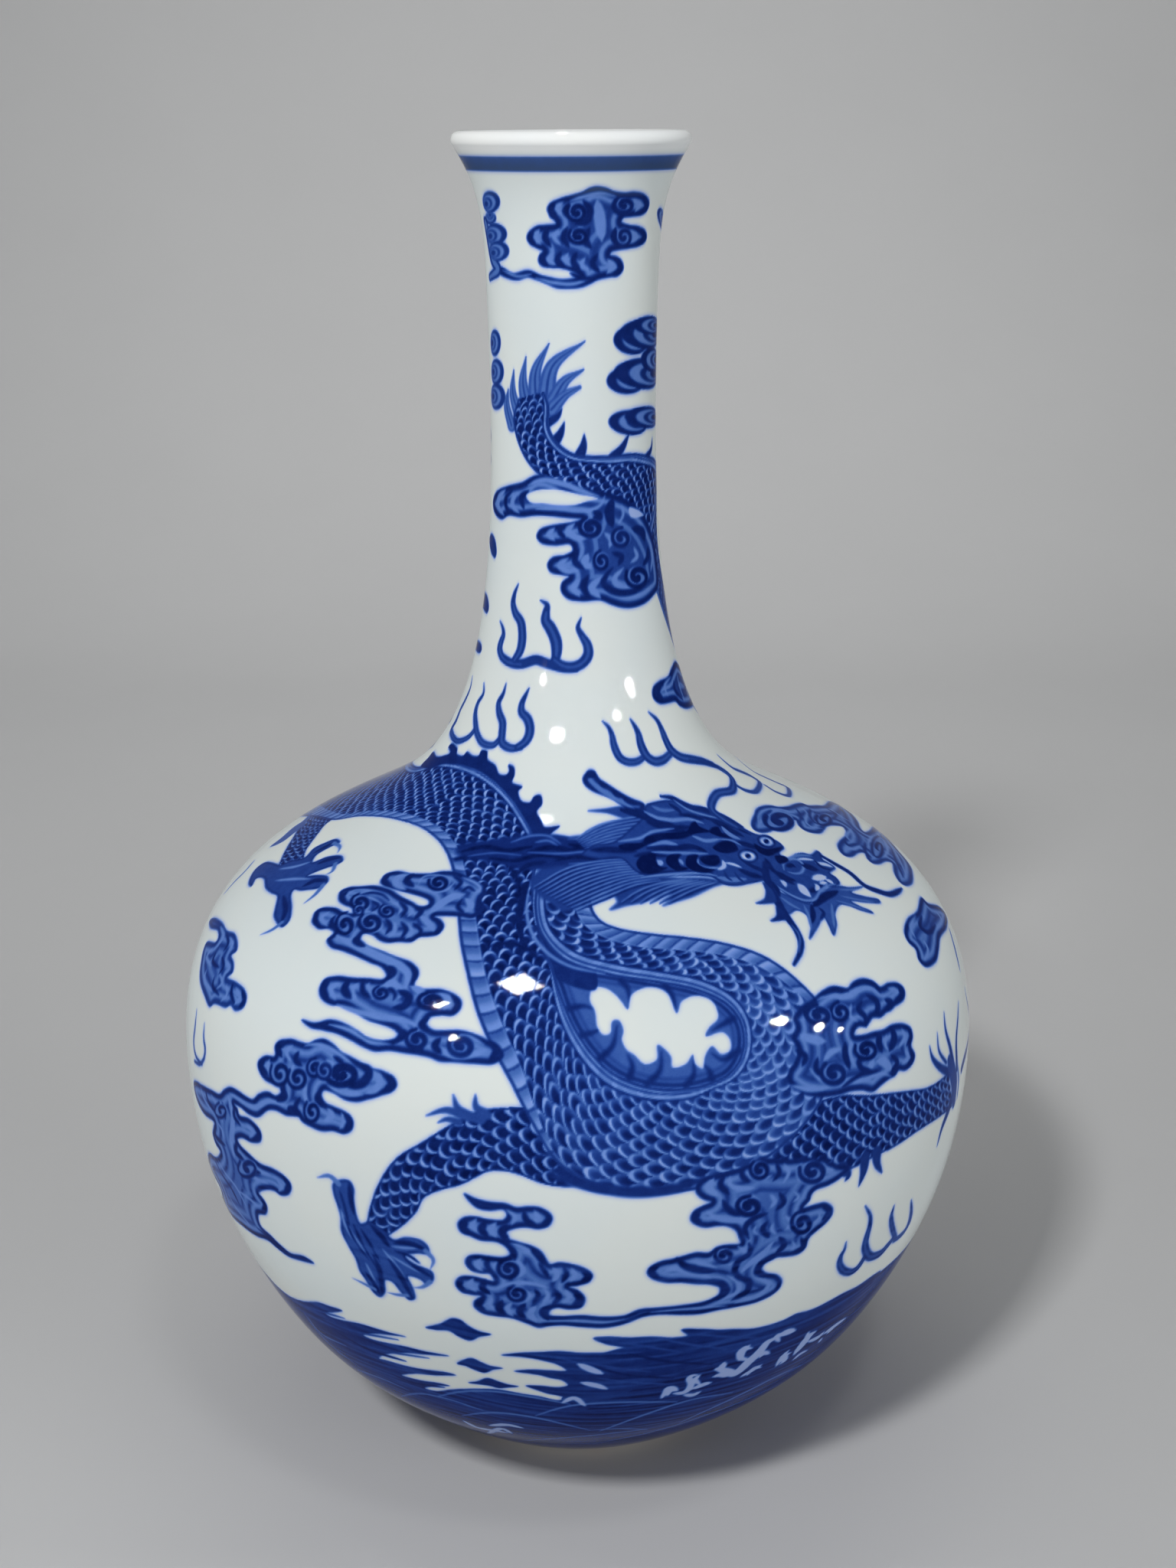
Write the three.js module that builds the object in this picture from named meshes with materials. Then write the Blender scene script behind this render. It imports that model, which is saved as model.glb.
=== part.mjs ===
import * as THREE from 'three';
import { NURBSCurve } from 'three/addons/curves/NURBSCurve.js';

// A porcelain "heavenly ball" vase: a round belly under a long, narrow neck.
// It is thrown and turned in sections that are luted together with slip.
// Millimetres, +Z up, standing on z = 0 with its axis on x = y = 0.

// Sizes of the outer skin, from the foot up
const FOOT_RADIUS = 36;
const FOOT_HEIGHT = 5;
const BELLY_RADIUS = 106.5;
const BELLY_RISE = 113;
const SHOULDER_RISE = 86;
const NECK_RADIUS = 20.6;
const NECK_LENGTH = 126;
const MOUTH_RADIUS = 29;
const MOUTH_DEPTH = 20;

// Sizes of the clay
const WALL = 4.2;
const FLOOR_THICKNESS = 6;
const FOOT_WIDTH = 7;
const FOOT_LAND_WIDTH = 2.4;
const FOOT_TAPER = 1.2;
const BASE_RECESS = 1.4;

// Sizes of the slip in each seam: its height, and how far it beads into the vase
const SLIP_HEIGHT = 1.6;
const SLIP_BEAD = 0.9;
const SLIP_WALL_SHARE = 0.6;

// The rolled lip: how far it leans out, and how long its lean is felt below it
const LIP_LEAN = THREE.MathUtils.degToRad(33);
const LIP_GUIDE_LENGTH = 5;

const ROUND_STEPS = 52;
const CURVE_SAMPLES = 900;
const BELLY_SKIN_STEPS = 12;
const BELLY_INSIDE_STEPS = 9;
const NECK_SKIN_STEPS = 9;
const NECK_INSIDE_STEPS = 7;
const MOUTH_STEPS = 4;
const LIP_STEPS = 7;

// Heights of the four seams and of the lip
const footSeam = FOOT_HEIGHT;
const bellySeam = footSeam + BELLY_RISE;
const neckSeam = bellySeam + SHOULDER_RISE;
const mouthSeam = neckSeam + NECK_LENGTH;
const lipTop = mouthSeam + MOUTH_DEPTH;

// Guide points of the outer skin, as shares of each stretch: [radius, height]
const bellyShares = [
  [0, 0], [0.1, 0.018], [0.215, 0.066], [0.556, 0.249], [0.738, 0.397], [0.954, 0.682], [1.014, 0.976],
];
const shoulderShares = [[0.98, 0.28], [0.825, 0.51], [0.56, 0.66], [0.27, 0.8], [0.13, 0.975]];
const neckShares = [[0.46, 0.16], [0.05, 0.4], [-0.01, 0.65], [0.05, 0.88]];
const mouthShares = [[0.15, 0.2]];

const glaze = new THREE.MeshStandardMaterial({ color: 0xdde6ea, roughness: 0.12, metalness: 0 });
const blueGlaze = new THREE.MeshStandardMaterial({ color: 0x8fa3d2, roughness: 0.12, metalness: 0 });
const biscuit = new THREE.MeshStandardMaterial({ color: 0xd9cfc0, roughness: 0.8, metalness: 0 });
const slip = new THREE.MeshStandardMaterial({ color: 0xe6e2da, roughness: 0.6, metalness: 0 });

// Guide points of one stretch, between two radii and over one rise
function guidesOf(shares, innerRadius, outerRadius, bottom, rise) {
  return shares.map(([radiusShare, heightShare]) => new THREE.Vector4(
    innerRadius + radiusShare * (outerRadius - innerRadius),
    bottom + heightShare * rise, 0, 1,
  ));
}

const lipRadius = WALL / 2;
const lipCentre = new THREE.Vector2(MOUTH_RADIUS - lipRadius, lipTop - lipRadius);

// A point of the lip's round, at an angle from level
function lipPoint(angle) {
  return new THREE.Vector2(Math.cos(angle), Math.sin(angle)).multiplyScalar(lipRadius).add(lipCentre);
}

// The outer skin as a smooth curve, which runs into the lip's round without a corner
function outerCurve() {
  const lipStart = lipPoint(-LIP_LEAN);
  const guides = [
    ...guidesOf(bellyShares, FOOT_RADIUS, BELLY_RADIUS, footSeam, BELLY_RISE),
    ...guidesOf(shoulderShares, NECK_RADIUS, BELLY_RADIUS, bellySeam, SHOULDER_RISE),
    ...guidesOf(neckShares, NECK_RADIUS, MOUTH_RADIUS, neckSeam, NECK_LENGTH),
    ...guidesOf(mouthShares, NECK_RADIUS, MOUTH_RADIUS, mouthSeam, MOUTH_DEPTH),
    new THREE.Vector4(
      lipStart.x - LIP_GUIDE_LENGTH * Math.sin(LIP_LEAN),
      lipStart.y - LIP_GUIDE_LENGTH * Math.cos(LIP_LEAN), 0, 1,
    ),
    new THREE.Vector4(lipStart.x, lipStart.y, 0, 1),
  ];
  const degree = 3;
  const spans = guides.length - degree;
  const knots = [];
  for (let i = 0; i <= guides.length + degree; i += 1) {
    knots.push(THREE.MathUtils.clamp((i - degree) / spans, 0, 1));
  }
  return new NURBSCurve(degree, knots, guides);
}

const skin = outerCurve();
const outerLine = [];
const innerLine = [];
for (let i = 0; i <= CURVE_SAMPLES; i += 1) {
  const share = i / CURVE_SAMPLES;
  const point = skin.getPoint(share);
  const along = skin.getTangent(share);
  const inward = new THREE.Vector2(-along.y, along.x).normalize();
  outerLine.push(new THREE.Vector2(point.x, point.y));
  innerLine.push(new THREE.Vector2(point.x, point.y).addScaledVector(inward, WALL));
}

// The point of a line at a height, or its end if the line ends there
function pointAt(line, height) {
  const next = line.findIndex((point) => point.y > height);
  if (next < 0) {
    return line.at(-1);
  }
  const low = line[next - 1];
  const high = line[next];
  return low.clone().lerp(high, (height - low.y) / (high.y - low.y));
}

// Points in equal steps along a line, between two heights
function stretch(line, bottom, top, steps) {
  const between = line.filter((point) => point.y > bottom && point.y < top);
  const path = new THREE.Path();
  path.setFromPoints([pointAt(line, bottom), ...between, pointAt(line, top)]);
  return path.getSpacedPoints(steps);
}

// A seam: its height, the slip's top and bottom, and its edge inside the wall
function seamOf(height, outside, inside) {
  return {
    height,
    inside,
    edge: inside + SLIP_WALL_SHARE * (outside - inside),
    top: height + SLIP_HEIGHT / 2,
    bottom: height - SLIP_HEIGHT / 2,
  };
}

function wallSeam(height) {
  return seamOf(height, pointAt(outerLine, height).x, pointAt(innerLine, height).x);
}

const seams = {
  foot: seamOf(footSeam, FOOT_RADIUS, FOOT_RADIUS - FOOT_WIDTH),
  belly: wallSeam(bellySeam),
  neck: wallSeam(neckSeam),
  mouth: wallSeam(mouthSeam),
};

// The step over a seam, from the inner wall out to the skin
function stepOver(seam) {
  return [
    new THREE.Vector2(seam.edge, seam.top),
    new THREE.Vector2(seam.edge, seam.height),
  ];
}

// The step under a seam, from the skin in to the inner wall
function stepUnder(seam) {
  return [
    new THREE.Vector2(seam.edge, seam.height),
    new THREE.Vector2(seam.edge, seam.bottom),
  ];
}

// A ring of clay turned round the axis from its closed outline
function turned(name, outline, material) {
  const anticlockwise = THREE.ShapeUtils.area(outline) > 0 ? outline : outline.slice().reverse();
  const geometry = new THREE.LatheGeometry([...anticlockwise, anticlockwise[0]], ROUND_STEPS);
  geometry.rotateX(Math.PI / 2);
  const mesh = new THREE.Mesh(geometry, material);
  mesh.name = name;
  return mesh;
}

// A wall section between two seams: skin going up, step, inner wall going down, step
function section(name, low, high, outerSteps, innerSteps) {
  return turned(name, [
    ...stretch(outerLine, low.height, high.height, outerSteps),
    ...stepUnder(high),
    ...stretch(innerLine, low.top, high.bottom, innerSteps).reverse(),
    ...stepOver(low),
  ], glaze);
}

// A ring of slip that fills a seam's inner share and beads into the vase
function slipRing(name, seam, insideTop, insideBottom) {
  return turned(name, [
    new THREE.Vector2(seam.edge, seam.bottom),
    new THREE.Vector2(seam.edge, seam.top),
    new THREE.Vector2(insideTop, seam.top),
    new THREE.Vector2((insideTop + seam.inside) / 2 - SLIP_BEAD, seam.height + SLIP_HEIGHT / 4),
    new THREE.Vector2((insideBottom + seam.inside) / 2 - SLIP_BEAD, seam.height - SLIP_HEIGHT / 4),
    new THREE.Vector2(insideBottom, seam.bottom),
  ], slip);
}

function wallSlip(name, seam) {
  return slipRing(name, seam, pointAt(innerLine, seam.top).x, pointAt(innerLine, seam.bottom).x);
}

// The foot ring: a bevelled land to stand on, under a plain seat for the belly
function footRing() {
  const seam = seams.foot;
  const landOutside = FOOT_RADIUS - (FOOT_WIDTH - FOOT_LAND_WIDTH) / 2;
  const landInside = landOutside - FOOT_LAND_WIDTH;
  const bevel = (FOOT_WIDTH - FOOT_LAND_WIDTH) / 2 - FOOT_TAPER;
  return turned('foot_ring', [
    new THREE.Vector2(landInside, 0),
    new THREE.Vector2(landOutside, 0),
    new THREE.Vector2(FOOT_RADIUS - FOOT_TAPER, bevel),
    new THREE.Vector2(FOOT_RADIUS, seam.height),
    ...stepUnder(seam),
    new THREE.Vector2(seam.inside, seam.bottom),
    new THREE.Vector2(seam.inside + FOOT_TAPER, bevel),
  ], biscuit);
}

// The lower belly: a bowl with a flat floor, turned up a little inside the foot ring
function lowerBelly() {
  const seam = seams.foot;
  const underside = seam.height + BASE_RECESS;
  const floor = underside + FLOOR_THICKNESS;
  return turned('lower_belly', [
    new THREE.Vector2(0, underside),
    new THREE.Vector2(seam.inside, underside),
    new THREE.Vector2(seam.inside, seam.top),
    ...stepOver(seam),
    ...stretch(outerLine, seam.height, bellySeam, BELLY_SKIN_STEPS),
    ...stepUnder(seams.belly),
    ...stretch(innerLine, floor, seams.belly.bottom, BELLY_INSIDE_STEPS).reverse(),
    new THREE.Vector2(0, floor),
  ], blueGlaze);
}

// The mouth: the top of the neck, flared and rolled over into a round lip
function mouthRim() {
  const lip = [];
  for (let i = 1; i < LIP_STEPS; i += 1) {
    lip.push(lipPoint(-LIP_LEAN + Math.PI * (i / LIP_STEPS)));
  }
  return turned('mouth_rim', [
    ...stretch(outerLine, mouthSeam, outerLine.at(-1).y, MOUTH_STEPS),
    ...lip,
    ...stretch(innerLine, seams.mouth.top, innerLine.at(-1).y, MOUTH_STEPS).reverse(),
    ...stepOver(seams.mouth),
  ], glaze);
}

const group = new THREE.Group();
group.add(
  footRing(),
  slipRing('foot_slip', seams.foot, seams.foot.inside, seams.foot.inside),
  lowerBelly(),
  wallSlip('belly_slip', seams.belly),
  section('upper_belly', seams.belly, seams.neck, BELLY_SKIN_STEPS, BELLY_INSIDE_STEPS),
  wallSlip('neck_slip', seams.neck),
  section('neck', seams.neck, seams.mouth, NECK_SKIN_STEPS, NECK_INSIDE_STEPS),
  wallSlip('mouth_slip', seams.mouth),
  mouthRim(),
);

export default group;
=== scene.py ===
"""A tianqiuping vase in blue-and-white porcelain, painted with a dragon among clouds over waves.

The skin, the walls and the seams follow the sizes of the CAD model. The painting is a canvas of ink laid
round the skin. Its brush lines were placed at pixels of the photograph, seen from its camera."""

import math

import bpy
import numpy as np
from mathutils import Matrix, Vector


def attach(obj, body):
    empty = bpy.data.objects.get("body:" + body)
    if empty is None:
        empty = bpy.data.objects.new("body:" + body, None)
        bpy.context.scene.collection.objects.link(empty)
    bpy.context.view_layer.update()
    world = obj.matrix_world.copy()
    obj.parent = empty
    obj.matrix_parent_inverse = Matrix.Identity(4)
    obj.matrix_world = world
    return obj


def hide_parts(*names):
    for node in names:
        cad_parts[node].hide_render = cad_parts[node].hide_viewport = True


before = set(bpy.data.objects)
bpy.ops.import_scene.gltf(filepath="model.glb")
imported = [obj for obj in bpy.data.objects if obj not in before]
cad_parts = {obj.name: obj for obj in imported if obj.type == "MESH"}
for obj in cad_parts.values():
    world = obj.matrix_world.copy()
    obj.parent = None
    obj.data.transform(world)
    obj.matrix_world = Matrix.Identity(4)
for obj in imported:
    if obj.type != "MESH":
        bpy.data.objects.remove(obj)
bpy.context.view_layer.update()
MILLIMETRE = 0.001
FULL_TURN = 2 * math.pi
# Keeps a division from meeting zero
TINY = 1e-12

# The camera, fitted to the photograph's outline: photograph pixels, millimetres and angles
FRAME_WIDTH, FRAME_HEIGHT = 1536, 2048
FOCAL_PIXELS = 2600
CAMERA_DISTANCE = 502.4
CAMERA_HEIGHT = 352.8
CAMERA_PITCH = math.radians(18.51)
CAMERA_YAW = math.radians(-0.36)
CAMERA_ROLL = math.radians(-0.33)

# Sizes of the vase in millimetres, as in the CAD model: first the outer skin, from the foot up
FOOT_RADIUS = 36
FOOT_HEIGHT = 5
BELLY_RADIUS = 106.5
BELLY_RISE = 113
SHOULDER_RISE = 86
NECK_RADIUS = 20.6
NECK_LENGTH = 126
MOUTH_RADIUS = 29
MOUTH_DEPTH = 20

# Sizes of the clay
WALL = 4.2
FLOOR_THICKNESS = 6
FOOT_WIDTH = 7
FOOT_LAND_WIDTH = 2.4
FOOT_TAPER = 1.2
BASE_RECESS = 1.4

# The slip in each seam: its height, and how far it beads into the vase
SLIP_HEIGHT = 1.6
SLIP_BEAD = 0.9
SLIP_WALL_SHARE = 0.6

# The rolled lip: how far it leans out, and how long its lean is felt below it
LIP_LEAN = math.radians(33)
LIP_GUIDE_LENGTH = 5

# Guide points of the outer skin, as shares of each stretch: radius and height
BELLY_SHARES = (
    (0, 0), (0.1, 0.018), (0.215, 0.066), (0.556, 0.249), (0.738, 0.397), (0.954, 0.682), (1.014, 0.976),
)
SHOULDER_SHARES = ((0.98, 0.28), (0.825, 0.51), (0.56, 0.66), (0.27, 0.8), (0.13, 0.975))
NECK_SHARES = ((0.46, 0.16), (0.05, 0.4), (-0.01, 0.65), (0.05, 0.88))
MOUTH_SHARES = ((0.15, 0.2),)
SPLINE_DEGREE = 3
SKIN_POINTS = 1801

# Heights of the seams and of the lip, and the lip's round
BELLY_SEAM = FOOT_HEIGHT + BELLY_RISE
NECK_SEAM = BELLY_SEAM + SHOULDER_RISE
MOUTH_SEAM = NECK_SEAM + NECK_LENGTH
LIP_TOP = MOUTH_SEAM + MOUTH_DEPTH
LIP_RADIUS = WALL / 2
LIP_CENTRE = (MOUTH_RADIUS - LIP_RADIUS, LIP_TOP - LIP_RADIUS)


def lip_point(angle):
    """A point of the lip's round, at an angle from level."""
    return (LIP_CENTRE[0] + LIP_RADIUS * math.cos(angle), LIP_CENTRE[1] + LIP_RADIUS * math.sin(angle))


def guides_of(shares, inner, outer, bottom, rise):
    """Guide points of one stretch, between two radii and over one rise."""
    return [(inner + share * (outer - inner), bottom + lift * rise) for share, lift in shares]


def guide_points():
    """Guide points of the whole skin, from the foot into the lip's round."""
    end = lip_point(-LIP_LEAN)
    below, inward = LIP_GUIDE_LENGTH * math.cos(LIP_LEAN), LIP_GUIDE_LENGTH * math.sin(LIP_LEAN)
    before = (end[0] - inward, end[1] - below)
    return np.array(
        guides_of(BELLY_SHARES, FOOT_RADIUS, BELLY_RADIUS, FOOT_HEIGHT, BELLY_RISE)
        + guides_of(SHOULDER_SHARES, NECK_RADIUS, BELLY_RADIUS, BELLY_SEAM, SHOULDER_RISE)
        + guides_of(NECK_SHARES, NECK_RADIUS, MOUTH_RADIUS, NECK_SEAM, NECK_LENGTH)
        + guides_of(MOUTH_SHARES, NECK_RADIUS, MOUTH_RADIUS, MOUTH_SEAM, MOUTH_DEPTH)
        + [before, end]
    )


def b_spline(guides, count):
    """Points of the clamped uniform cubic B-spline over the guide points."""
    spans = len(guides) - SPLINE_DEGREE
    knots = np.clip((np.arange(len(guides) + SPLINE_DEGREE + 1) - SPLINE_DEGREE) / spans, 0, 1)
    at = np.linspace(0, 1, count)
    inside = np.minimum(at, 1 - TINY)
    basis = [((inside >= a) & (inside < b)).astype(float) for a, b in zip(knots[:-1], knots[1:])]
    for degree in range(1, SPLINE_DEGREE + 1):
        raised = []
        for i in range(len(knots) - degree - 1):
            term = np.zeros(count)
            start, stop = knots[i], knots[i + degree]
            next_start, next_stop = knots[i + 1], knots[i + degree + 1]
            if stop > start:
                term += (inside - start) / (stop - start) * basis[i]
            if next_stop > next_start:
                term += (next_stop - inside) / (next_stop - next_start) * basis[i + 1]
            raised.append(term)
        basis = raised
    return np.array(basis).T @ guides


# The skin as radius and height, and the length along it from the foot
SKIN = b_spline(guide_points(), SKIN_POINTS)
SKIN_ARC = np.concatenate([[0], np.cumsum(np.hypot(*np.diff(SKIN, axis=0).T))])
ARC_LENGTH = SKIN_ARC[-1]


def radius_at(arc):
    """The skin's radius at a length along it."""
    return np.interp(arc, SKIN_ARC, SKIN[:, 0])


def height_at(arc):
    """The skin's height at a length along it."""
    return np.interp(arc, SKIN_ARC, SKIN[:, 1])


def arc_at(height):
    """The length along the skin at a height."""
    return np.interp(height, SKIN[:, 1], SKIN_ARC)


def rotation(axis, angle):
    """The matrix of a turn about the X or the Z axis."""
    cosine, sine = math.cos(angle), math.sin(angle)
    i, j = {"X": (1, 2), "Z": (0, 1)}[axis]
    matrix = np.eye(3)
    matrix[i, i] = matrix[j, j] = cosine
    matrix[i, j], matrix[j, i] = -sine, sine
    return matrix


EYE = np.array([0.0, -CAMERA_DISTANCE, CAMERA_HEIGHT])
VIEW = rotation("Z", CAMERA_YAW) @ rotation("X", math.pi / 2 - CAMERA_PITCH) @ rotation("Z", CAMERA_ROLL)


# Where a line of sight looks for the skin: how far before and behind the axis, and in how many steps
REACH_NEAR = 130
REACH_FAR = 85
REACH_STEPS = 220
REACH_HALVINGS = 18


def seen(pixels):
    """Surface places, as angle and arc, of photograph pixels, and the millimetres that one pixel spans."""
    pixels = np.atleast_2d(np.asarray(pixels, float))
    across = (pixels[:, 0] - FRAME_WIDTH / 2) / FOCAL_PIXELS
    up = (FRAME_HEIGHT / 2 - pixels[:, 1]) / FOCAL_PIXELS
    ray = np.stack([across, up, -np.ones(len(pixels))], 1) @ VIEW.T
    ray /= np.linalg.norm(ray, axis=1)[:, None]

    def outside(reach):
        """How far the places at a reach along the lines of sight are from the skin: negative inside it."""
        place = EYE + reach[..., None] * (ray if reach.ndim == 1 else ray[:, None])
        height = np.clip(place[..., 2], SKIN[0, 1], SKIN[-1, 1])
        gap = np.hypot(place[..., 0], place[..., 1]) - np.interp(height, SKIN[:, 1], SKIN[:, 0])
        return gap + np.abs(place[..., 2] - height)

    steps = np.linspace(CAMERA_DISTANCE - REACH_NEAR, CAMERA_DISTANCE + REACH_FAR, REACH_STEPS)
    gaps = outside(np.broadcast_to(steps, (len(pixels), REACH_STEPS)))
    hit = gaps < 0
    first = np.where(hit.any(1), hit.argmax(1), gaps.argmin(1))
    high = steps[first]
    low = steps[np.maximum(first - 1, 0)]
    for _ in range(REACH_HALVINGS):
        middle = (low + high) / 2
        within = outside(middle) < 0
        high = np.where(within, middle, high)
        low = np.where(within, low, middle)
    reach = np.where(hit.any(1), high, steps[first])
    place = EYE + reach[:, None] * ray
    depth = reach * (ray @ -VIEW[:, 2])
    angle = np.arctan2(place[:, 0], -place[:, 1])
    arc = arc_at(np.clip(place[:, 2], SKIN[0, 1], SKIN[-1, 1]))
    return np.stack([angle, arc], 1), depth / FOCAL_PIXELS


# The canvas: ink for each step of arc, from the foot seam to the lip, and for each step of angle
CANVAS_STEP = 0.28
ROWS = int(ARC_LENGTH / CANVAS_STEP) + 1
COLUMNS = int(FULL_TURN * BELLY_RADIUS / CANVAS_STEP)
ANGLE_STEP = FULL_TURN / COLUMNS
ROW_RADIUS = radius_at(np.arange(ROWS) * CANVAS_STEP)
ink = np.zeros((ROWS, COLUMNS), np.float32)

# Photograph pixels between the points of a drawn line, and its thinnest width
PENCIL_STEP = 2.5
THINNEST = 0.2
# Millimetres over which an edge fades, and clear canvas round a shape
EDGE = 0.55
CLEAR = 1.0
BARE = 0.0
SHORTEST_SPAN = 1e-6

placing = None


class Placing:
    """Paints what is drawn inside it somewhere else: turned round the axis, lifted, scaled or mirrored."""

    def __init__(self, pivot, angle, height, size=1.0, mirror=False, spin=0.0):
        self.pivot = seen(pivot)[0][0]
        self.angle, self.arc = angle, arc_at(height)
        self.size, self.mirror, self.spin = size, mirror, spin

    def __enter__(self):
        global placing
        placing = self

    def __exit__(self, *_):
        global placing
        placing = None

    def move(self, places):
        """Places on the skin, carried over to where this one sets them."""
        x = (places[:, 0] - self.pivot[0]) * radius_at(places[:, 1]) * self.size
        y = (places[:, 1] - self.pivot[1]) * self.size
        if self.mirror:
            x = -x
        cosine, sine = math.cos(self.spin), math.sin(self.spin)
        x, y = cosine * x - sine * y, sine * x + cosine * y
        arc = self.arc + y
        return np.stack([self.angle + x / radius_at(arc), arc], 1)


def on_vase(pixels):
    """Places on the canvas of photograph pixels, moved if they are placed elsewhere, and a pixel's size."""
    places, grain = seen(pixels)
    if placing is not None:
        return placing.move(places), grain * placing.size
    return places, grain


def smooth(points, closed=False, step=PENCIL_STEP):
    """A smooth line through points: a centripetal Catmull-Rom curve, sampled in steps."""
    points = np.asarray(points, float)
    if closed:
        padded = np.concatenate([points[-1:], points, points[:2]])
    else:
        padded = np.concatenate([2 * points[:1] - points[1:2], points, 2 * points[-1:] - points[-2:-1]])
    pieces = []
    for a, b, c, d in zip(padded[:-3], padded[1:-2], padded[2:-1], padded[3:]):
        spans = [max(math.hypot(*(q - p)[:2]), SHORTEST_SPAN) ** 0.5 for p, q in ((a, b), (b, c), (c, d))]
        t0, t1 = 0.0, spans[0]
        t2 = t1 + spans[1]
        t3 = t2 + spans[2]
        count = max(2, int(math.hypot(*(c - b)[:2]) / step) + 1)
        t = np.linspace(t1, t2, count, endpoint=False)[:, None]
        p01 = (t1 - t) / (t1 - t0) * a + (t - t0) / (t1 - t0) * b
        p12 = (t2 - t) / (t2 - t1) * b + (t - t1) / (t2 - t1) * c
        p23 = (t3 - t) / (t3 - t2) * c + (t - t2) / (t3 - t2) * d
        p02 = (t2 - t) / (t2 - t0) * p01 + (t - t0) / (t2 - t0) * p12
        p13 = (t3 - t) / (t3 - t1) * p12 + (t - t1) / (t3 - t1) * p23
        pieces.append((t2 - t) / (t2 - t1) * p02 + (t - t1) / (t2 - t1) * p13)
    if not closed:
        pieces.append(points[-1:])
    return np.concatenate(pieces)


class Window:
    """A part of the canvas round some places, which may run over the back seam."""

    def __init__(self, places, reach):
        low, high = places[:, 1].min() - reach, places[:, 1].max() + reach
        self.row0 = max(0, int(low / CANVAS_STEP))
        self.row1 = min(ROWS, int(high / CANVAS_STEP) + 2)
        self.row1 = max(self.row1, self.row0 + 1)
        thin = ROW_RADIUS[self.row0:self.row1].min()
        margin = reach / thin
        self.col0 = int((places[:, 0].min() - margin) / ANGLE_STEP) - 1
        self.col1 = min(int((places[:, 0].max() + margin) / ANGLE_STEP) + 2, self.col0 + COLUMNS)
        self.columns = np.arange(self.col0, self.col1) % COLUMNS
        self.angle = np.arange(self.col0, self.col1) * ANGLE_STEP
        self.arc = np.arange(self.row0, self.row1) * CANVAS_STEP
        self.radius = ROW_RADIUS[self.row0:self.row1]
        self.shape = (len(self.arc), len(self.angle))

    def read(self):
        """The ink in this part."""
        return ink[self.row0:self.row1, self.columns]

    def write(self, values):
        """Set the ink in this part."""
        ink[self.row0:self.row1, self.columns] = values

    def distance(self, places, reach, closed=False):
        """How far each spot is from a line, how far along it, and on which side of it."""
        best = np.full(self.shape, reach * reach, np.float32)
        along = np.zeros(self.shape, np.float32)
        side = np.ones(self.shape, np.float32)
        ends = np.roll(places, -1, axis=0) if closed else places[1:]
        starts = places if closed else places[:-1]
        run = 0.0
        runs = [0.0]
        for (a, s), (b, e) in zip(starts, ends):
            middle = radius_at((s + e) / 2)
            length = math.hypot((b - a) * middle, e - s)
            r0 = max(0, int((min(s, e) - reach - self.arc[0]) / CANVAS_STEP))
            r1 = min(self.shape[0], int((max(s, e) + reach - self.arc[0]) / CANVAS_STEP) + 2)
            if r1 > r0:
                thin = self.radius[r0:r1].min()
                c0 = max(0, int((min(a, b) - reach / thin - self.angle[0]) / ANGLE_STEP))
                c1 = min(self.shape[1], int((max(a, b) + reach / thin - self.angle[0]) / ANGLE_STEP) + 2)
                if c1 > c0:
                    rad = self.radius[r0:r1, None]
                    x = (self.angle[None, c0:c1] - a) * rad
                    y = (self.arc[r0:r1, None] - s) + np.zeros_like(x)
                    bx = (b - a) * rad
                    by = e - s
                    t = np.clip((x * bx + y * by) / (bx * bx + by * by + TINY), 0, 1)
                    d2 = (x - t * bx) ** 2 + (y - t * by) ** 2
                    local = best[r0:r1, c0:c1]
                    nearer = d2 < local
                    local[nearer] = d2[nearer]
                    along[r0:r1, c0:c1][nearer] = (run + t * length)[nearer]
                    side[r0:r1, c0:c1][nearer] = np.sign(bx * y - by * x + TINY)[nearer]
            run += length
            runs.append(run)
        return np.sqrt(best), along, side, np.array(runs)

    def inside(self, places):
        """Which spots lie inside a closed line."""
        within = np.zeros(self.shape, bool)
        for (a, s), (b, e) in zip(places, np.roll(places, -1, axis=0)):
            if s == e:
                continue
            low, high = min(s, e), max(s, e)
            r0 = max(0, int(math.ceil((low - self.arc[0]) / CANVAS_STEP)))
            r1 = min(self.shape[0], int(math.ceil((high - self.arc[0]) / CANVAS_STEP)))
            if r1 <= r0:
                continue
            crossing = a + (self.arc[r0:r1] - s) / (e - s) * (b - a)
            within[r0:r1] ^= self.angle[None] < crossing[:, None]
        return within

    def lay(self, cover, tone):
        """Paint over what is there: cover is 0 to 1."""
        was = self.read()
        self.write(was + (tone - was) * np.clip(cover, 0, 1))


def ease(low, high, value):
    """0 up to one value and 1 from another on, with a smooth rise between."""
    t = np.clip((value - low) / (high - low), 0, 1)
    return t * t * (3 - 2 * t)


def fill(pixels, tone, edge=EDGE, rim=None, rim_width=0.5, bands=()):
    """A filled shape with a soft edge, a rim line and bands at set depths inside it."""
    places, _ = on_vase(smooth(pixels, closed=True))
    reach = max([rim_width + edge] + [stop + edge for _, stop, _ in bands]) + CLEAR
    window = Window(places, reach)
    gap, _, _, _ = window.distance(places, reach, closed=True)
    depth = np.where(window.inside(places), gap, -gap)
    value = np.full(window.shape, float(tone), np.float32)
    half = edge / 2
    for start, stop, band_tone in bands:
        cover = ease(start - half, start + half, depth) * (1 - ease(stop - half, stop + half, depth))
        value += (band_tone - value) * cover
    if rim is not None:
        value += (rim - value) * (1 - ease(rim_width - half, rim_width + half, depth))
    window.lay(ease(-half, half, depth), value)


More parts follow.
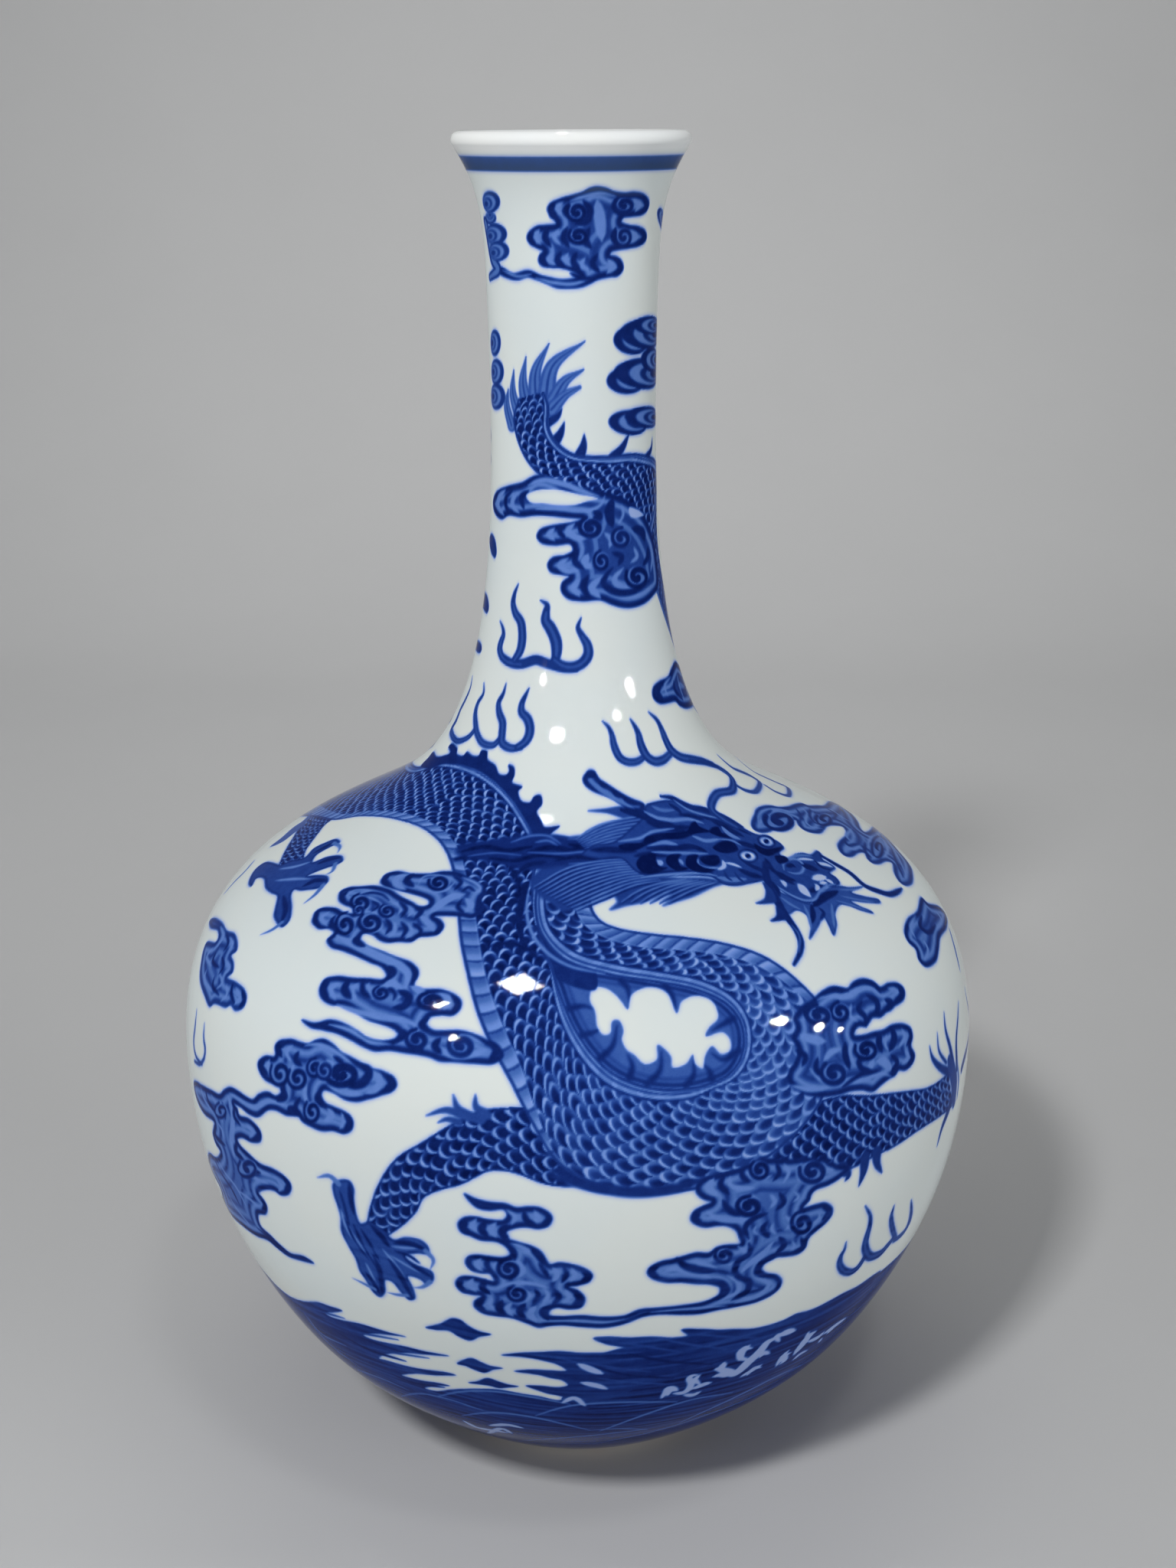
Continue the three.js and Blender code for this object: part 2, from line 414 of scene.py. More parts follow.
def stroke(pixels, widths, tone, edge=EDGE):
    """A brush line with a width, in photograph pixels, for all of it or for each of its points."""
    widths = np.broadcast_to(np.asarray(widths, float), (len(pixels),))
    line = smooth(np.column_stack([np.asarray(pixels, float), widths]))
    places, grain = on_vase(line[:, :2])
    half = np.maximum(line[:, 2], THINNEST) / 2 * grain
    reach = half.max() + CLEAR
    window = Window(places, reach)
    gap, along, _, runs = window.distance(places, reach)
    depth = np.interp(along, runs, half) - gap
    window.lay(ease(-edge / 2, edge / 2, depth), tone)


# Scales and bands on the dragon: the height of a row of scales as a share of a scale's width, how many
# stations along a strip may share one spot of the canvas, and how finely a strip is sampled
ROW_SHARE = 0.74
STATION_REACH = 26
FINE_ACROSS = 1.6
FINE_ALONG = 2.6
STRIP_EDGE = 0.4


class Strip:
    """The body of the dragon or of one leg: a band of canvas between two edges, laid over rungs."""

    def __init__(self, seen_rungs, hidden_rungs=(), seen_after=(), fade_in=0.0, fade_out=0.0):
        """Rungs run from the head to the tail: the belly edge, the back edge, and how the rung is painted.

        Seen rungs have edges in photograph pixels, hidden ones in degrees and millimetres of height.
        Then come the shares of belly plates and of back band, the width of a scale, and the ink."""
        rows = []
        for rungs, seen_ones in ((seen_rungs, True), (hidden_rungs, False), (seen_after, True)):
            for rung in rungs:
                ends = np.array(rung[:4], float).reshape(2, 2)
                if seen_ones:
                    ends = on_vase(ends)[0]
                else:
                    ends = np.stack([np.radians(ends[:, 0]), arc_at(ends[:, 1])], 1)
                if rows:
                    jump = np.mean([rows[-1][2], rows[-1][4]]) - ends[:, 0].mean()
                    ends[:, 0] += FULL_TURN * np.round(jump / FULL_TURN)
                middle = ends.mean(0)
                rows.append([middle[0] * radius_at(middle[1]), middle[1], *ends.ravel(), *rung[4:]])
        line = smooth(np.array(rows), step=1.0)
        count = len(line)
        a, b = line[:, 2:4], line[:, 4:6]
        middle = (a + b) / 2
        turn_radius = radius_at(middle[:, 1])
        mean_radius = (turn_radius[1:] + turn_radius[:-1]) / 2
        steps = np.hypot(np.diff(middle[:, 0]) * mean_radius, np.diff(middle[:, 1]))
        grain = np.maximum(line[:, 8], 1.0)
        run = np.concatenate([[0], np.cumsum(steps)])
        order = np.concatenate([[0], np.cumsum(steps / (grain[1:] * ROW_SHARE))])
        width = np.hypot((b[:, 0] - a[:, 0]) * turn_radius, b[:, 1] - a[:, 1])
        across = int(width.max() / CANVAS_STEP * FINE_ACROSS) + 3
        stations = int(max(run[-1], steps.max() * count) / CANVAS_STEP * FINE_ALONG) + 2
        fine = np.linspace(0, count - 1, stations)
        index = np.arange(count)
        columns = [np.interp(fine, index, part) for part in (*a.T, *b.T, run, order, width, *line[:, 6:].T)]
        share = np.linspace(0, 1, across)
        angle = columns[0][:, None] + (columns[2] - columns[0])[:, None] * share
        arc = columns[1][:, None] + (columns[3] - columns[1])[:, None] * share
        rows_at = np.clip(np.round(arc / CANVAS_STEP).astype(int), 0, ROWS - 1)
        columns_at = np.round(angle / ANGLE_STEP).astype(int) % COLUMNS
        keys = (rows_at * COLUMNS + columns_at).ravel()
        key, first, spot_of = np.unique(keys, return_index=True, return_inverse=True)
        self.rows, self.columns = key // COLUMNS, key % COLUMNS
        station = np.repeat(np.arange(len(fine)), across)
        close = (np.abs(station - (first // across)[spot_of]) < STATION_REACH).astype(float)
        total = np.bincount(spot_of, close)

        def mean_of(values):
            """The mean, for each spot of the canvas, of the values of the samples that fall on it."""
            return np.bincount(spot_of, values * close) / total

        self.v = mean_of(np.tile(share, len(fine)))
        self.u, self.order, self.width, self.plates, self.back, _, self.tone = (
            mean_of(np.repeat(part, across)) for part in columns[4:])
        self.order_knots, self.width_knots, self.grain_knots = order, width, grain
        self.plate_knots, self.back_knots = line[:, 6], line[:, 7]
        self.near = np.minimum(self.v, 1 - self.v) * self.width
        self.cover = ease(0.0, STRIP_EDGE, self.near)
        if fade_in:
            self.cover = self.cover * ease(0, fade_in, self.u)
        if fade_out:
            self.cover = self.cover * ease(0, fade_out, run[-1] - self.u)

    def lay(self, value, cover=1.0):
        """Paint the strip over what is there: cover is 0 to 1."""
        was = ink[self.rows, self.columns]
        ink[self.rows, self.columns] = was + (value - was) * np.clip(cover * self.cover, 0, 1)


def edged(strip, tone, width):
    """A dark line along both edges of a strip."""
    strip.lay(tone, 1 - ease(width * 0.6, width * 1.2, strip.near))


# Large uneven numbers that scatter the results of a sine
SCATTER = (127.1, 311.7, 74.7)
SCATTER_GAIN = 43758.5453


def chance(a, b, seed=0):
    """A fixed number between 0 and 1 for each pair of whole numbers."""
    mixed = a * SCATTER[0] + b * SCATTER[1] + seed * SCATTER[2]
    return np.modf(np.abs(np.sin(mixed) * SCATTER_GAIN))[0]


# Scales, in units of half a scale across and of one row along: how far one grows past its row, how
# uneven they are, and the ink of the pale crescent and of the bare middle
SCALE_LENGTH = 1.2
SCALE_ROOT = -0.42
SCALE_WOBBLE = 0.24
CRESCENT_INK = 0.21
CRESCENT_WOBBLE = 0.12
CRESCENT_RIM = (0.88, 0.97)
CRESCENT_SIDE = (0.75, 1.55)
CRESCENT_DEPTH = 0.55
CRESCENT_EDGE = 0.12
MIDDLE_PALER = 0.26
MIDDLE_SPAN = (0.2, 0.75)
DARKEST_MIDDLE = 0.9
ROOT_DARKER = 1.16
TIP_PALER = 0.42
TIP_SPAN = (0.2, 0.9)
# The slimmest band of scales, as a share of the body
SLIMMEST = 0.01


def scaled(strip, seed=0, lean=0.4, facing=66):
    """Rows of overlapping scales between the belly plates and the back.

    Each is dark, with a pale crescent on the side that faces the belly and the tail."""
    value = strip.tone.copy()
    dark = strip.tone
    band = (strip.v - strip.plates) / np.maximum(1 - strip.plates - strip.back, SLIMMEST)
    order = strip.order + lean * (band - 0.5)
    scaly_knots = strip.width_knots * (1 - strip.plate_knots - strip.back_knots)
    for back in (2, 1, 0, -1):
        row = np.floor(order) - 1 + back
        here = np.interp(row + 0.5, strip.order_knots, scaly_knots)
        size = np.interp(row + 0.5, strip.order_knots, strip.grain_knots)
        number = np.maximum(1, np.round(here / size))
        at = band * number + np.where(row % 2 == 0, 0.0, 0.5)
        cell = np.floor(at)
        wobble, other = chance(row, cell, seed), chance(cell, row, seed + 5)
        x = (at - cell - 0.5) * 2 + 0.2 * (other - 0.5)
        y = (order - row - 0.05 - SCALE_WOBBLE * (wobble - 0.5)) / SCALE_LENGTH
        out = np.hypot(x / 1.1, np.where(y > 0, y, y * 0.75))
        body = (y > SCALE_ROOT) & (out < 1)
        tone = dark * (ROOT_DARKER - TIP_PALER * ease(*TIP_SPAN, out) * (0.4 + 0.9 * other))
        paler = np.minimum(dark + MIDDLE_PALER, DARKEST_MIDDLE) - tone
        tone = tone + paler * (1 - ease(*MIDDLE_SPAN, out)) * ease(0.1, 0.5, wobble)
        off = np.abs(np.arctan2(y, -x) - math.radians(facing) - 0.5 * (other - 0.5))
        inner = CRESCENT_DEPTH + 0.2 * ease(0, 1.4, off)
        rim = ease(inner, inner + CRESCENT_EDGE, out) * (1 - ease(*CRESCENT_RIM, out))
        crescent = CRESCENT_INK + CRESCENT_WOBBLE * (wobble - 0.5)
        tone = tone + (crescent - tone) * rim * (1 - ease(*CRESCENT_SIDE, off))
        value = np.where(body, tone, value)
    soft = 0.5 / np.maximum(strip.width, 3)
    strip.lay(value, ease(-soft, soft, band) * ease(-soft, soft, 1 - band))


def inside(strip, part, share):
    """How far a place lies inside the plates or the back band, with a soft limit."""
    soft = 0.25 / np.maximum(strip.width * part, 0.5)
    return (1 - ease(1 - soft, 1 + soft, share)) * (part > 0.01)


# The belly plates: millimetres from one to the next, their slant, and their inks
PLATE_PITCH = 4.0
PLATE_SLANT = 1.4
PLATE_INK = 0.24
PLATE_LINE_INK = 0.62
PLATE_EDGE_INK = 0.1
# Shares of a plate over which it darkens and its line ends, and of the plates' width where their edge is
PLATE_SHADE_SPAN = (0.3, 0.95)
PLATE_LINE_SPAN = (0.08, 0.2)
PLATE_EDGE_SPAN = (0.86, 0.96)
PLATE_EDGE_STRENGTH = 0.35

# The band along the back: millimetres of one touch of the brush, and its inks
BACK_TOUCH = 1.7
BACK_INK = 0.27
BACK_LINE_INK = 0.62
BACK_EDGE_INK = 0.8
# Shares of the band from the outer edge in: the outer edge, the line's two sides, and the inner edge
BACK_OUTER_SPAN = (0.05, 0.16)
BACK_LINE_SPANS = ((0.34, 0.42), (0.5, 0.58))
BACK_INNER_SPAN = (0.82, 0.92)
THINNEST_SHARE = 0.001


def plated(strip):
    """Belly plates along the first edge: pale bands with a dark line between."""
    share = strip.v / np.maximum(strip.plates, THINNEST_SHARE)
    at = (strip.u + PLATE_SLANT * (share - 0.5) + 1.0 * share * (1 - share)) / PLATE_PITCH
    plate = np.floor(at)
    part = at - plate
    tone = PLATE_INK + 0.2 * ease(*PLATE_SHADE_SPAN, part) + 0.1 * (chance(plate, 3) - 0.5)
    tone = tone + (PLATE_LINE_INK - tone) * (1 - ease(*PLATE_LINE_SPAN, part))
    tone = tone + (PLATE_EDGE_INK - tone) * PLATE_EDGE_STRENGTH * ease(*PLATE_EDGE_SPAN, share)
    strip.lay(tone, inside(strip, strip.plates, share))


def backed(strip):
    """The pale band along the dragon's back, with a fine dark line down it and a dark edge inside."""
    share = (1 - strip.v) / np.maximum(strip.back, THINNEST_SHARE)
    tone = BACK_INK + 0.1 * (chance(np.floor(strip.u / BACK_TOUCH), 2) - 0.5)
    line_start, line_stop = BACK_LINE_SPANS
    tone = tone + (BACK_LINE_INK - tone) * ease(*line_start, share) * (1 - ease(*line_stop, share))
    tone = tone + (BACK_EDGE_INK - tone) * ease(*BACK_INNER_SPAN, share)
    tone = tone + (BACK_EDGE_INK - tone) * (1 - ease(*BACK_OUTER_SPAN, share))
    strip.lay(tone, inside(strip, strip.back, share))


# The curls at the neck's edges: the ink of their crescents, and each layer's scale, shift towards the
# root, share of the dark ink and share of the pale one
LOBE_LIGHT = 0.3
LOBE_LAYERS = ((0.74, 0.15, 0, 1), (0.56, 0.34, 0.92, 0), (0.42, 0.44, 0, 1.2), (0.26, 0.52, 1, 0))
TAIL_LIGHT = 0.34
TAIL_LIGHT_SHARE = 0.52


def lobe(x, y, wide, high, tilt, root, dark):
    """One curl of a cloud: an oval with pale crescents inside it, which lean towards the cloud's root."""
    turn, lean = math.radians(tilt), math.radians(root)
    one, two = np.array([math.cos(turn), math.sin(turn)]), np.array([-math.sin(turn), math.cos(turn)])
    marks, _ = on_vase([(x, y), (x, y) + wide * one, (x, y) + high * two])
    radius = radius_at(marks[0, 1])
    sides = np.array([(marks[1:, 0] - marks[0, 0]) * radius, marks[1:, 1] - marks[0, 1]])
    area = abs(np.linalg.det(sides))
    window = Window(marks[:1], np.abs(sides).sum(1).max() * 1.1 + CLEAR)
    away = (window.angle[None] - marks[0, 0]) * window.radius[:, None]
    rise = (window.arc[:, None] - marks[0, 1]) + np.zeros_like(away)
    back = np.linalg.inv(sides)
    p, q = back[0, 0] * away + back[0, 1] * rise, back[1, 0] * away + back[1, 1] * rise
    soft = EDGE / math.sqrt(area)
    way = np.array([math.cos(lean), -math.sin(lean)])
    sx, sy = way @ one, way @ two

    def oval(scale, shift):
        """How far inside an oval each place is, as a share of its size."""
        return 1 - np.hypot(p - shift * sx, q - shift * sy) / scale

    tone = np.full(away.shape, dark, np.float32)
    tone -= 0.14 * ease(0.0, 1.2, p * sx + q * sy + 0.3)
    for scale, shift, dark_share, light_share in LOBE_LAYERS:
        shade = dark * dark_share + LOBE_LIGHT * light_share
        tone += (shade - tone) * ease(-soft * 0.7, soft * 0.7, oval(scale, shift) * scale)
    window.lay(ease(-soft / 2, soft / 2, oval(1, 0)), tone)


def cloud(lobes, dark):
    """A cloud of plain curls."""
    for numbers in lobes:
        lobe(*numbers, dark)


# The brush: how many points a line is drawn through, how it swells, and the share left at a point
BRUSH_POINTS = 9
BRUSH_SWELL = 0.55
POINT_SHARE = 0.08
POINT_FALL = 1.6


def even(pixels):
    """Points in equal steps along a smooth line."""
    line = smooth(pixels)
    run = np.concatenate([[0], np.cumsum(np.hypot(*np.diff(line, axis=0).T))])
    steps = np.linspace(0, run[-1], BRUSH_POINTS)
    return np.column_stack([np.interp(steps, run, line[:, 0]), np.interp(steps, run, line[:, 1])])


def brush(pixels, width, tone, edge=0.8, ends=0.2):
    """A stroke that swells in the middle and thins to both ends."""
    points = even(pixels)
    share = np.linspace(0, 1, len(points))
    stroke(points, width * (ends + (1 - ends) * np.sin(math.pi * share) ** BRUSH_SWELL), tone, edge)


def tapered(pixels, width, tone, edge=EDGE):
    """A stroke that starts at its full width and runs out to a point."""
    points = even(pixels)
    share = np.linspace(0, 1, len(points))
    stroke(points, width * (POINT_SHARE + (1 - POINT_SHARE) * (1 - share ** POINT_FALL)), tone, edge)


SPOT_POINTS = 8


def spot(x, y, wide, high, tone, tilt=0):
    """An oval spot."""
    cosine, sine = math.cos(math.radians(tilt)), math.sin(math.radians(tilt))
    ring = []
    for step in range(SPOT_POINTS):
        angle = FULL_TURN * step / SPOT_POINTS
        u, v = wide * math.cos(angle), high * math.sin(angle)
        ring.append((x + u * cosine - v * sine, y + u * sine + v * cosine))
    fill(ring, tone)


# A curl in a cloud: how often it winds, and its size from the heart out, in sizes of the heart
CURL_TURNS = 1.35
CURL_STEPS = 16
CURL_HEART = 0.35
CURL_GROWTH = 1.95
CURL_WIDTH = 1.45
CURL_THINNING = 0.75


def curl(x, y, wide, high, dark, light):
    """A curl in a cloud: a dark line that winds out of a dark heart, over a pale ground."""
    spot(x, y, wide * 2.0, high * 2.0, light + 0.06)
    share = np.linspace(0, 1, CURL_STEPS)
    turn = FULL_TURN * CURL_TURNS * share + 1.2 + chance(x, y) * 1.5
    away = CURL_HEART + CURL_GROWTH * share ** 0.8
    line = np.column_stack([x + wide * away * np.cos(turn), y + high * away * np.sin(turn)])
    stroke(line, wide * (CURL_WIDTH - CURL_THINNING * share), dark, edge=0.7)


# Bands inside a cloud's rim: where each starts and stops, in millimetres from the rim, and its ink
CLOUD_BANDS = ((1.7, 2.9, 0.3), (3.5, 4.5, 0.68), (5.2, 6.4, 0.34), (7.2, 8.2, 0.62))


CLOUD_INK = 0.44
CLOUD_RIM_INK = 0.84
CLOUD_LIGHT = 0.27
CLOUD_DARK = 0.86


def motif(ring, lights, darks, spots=(), tone=CLOUD_INK, rim=CLOUD_RIM_INK, rim_width=1.25,
          light=CLOUD_LIGHT, dark=CLOUD_DARK, bands=CLOUD_BANDS):
    """A cloud or another form: its outline, pale strokes and dark strokes in it, and its spots."""
    fill(ring, tone, rim=rim, rim_width=rim_width, bands=bands, edge=0.75)
    for width, *points in lights:
        brush(points, width, light)
    for width, *points in darks:
        brush(points, width, dark)
    for x, y, wide, high, shade in spots:
        curl(x, y, wide, high, shade, light)


# The blue band round the mouth: its lowest and highest height, its inks, and how far its edges fade
RIM_BAND = (341.2, 344.4)
RIM_INK = 0.68
RIM_FALL = 0.2
RIM_FADE = 0.3
RIM_TOP_FADE = 0.4


def rim_line():
    """The blue band round the mouth, darker at its lower edge."""
    low, high = arc_at(RIM_BAND[0]), arc_at(RIM_BAND[1])
    rows = np.arange(ROWS) * CANVAS_STEP
    band = ease(low - RIM_FADE, low + RIM_FADE, rows)
    band = band * (1 - ease(high - RIM_TOP_FADE, high + RIM_FADE, rows))
    shade = RIM_INK - RIM_FALL * ease(low, high, rows)
    ink[:] = ink + (shade[:, None] - ink) * band[:, None]


# From here on, points and sizes of the painting are pixels of the photograph's frame.
# A plain curl has its middle, its half width and half height, its tilt, and the side of its root.
NECK_EDGE_CLOUD = (
    (640, 264, 13, 14, 0, 200), (646, 306, 16, 14, 0, 200), (650, 328, 15, 13, 0, 200),
    (640, 285, 8, 8, 0, 90),
)
NECK_EDGE_TAIL = ((634, 290), (640, 320), (644, 340), (650, 352), (640, 362))
NECK_EDGE_TAIL_WIDTHS = np.array((14, 18, 16, 16, 10))
NECK_FAR_RIGHT = ((864, 286, 7, 14, 0, 0), (865, 322, 7, 15, 0, 0))
NECK_FAR_LEFT = ((646, 448, 8, 17, 0, 180), (648, 486, 10, 17, 0, 180), (648, 518, 12, 17, 0, 180))
NECK_RIGHT_CLOUD = (
    (828, 444, 19, 19, -10, 20), (846, 436, 14, 20, 0, 0), (850, 425, 10, 12, 0, 0),
    (822, 496, 22, 18, -15, 20), (843, 488, 17, 20, 0, 0), (852, 470, 10, 16, 0, 0),
    (825, 552, 21, 16, 0, 20), (846, 545, 15, 14, 0, 0),
)

NECK_EDGE_SPOTS = ((644, 713, 16), (634, 787, 14), (625, 845, 8))

# A motif has its outline, pale strokes and dark strokes as a width and a line, and curls with their ink
NECK_LOW_CLOUD = (
    (700, 621), (682, 630), (660, 636), (649, 642), (644, 655), (647, 671), (655, 678), (665, 673),
    (680, 675), (700, 673), (720, 674), (740, 676), (760, 678), (748, 682), (735, 684), (718, 687),
    (705, 692), (701, 701), (707, 709), (725, 712), (745, 711), (748, 719), (738, 725), (722, 728),
    (715, 737), (719, 747), (735, 751), (743, 753), (734, 761), (733, 772), (742, 782), (760, 785),
    (785, 784), (800, 790), (820, 794), (840, 789), (852, 779), (859, 768), (858, 735), (852, 700),
    (840, 672), (822, 655), (800, 645), (775, 640), (745, 636), (722, 624),
)
NECK_LOW_HOLE = (
    (687, 647), (700, 640), (720, 639), (740, 641), (760, 646), (781, 651), (765, 656), (750, 660),
    (730, 660), (710, 658), (692, 656),
)
NECK_LOW_LIGHTS = (
    (9, (660, 640), (652, 649), (651, 662), (658, 673)),
    (8, (677, 643), (670, 652), (670, 662), (678, 670)),
    (9, (690, 634), (706, 627), (724, 629), (744, 635), (764, 643), (782, 648)),
    (7, (700, 665), (730, 664), (758, 667), (782, 662), (790, 648)),
    (8, (724, 690), (717, 698), (724, 706)), (10, (750, 684), (742, 693), (752, 702), (768, 702)),
    (9, (742, 729), (731, 738), (740, 746), (755, 745)), (12, (768, 724), (764, 735), (772, 742)),
    (9, (757, 757), (750, 768), (757, 779)), (11, (784, 755), (773, 768), (784, 781)),
    (9, (814, 742), (802, 758), (814, 768), (838, 766)),
    (5, (794, 771), (815, 778), (836, 776), (851, 764)), (8, (790, 696), (798, 705), (796, 715)),
    (7, (828, 715), (832, 727), (824, 735)), (6, (849, 706), (852, 728), (850, 746)),
    (5, (812, 660), (814, 672), (808, 684)),
)
NECK_LOW_DARKS = (
    (7, (669, 641), (661, 650), (662, 664), (672, 672)), (8, (690, 641), (681, 650), (684, 664)),
    (7, (737, 686), (731, 694), (738, 703)), (14, (800, 652), (796, 670), (800, 688)),
    (8, (755, 718), (751, 733), (762, 743)), (9, (768, 752), (762, 766), (770, 782)),
    (9, (800, 742), (788, 760), (800, 772), (826, 773), (848, 758)),
    (10, (776, 668), (783, 674), (774, 680)), (12, (826, 690), (838, 694), (842, 706)),
    (9, (846, 715), (846, 728), (840, 738)), (6, (822, 746), (820, 755), (826, 762)),
    (8, (800, 722), (812, 727), (808, 738)),
)
NECK_LOW_SPOTS = (
    (772, 689, 7, 6, 0.9), (833, 753, 7, 7, 0.92), (786, 733, 5, 6, 0.9), (812, 703, 6, 6, 0.85),
)


NECK_TOP_RING = (
    (717, 275), (721, 265), (732, 259), (747, 255), (760, 251), (770, 246), (780, 244), (792, 246),
    (802, 250), (815, 252), (830, 251), (841, 254), (847, 262), (845, 275), (837, 281), (825, 283),
    (814, 285), (812, 290), (822, 294), (835, 296), (843, 304), (843, 314), (835, 321), (822, 324),
    (810, 326), (799, 329), (797, 333), (805, 335), (812, 341), (813, 352), (807, 360), (795, 362),
    (782, 365), (772, 370), (760, 375), (745, 377), (727, 376), (715, 371), (702, 366), (690, 362),
    (676, 366), (665, 364), (650, 356), (645, 347), (656, 349), (670, 357), (690, 353), (705, 359),
    (717, 362), (732, 365), (747, 364), (757, 361), (752, 357), (741, 352), (730, 350), (721, 350),
    (711, 347), (706, 340), (705, 333), (709, 328), (701, 324), (693, 319), (690, 310), (694, 300),
    (702, 295), (712, 294), (726, 292), (724, 288), (718, 283),
)
NECK_TOP_LIGHTS = (
    (8, (735, 264), (727, 272), (733, 281)), (6, (745, 262), (765, 256), (785, 252), (805, 257)),
    (17, (780, 262), (784, 290), (786, 314)), (8, (826, 260), (835, 267), (830, 276)),
    (9, (704, 300), (699, 310), (706, 319)), (7, (730, 299), (724, 310), (732, 320)),
    (6, (752, 300), (747, 310), (755, 318)), (8, (822, 300), (831, 309), (822, 318)),
    (8, (722, 331), (717, 340), (726, 346)), (7, (742, 331), (738, 340), (746, 348)),
    (7, (764, 337), (759, 346), (768, 353)), (9, (794, 339), (801, 348), (793, 357)),
    (6, (700, 363), (722, 369), (748, 371), (770, 364)), (4, (656, 353), (676, 361), (694, 358)),
)
NECK_TOP_DARKS = (
    (9, (724, 264), (719, 274), (727, 282)), (9, (743, 266), (739, 276), (747, 285)),
    (11, (762, 262), (770, 274), (766, 288), (752, 293)), (10, (806, 258), (803, 270), (812, 281)),
    (9, (840, 256), (845, 268), (837, 279)), (9, (696, 301), (692, 311), (699, 320)),
    (9, (716, 298), (712, 310), (719, 322)), (8, (741, 297), (736, 310), (743, 323)),
    (10, (770, 298), (764, 312), (772, 324)), (10, (804, 298), (802, 310), (810, 322)),
    (9, (838, 299), (842, 310), (834, 319)), (9, (710, 331), (707, 340), (715, 348)),
    (8, (733, 329), (728, 339), (736, 349)), (8, (753, 330), (749, 341), (757, 352)),
    (8, (780, 332), (774, 344), (783, 356)), (8, (806, 338), (811, 350), (803, 360)),
    (6, (745, 357), (760, 363), (776, 364)),
)
NECK_TOP_SPOTS = (
    (754, 277, 6, 6, 0.92), (756, 308, 6, 5, 0.92), (816, 268, 6, 5, 0.85), (815, 309, 5, 6, 0.85),
)


NECK_LOW_GAP = ((822, 662), (836, 667), (841, 673), (824, 676))
NECK_INK = 0.6
NECK_LOW_INK = 0.62
NECK_RIM_INK = 0.86
EDGE_INK = 0.72
EDGE_SPOT_INK = 0.75
FAR_INK = 0.7
NECK_RIGHT_INK = 0.84


def neck_cloud():
    """The cloud high on the neck's front."""
    motif(NECK_TOP_RING, NECK_TOP_LIGHTS, NECK_TOP_DARKS, NECK_TOP_SPOTS, NECK_INK, NECK_RIM_INK)


def neck_clouds():
    """The neck's upper cloud, and those that reach round its sides."""
    neck_cloud()
    stroke(NECK_EDGE_TAIL, NECK_EDGE_TAIL_WIDTHS, EDGE_INK)
    stroke(NECK_EDGE_TAIL, NECK_EDGE_TAIL_WIDTHS * TAIL_LIGHT_SHARE, TAIL_LIGHT)
    cloud(NECK_EDGE_CLOUD, EDGE_INK)
    cloud(NECK_FAR_RIGHT, FAR_INK)
    cloud(NECK_FAR_LEFT, FAR_INK)
    cloud(NECK_RIGHT_CLOUD, NECK_RIGHT_INK)
    for x, y, high in NECK_EDGE_SPOTS:
        spot(x, y, 4, high, EDGE_SPOT_INK, -8)


def neck_low_cloud():
    """The cloud over the neck's root, with bare glaze in its gaps."""
    motif(NECK_LOW_CLOUD, NECK_LOW_LIGHTS, NECK_LOW_DARKS, NECK_LOW_SPOTS, NECK_LOW_INK, NECK_RIM_INK)
    fill(NECK_LOW_HOLE, BARE)
    fill(NECK_LOW_GAP, tone=0.12)


# The tips of the tail's fin: each one's line and its widths
TAIL_FIN_TIPS = (
    (((668, 556), (662, 530), (664, 508)), (16, 13, 1)),
    (((680, 548), (670, 515), (671, 483)), (20, 13, 1)),
    (((690, 535), (683, 500), (687, 466)), (22, 14, 1)),
    (((700, 525), (700, 485), (717, 449)), (24, 15, 1)),
    (((712, 525), (722, 478), (764, 446)), (28, 17, 1)),
    (((722, 525), (738, 498), (762, 483)), (22, 13, 2)),
    (((720, 535), (738, 516), (757, 506)), (20, 12, 5)),
)

FIN_INKS = ((1, 0.5), (0.6, 0.36), (0.15, 0.62))

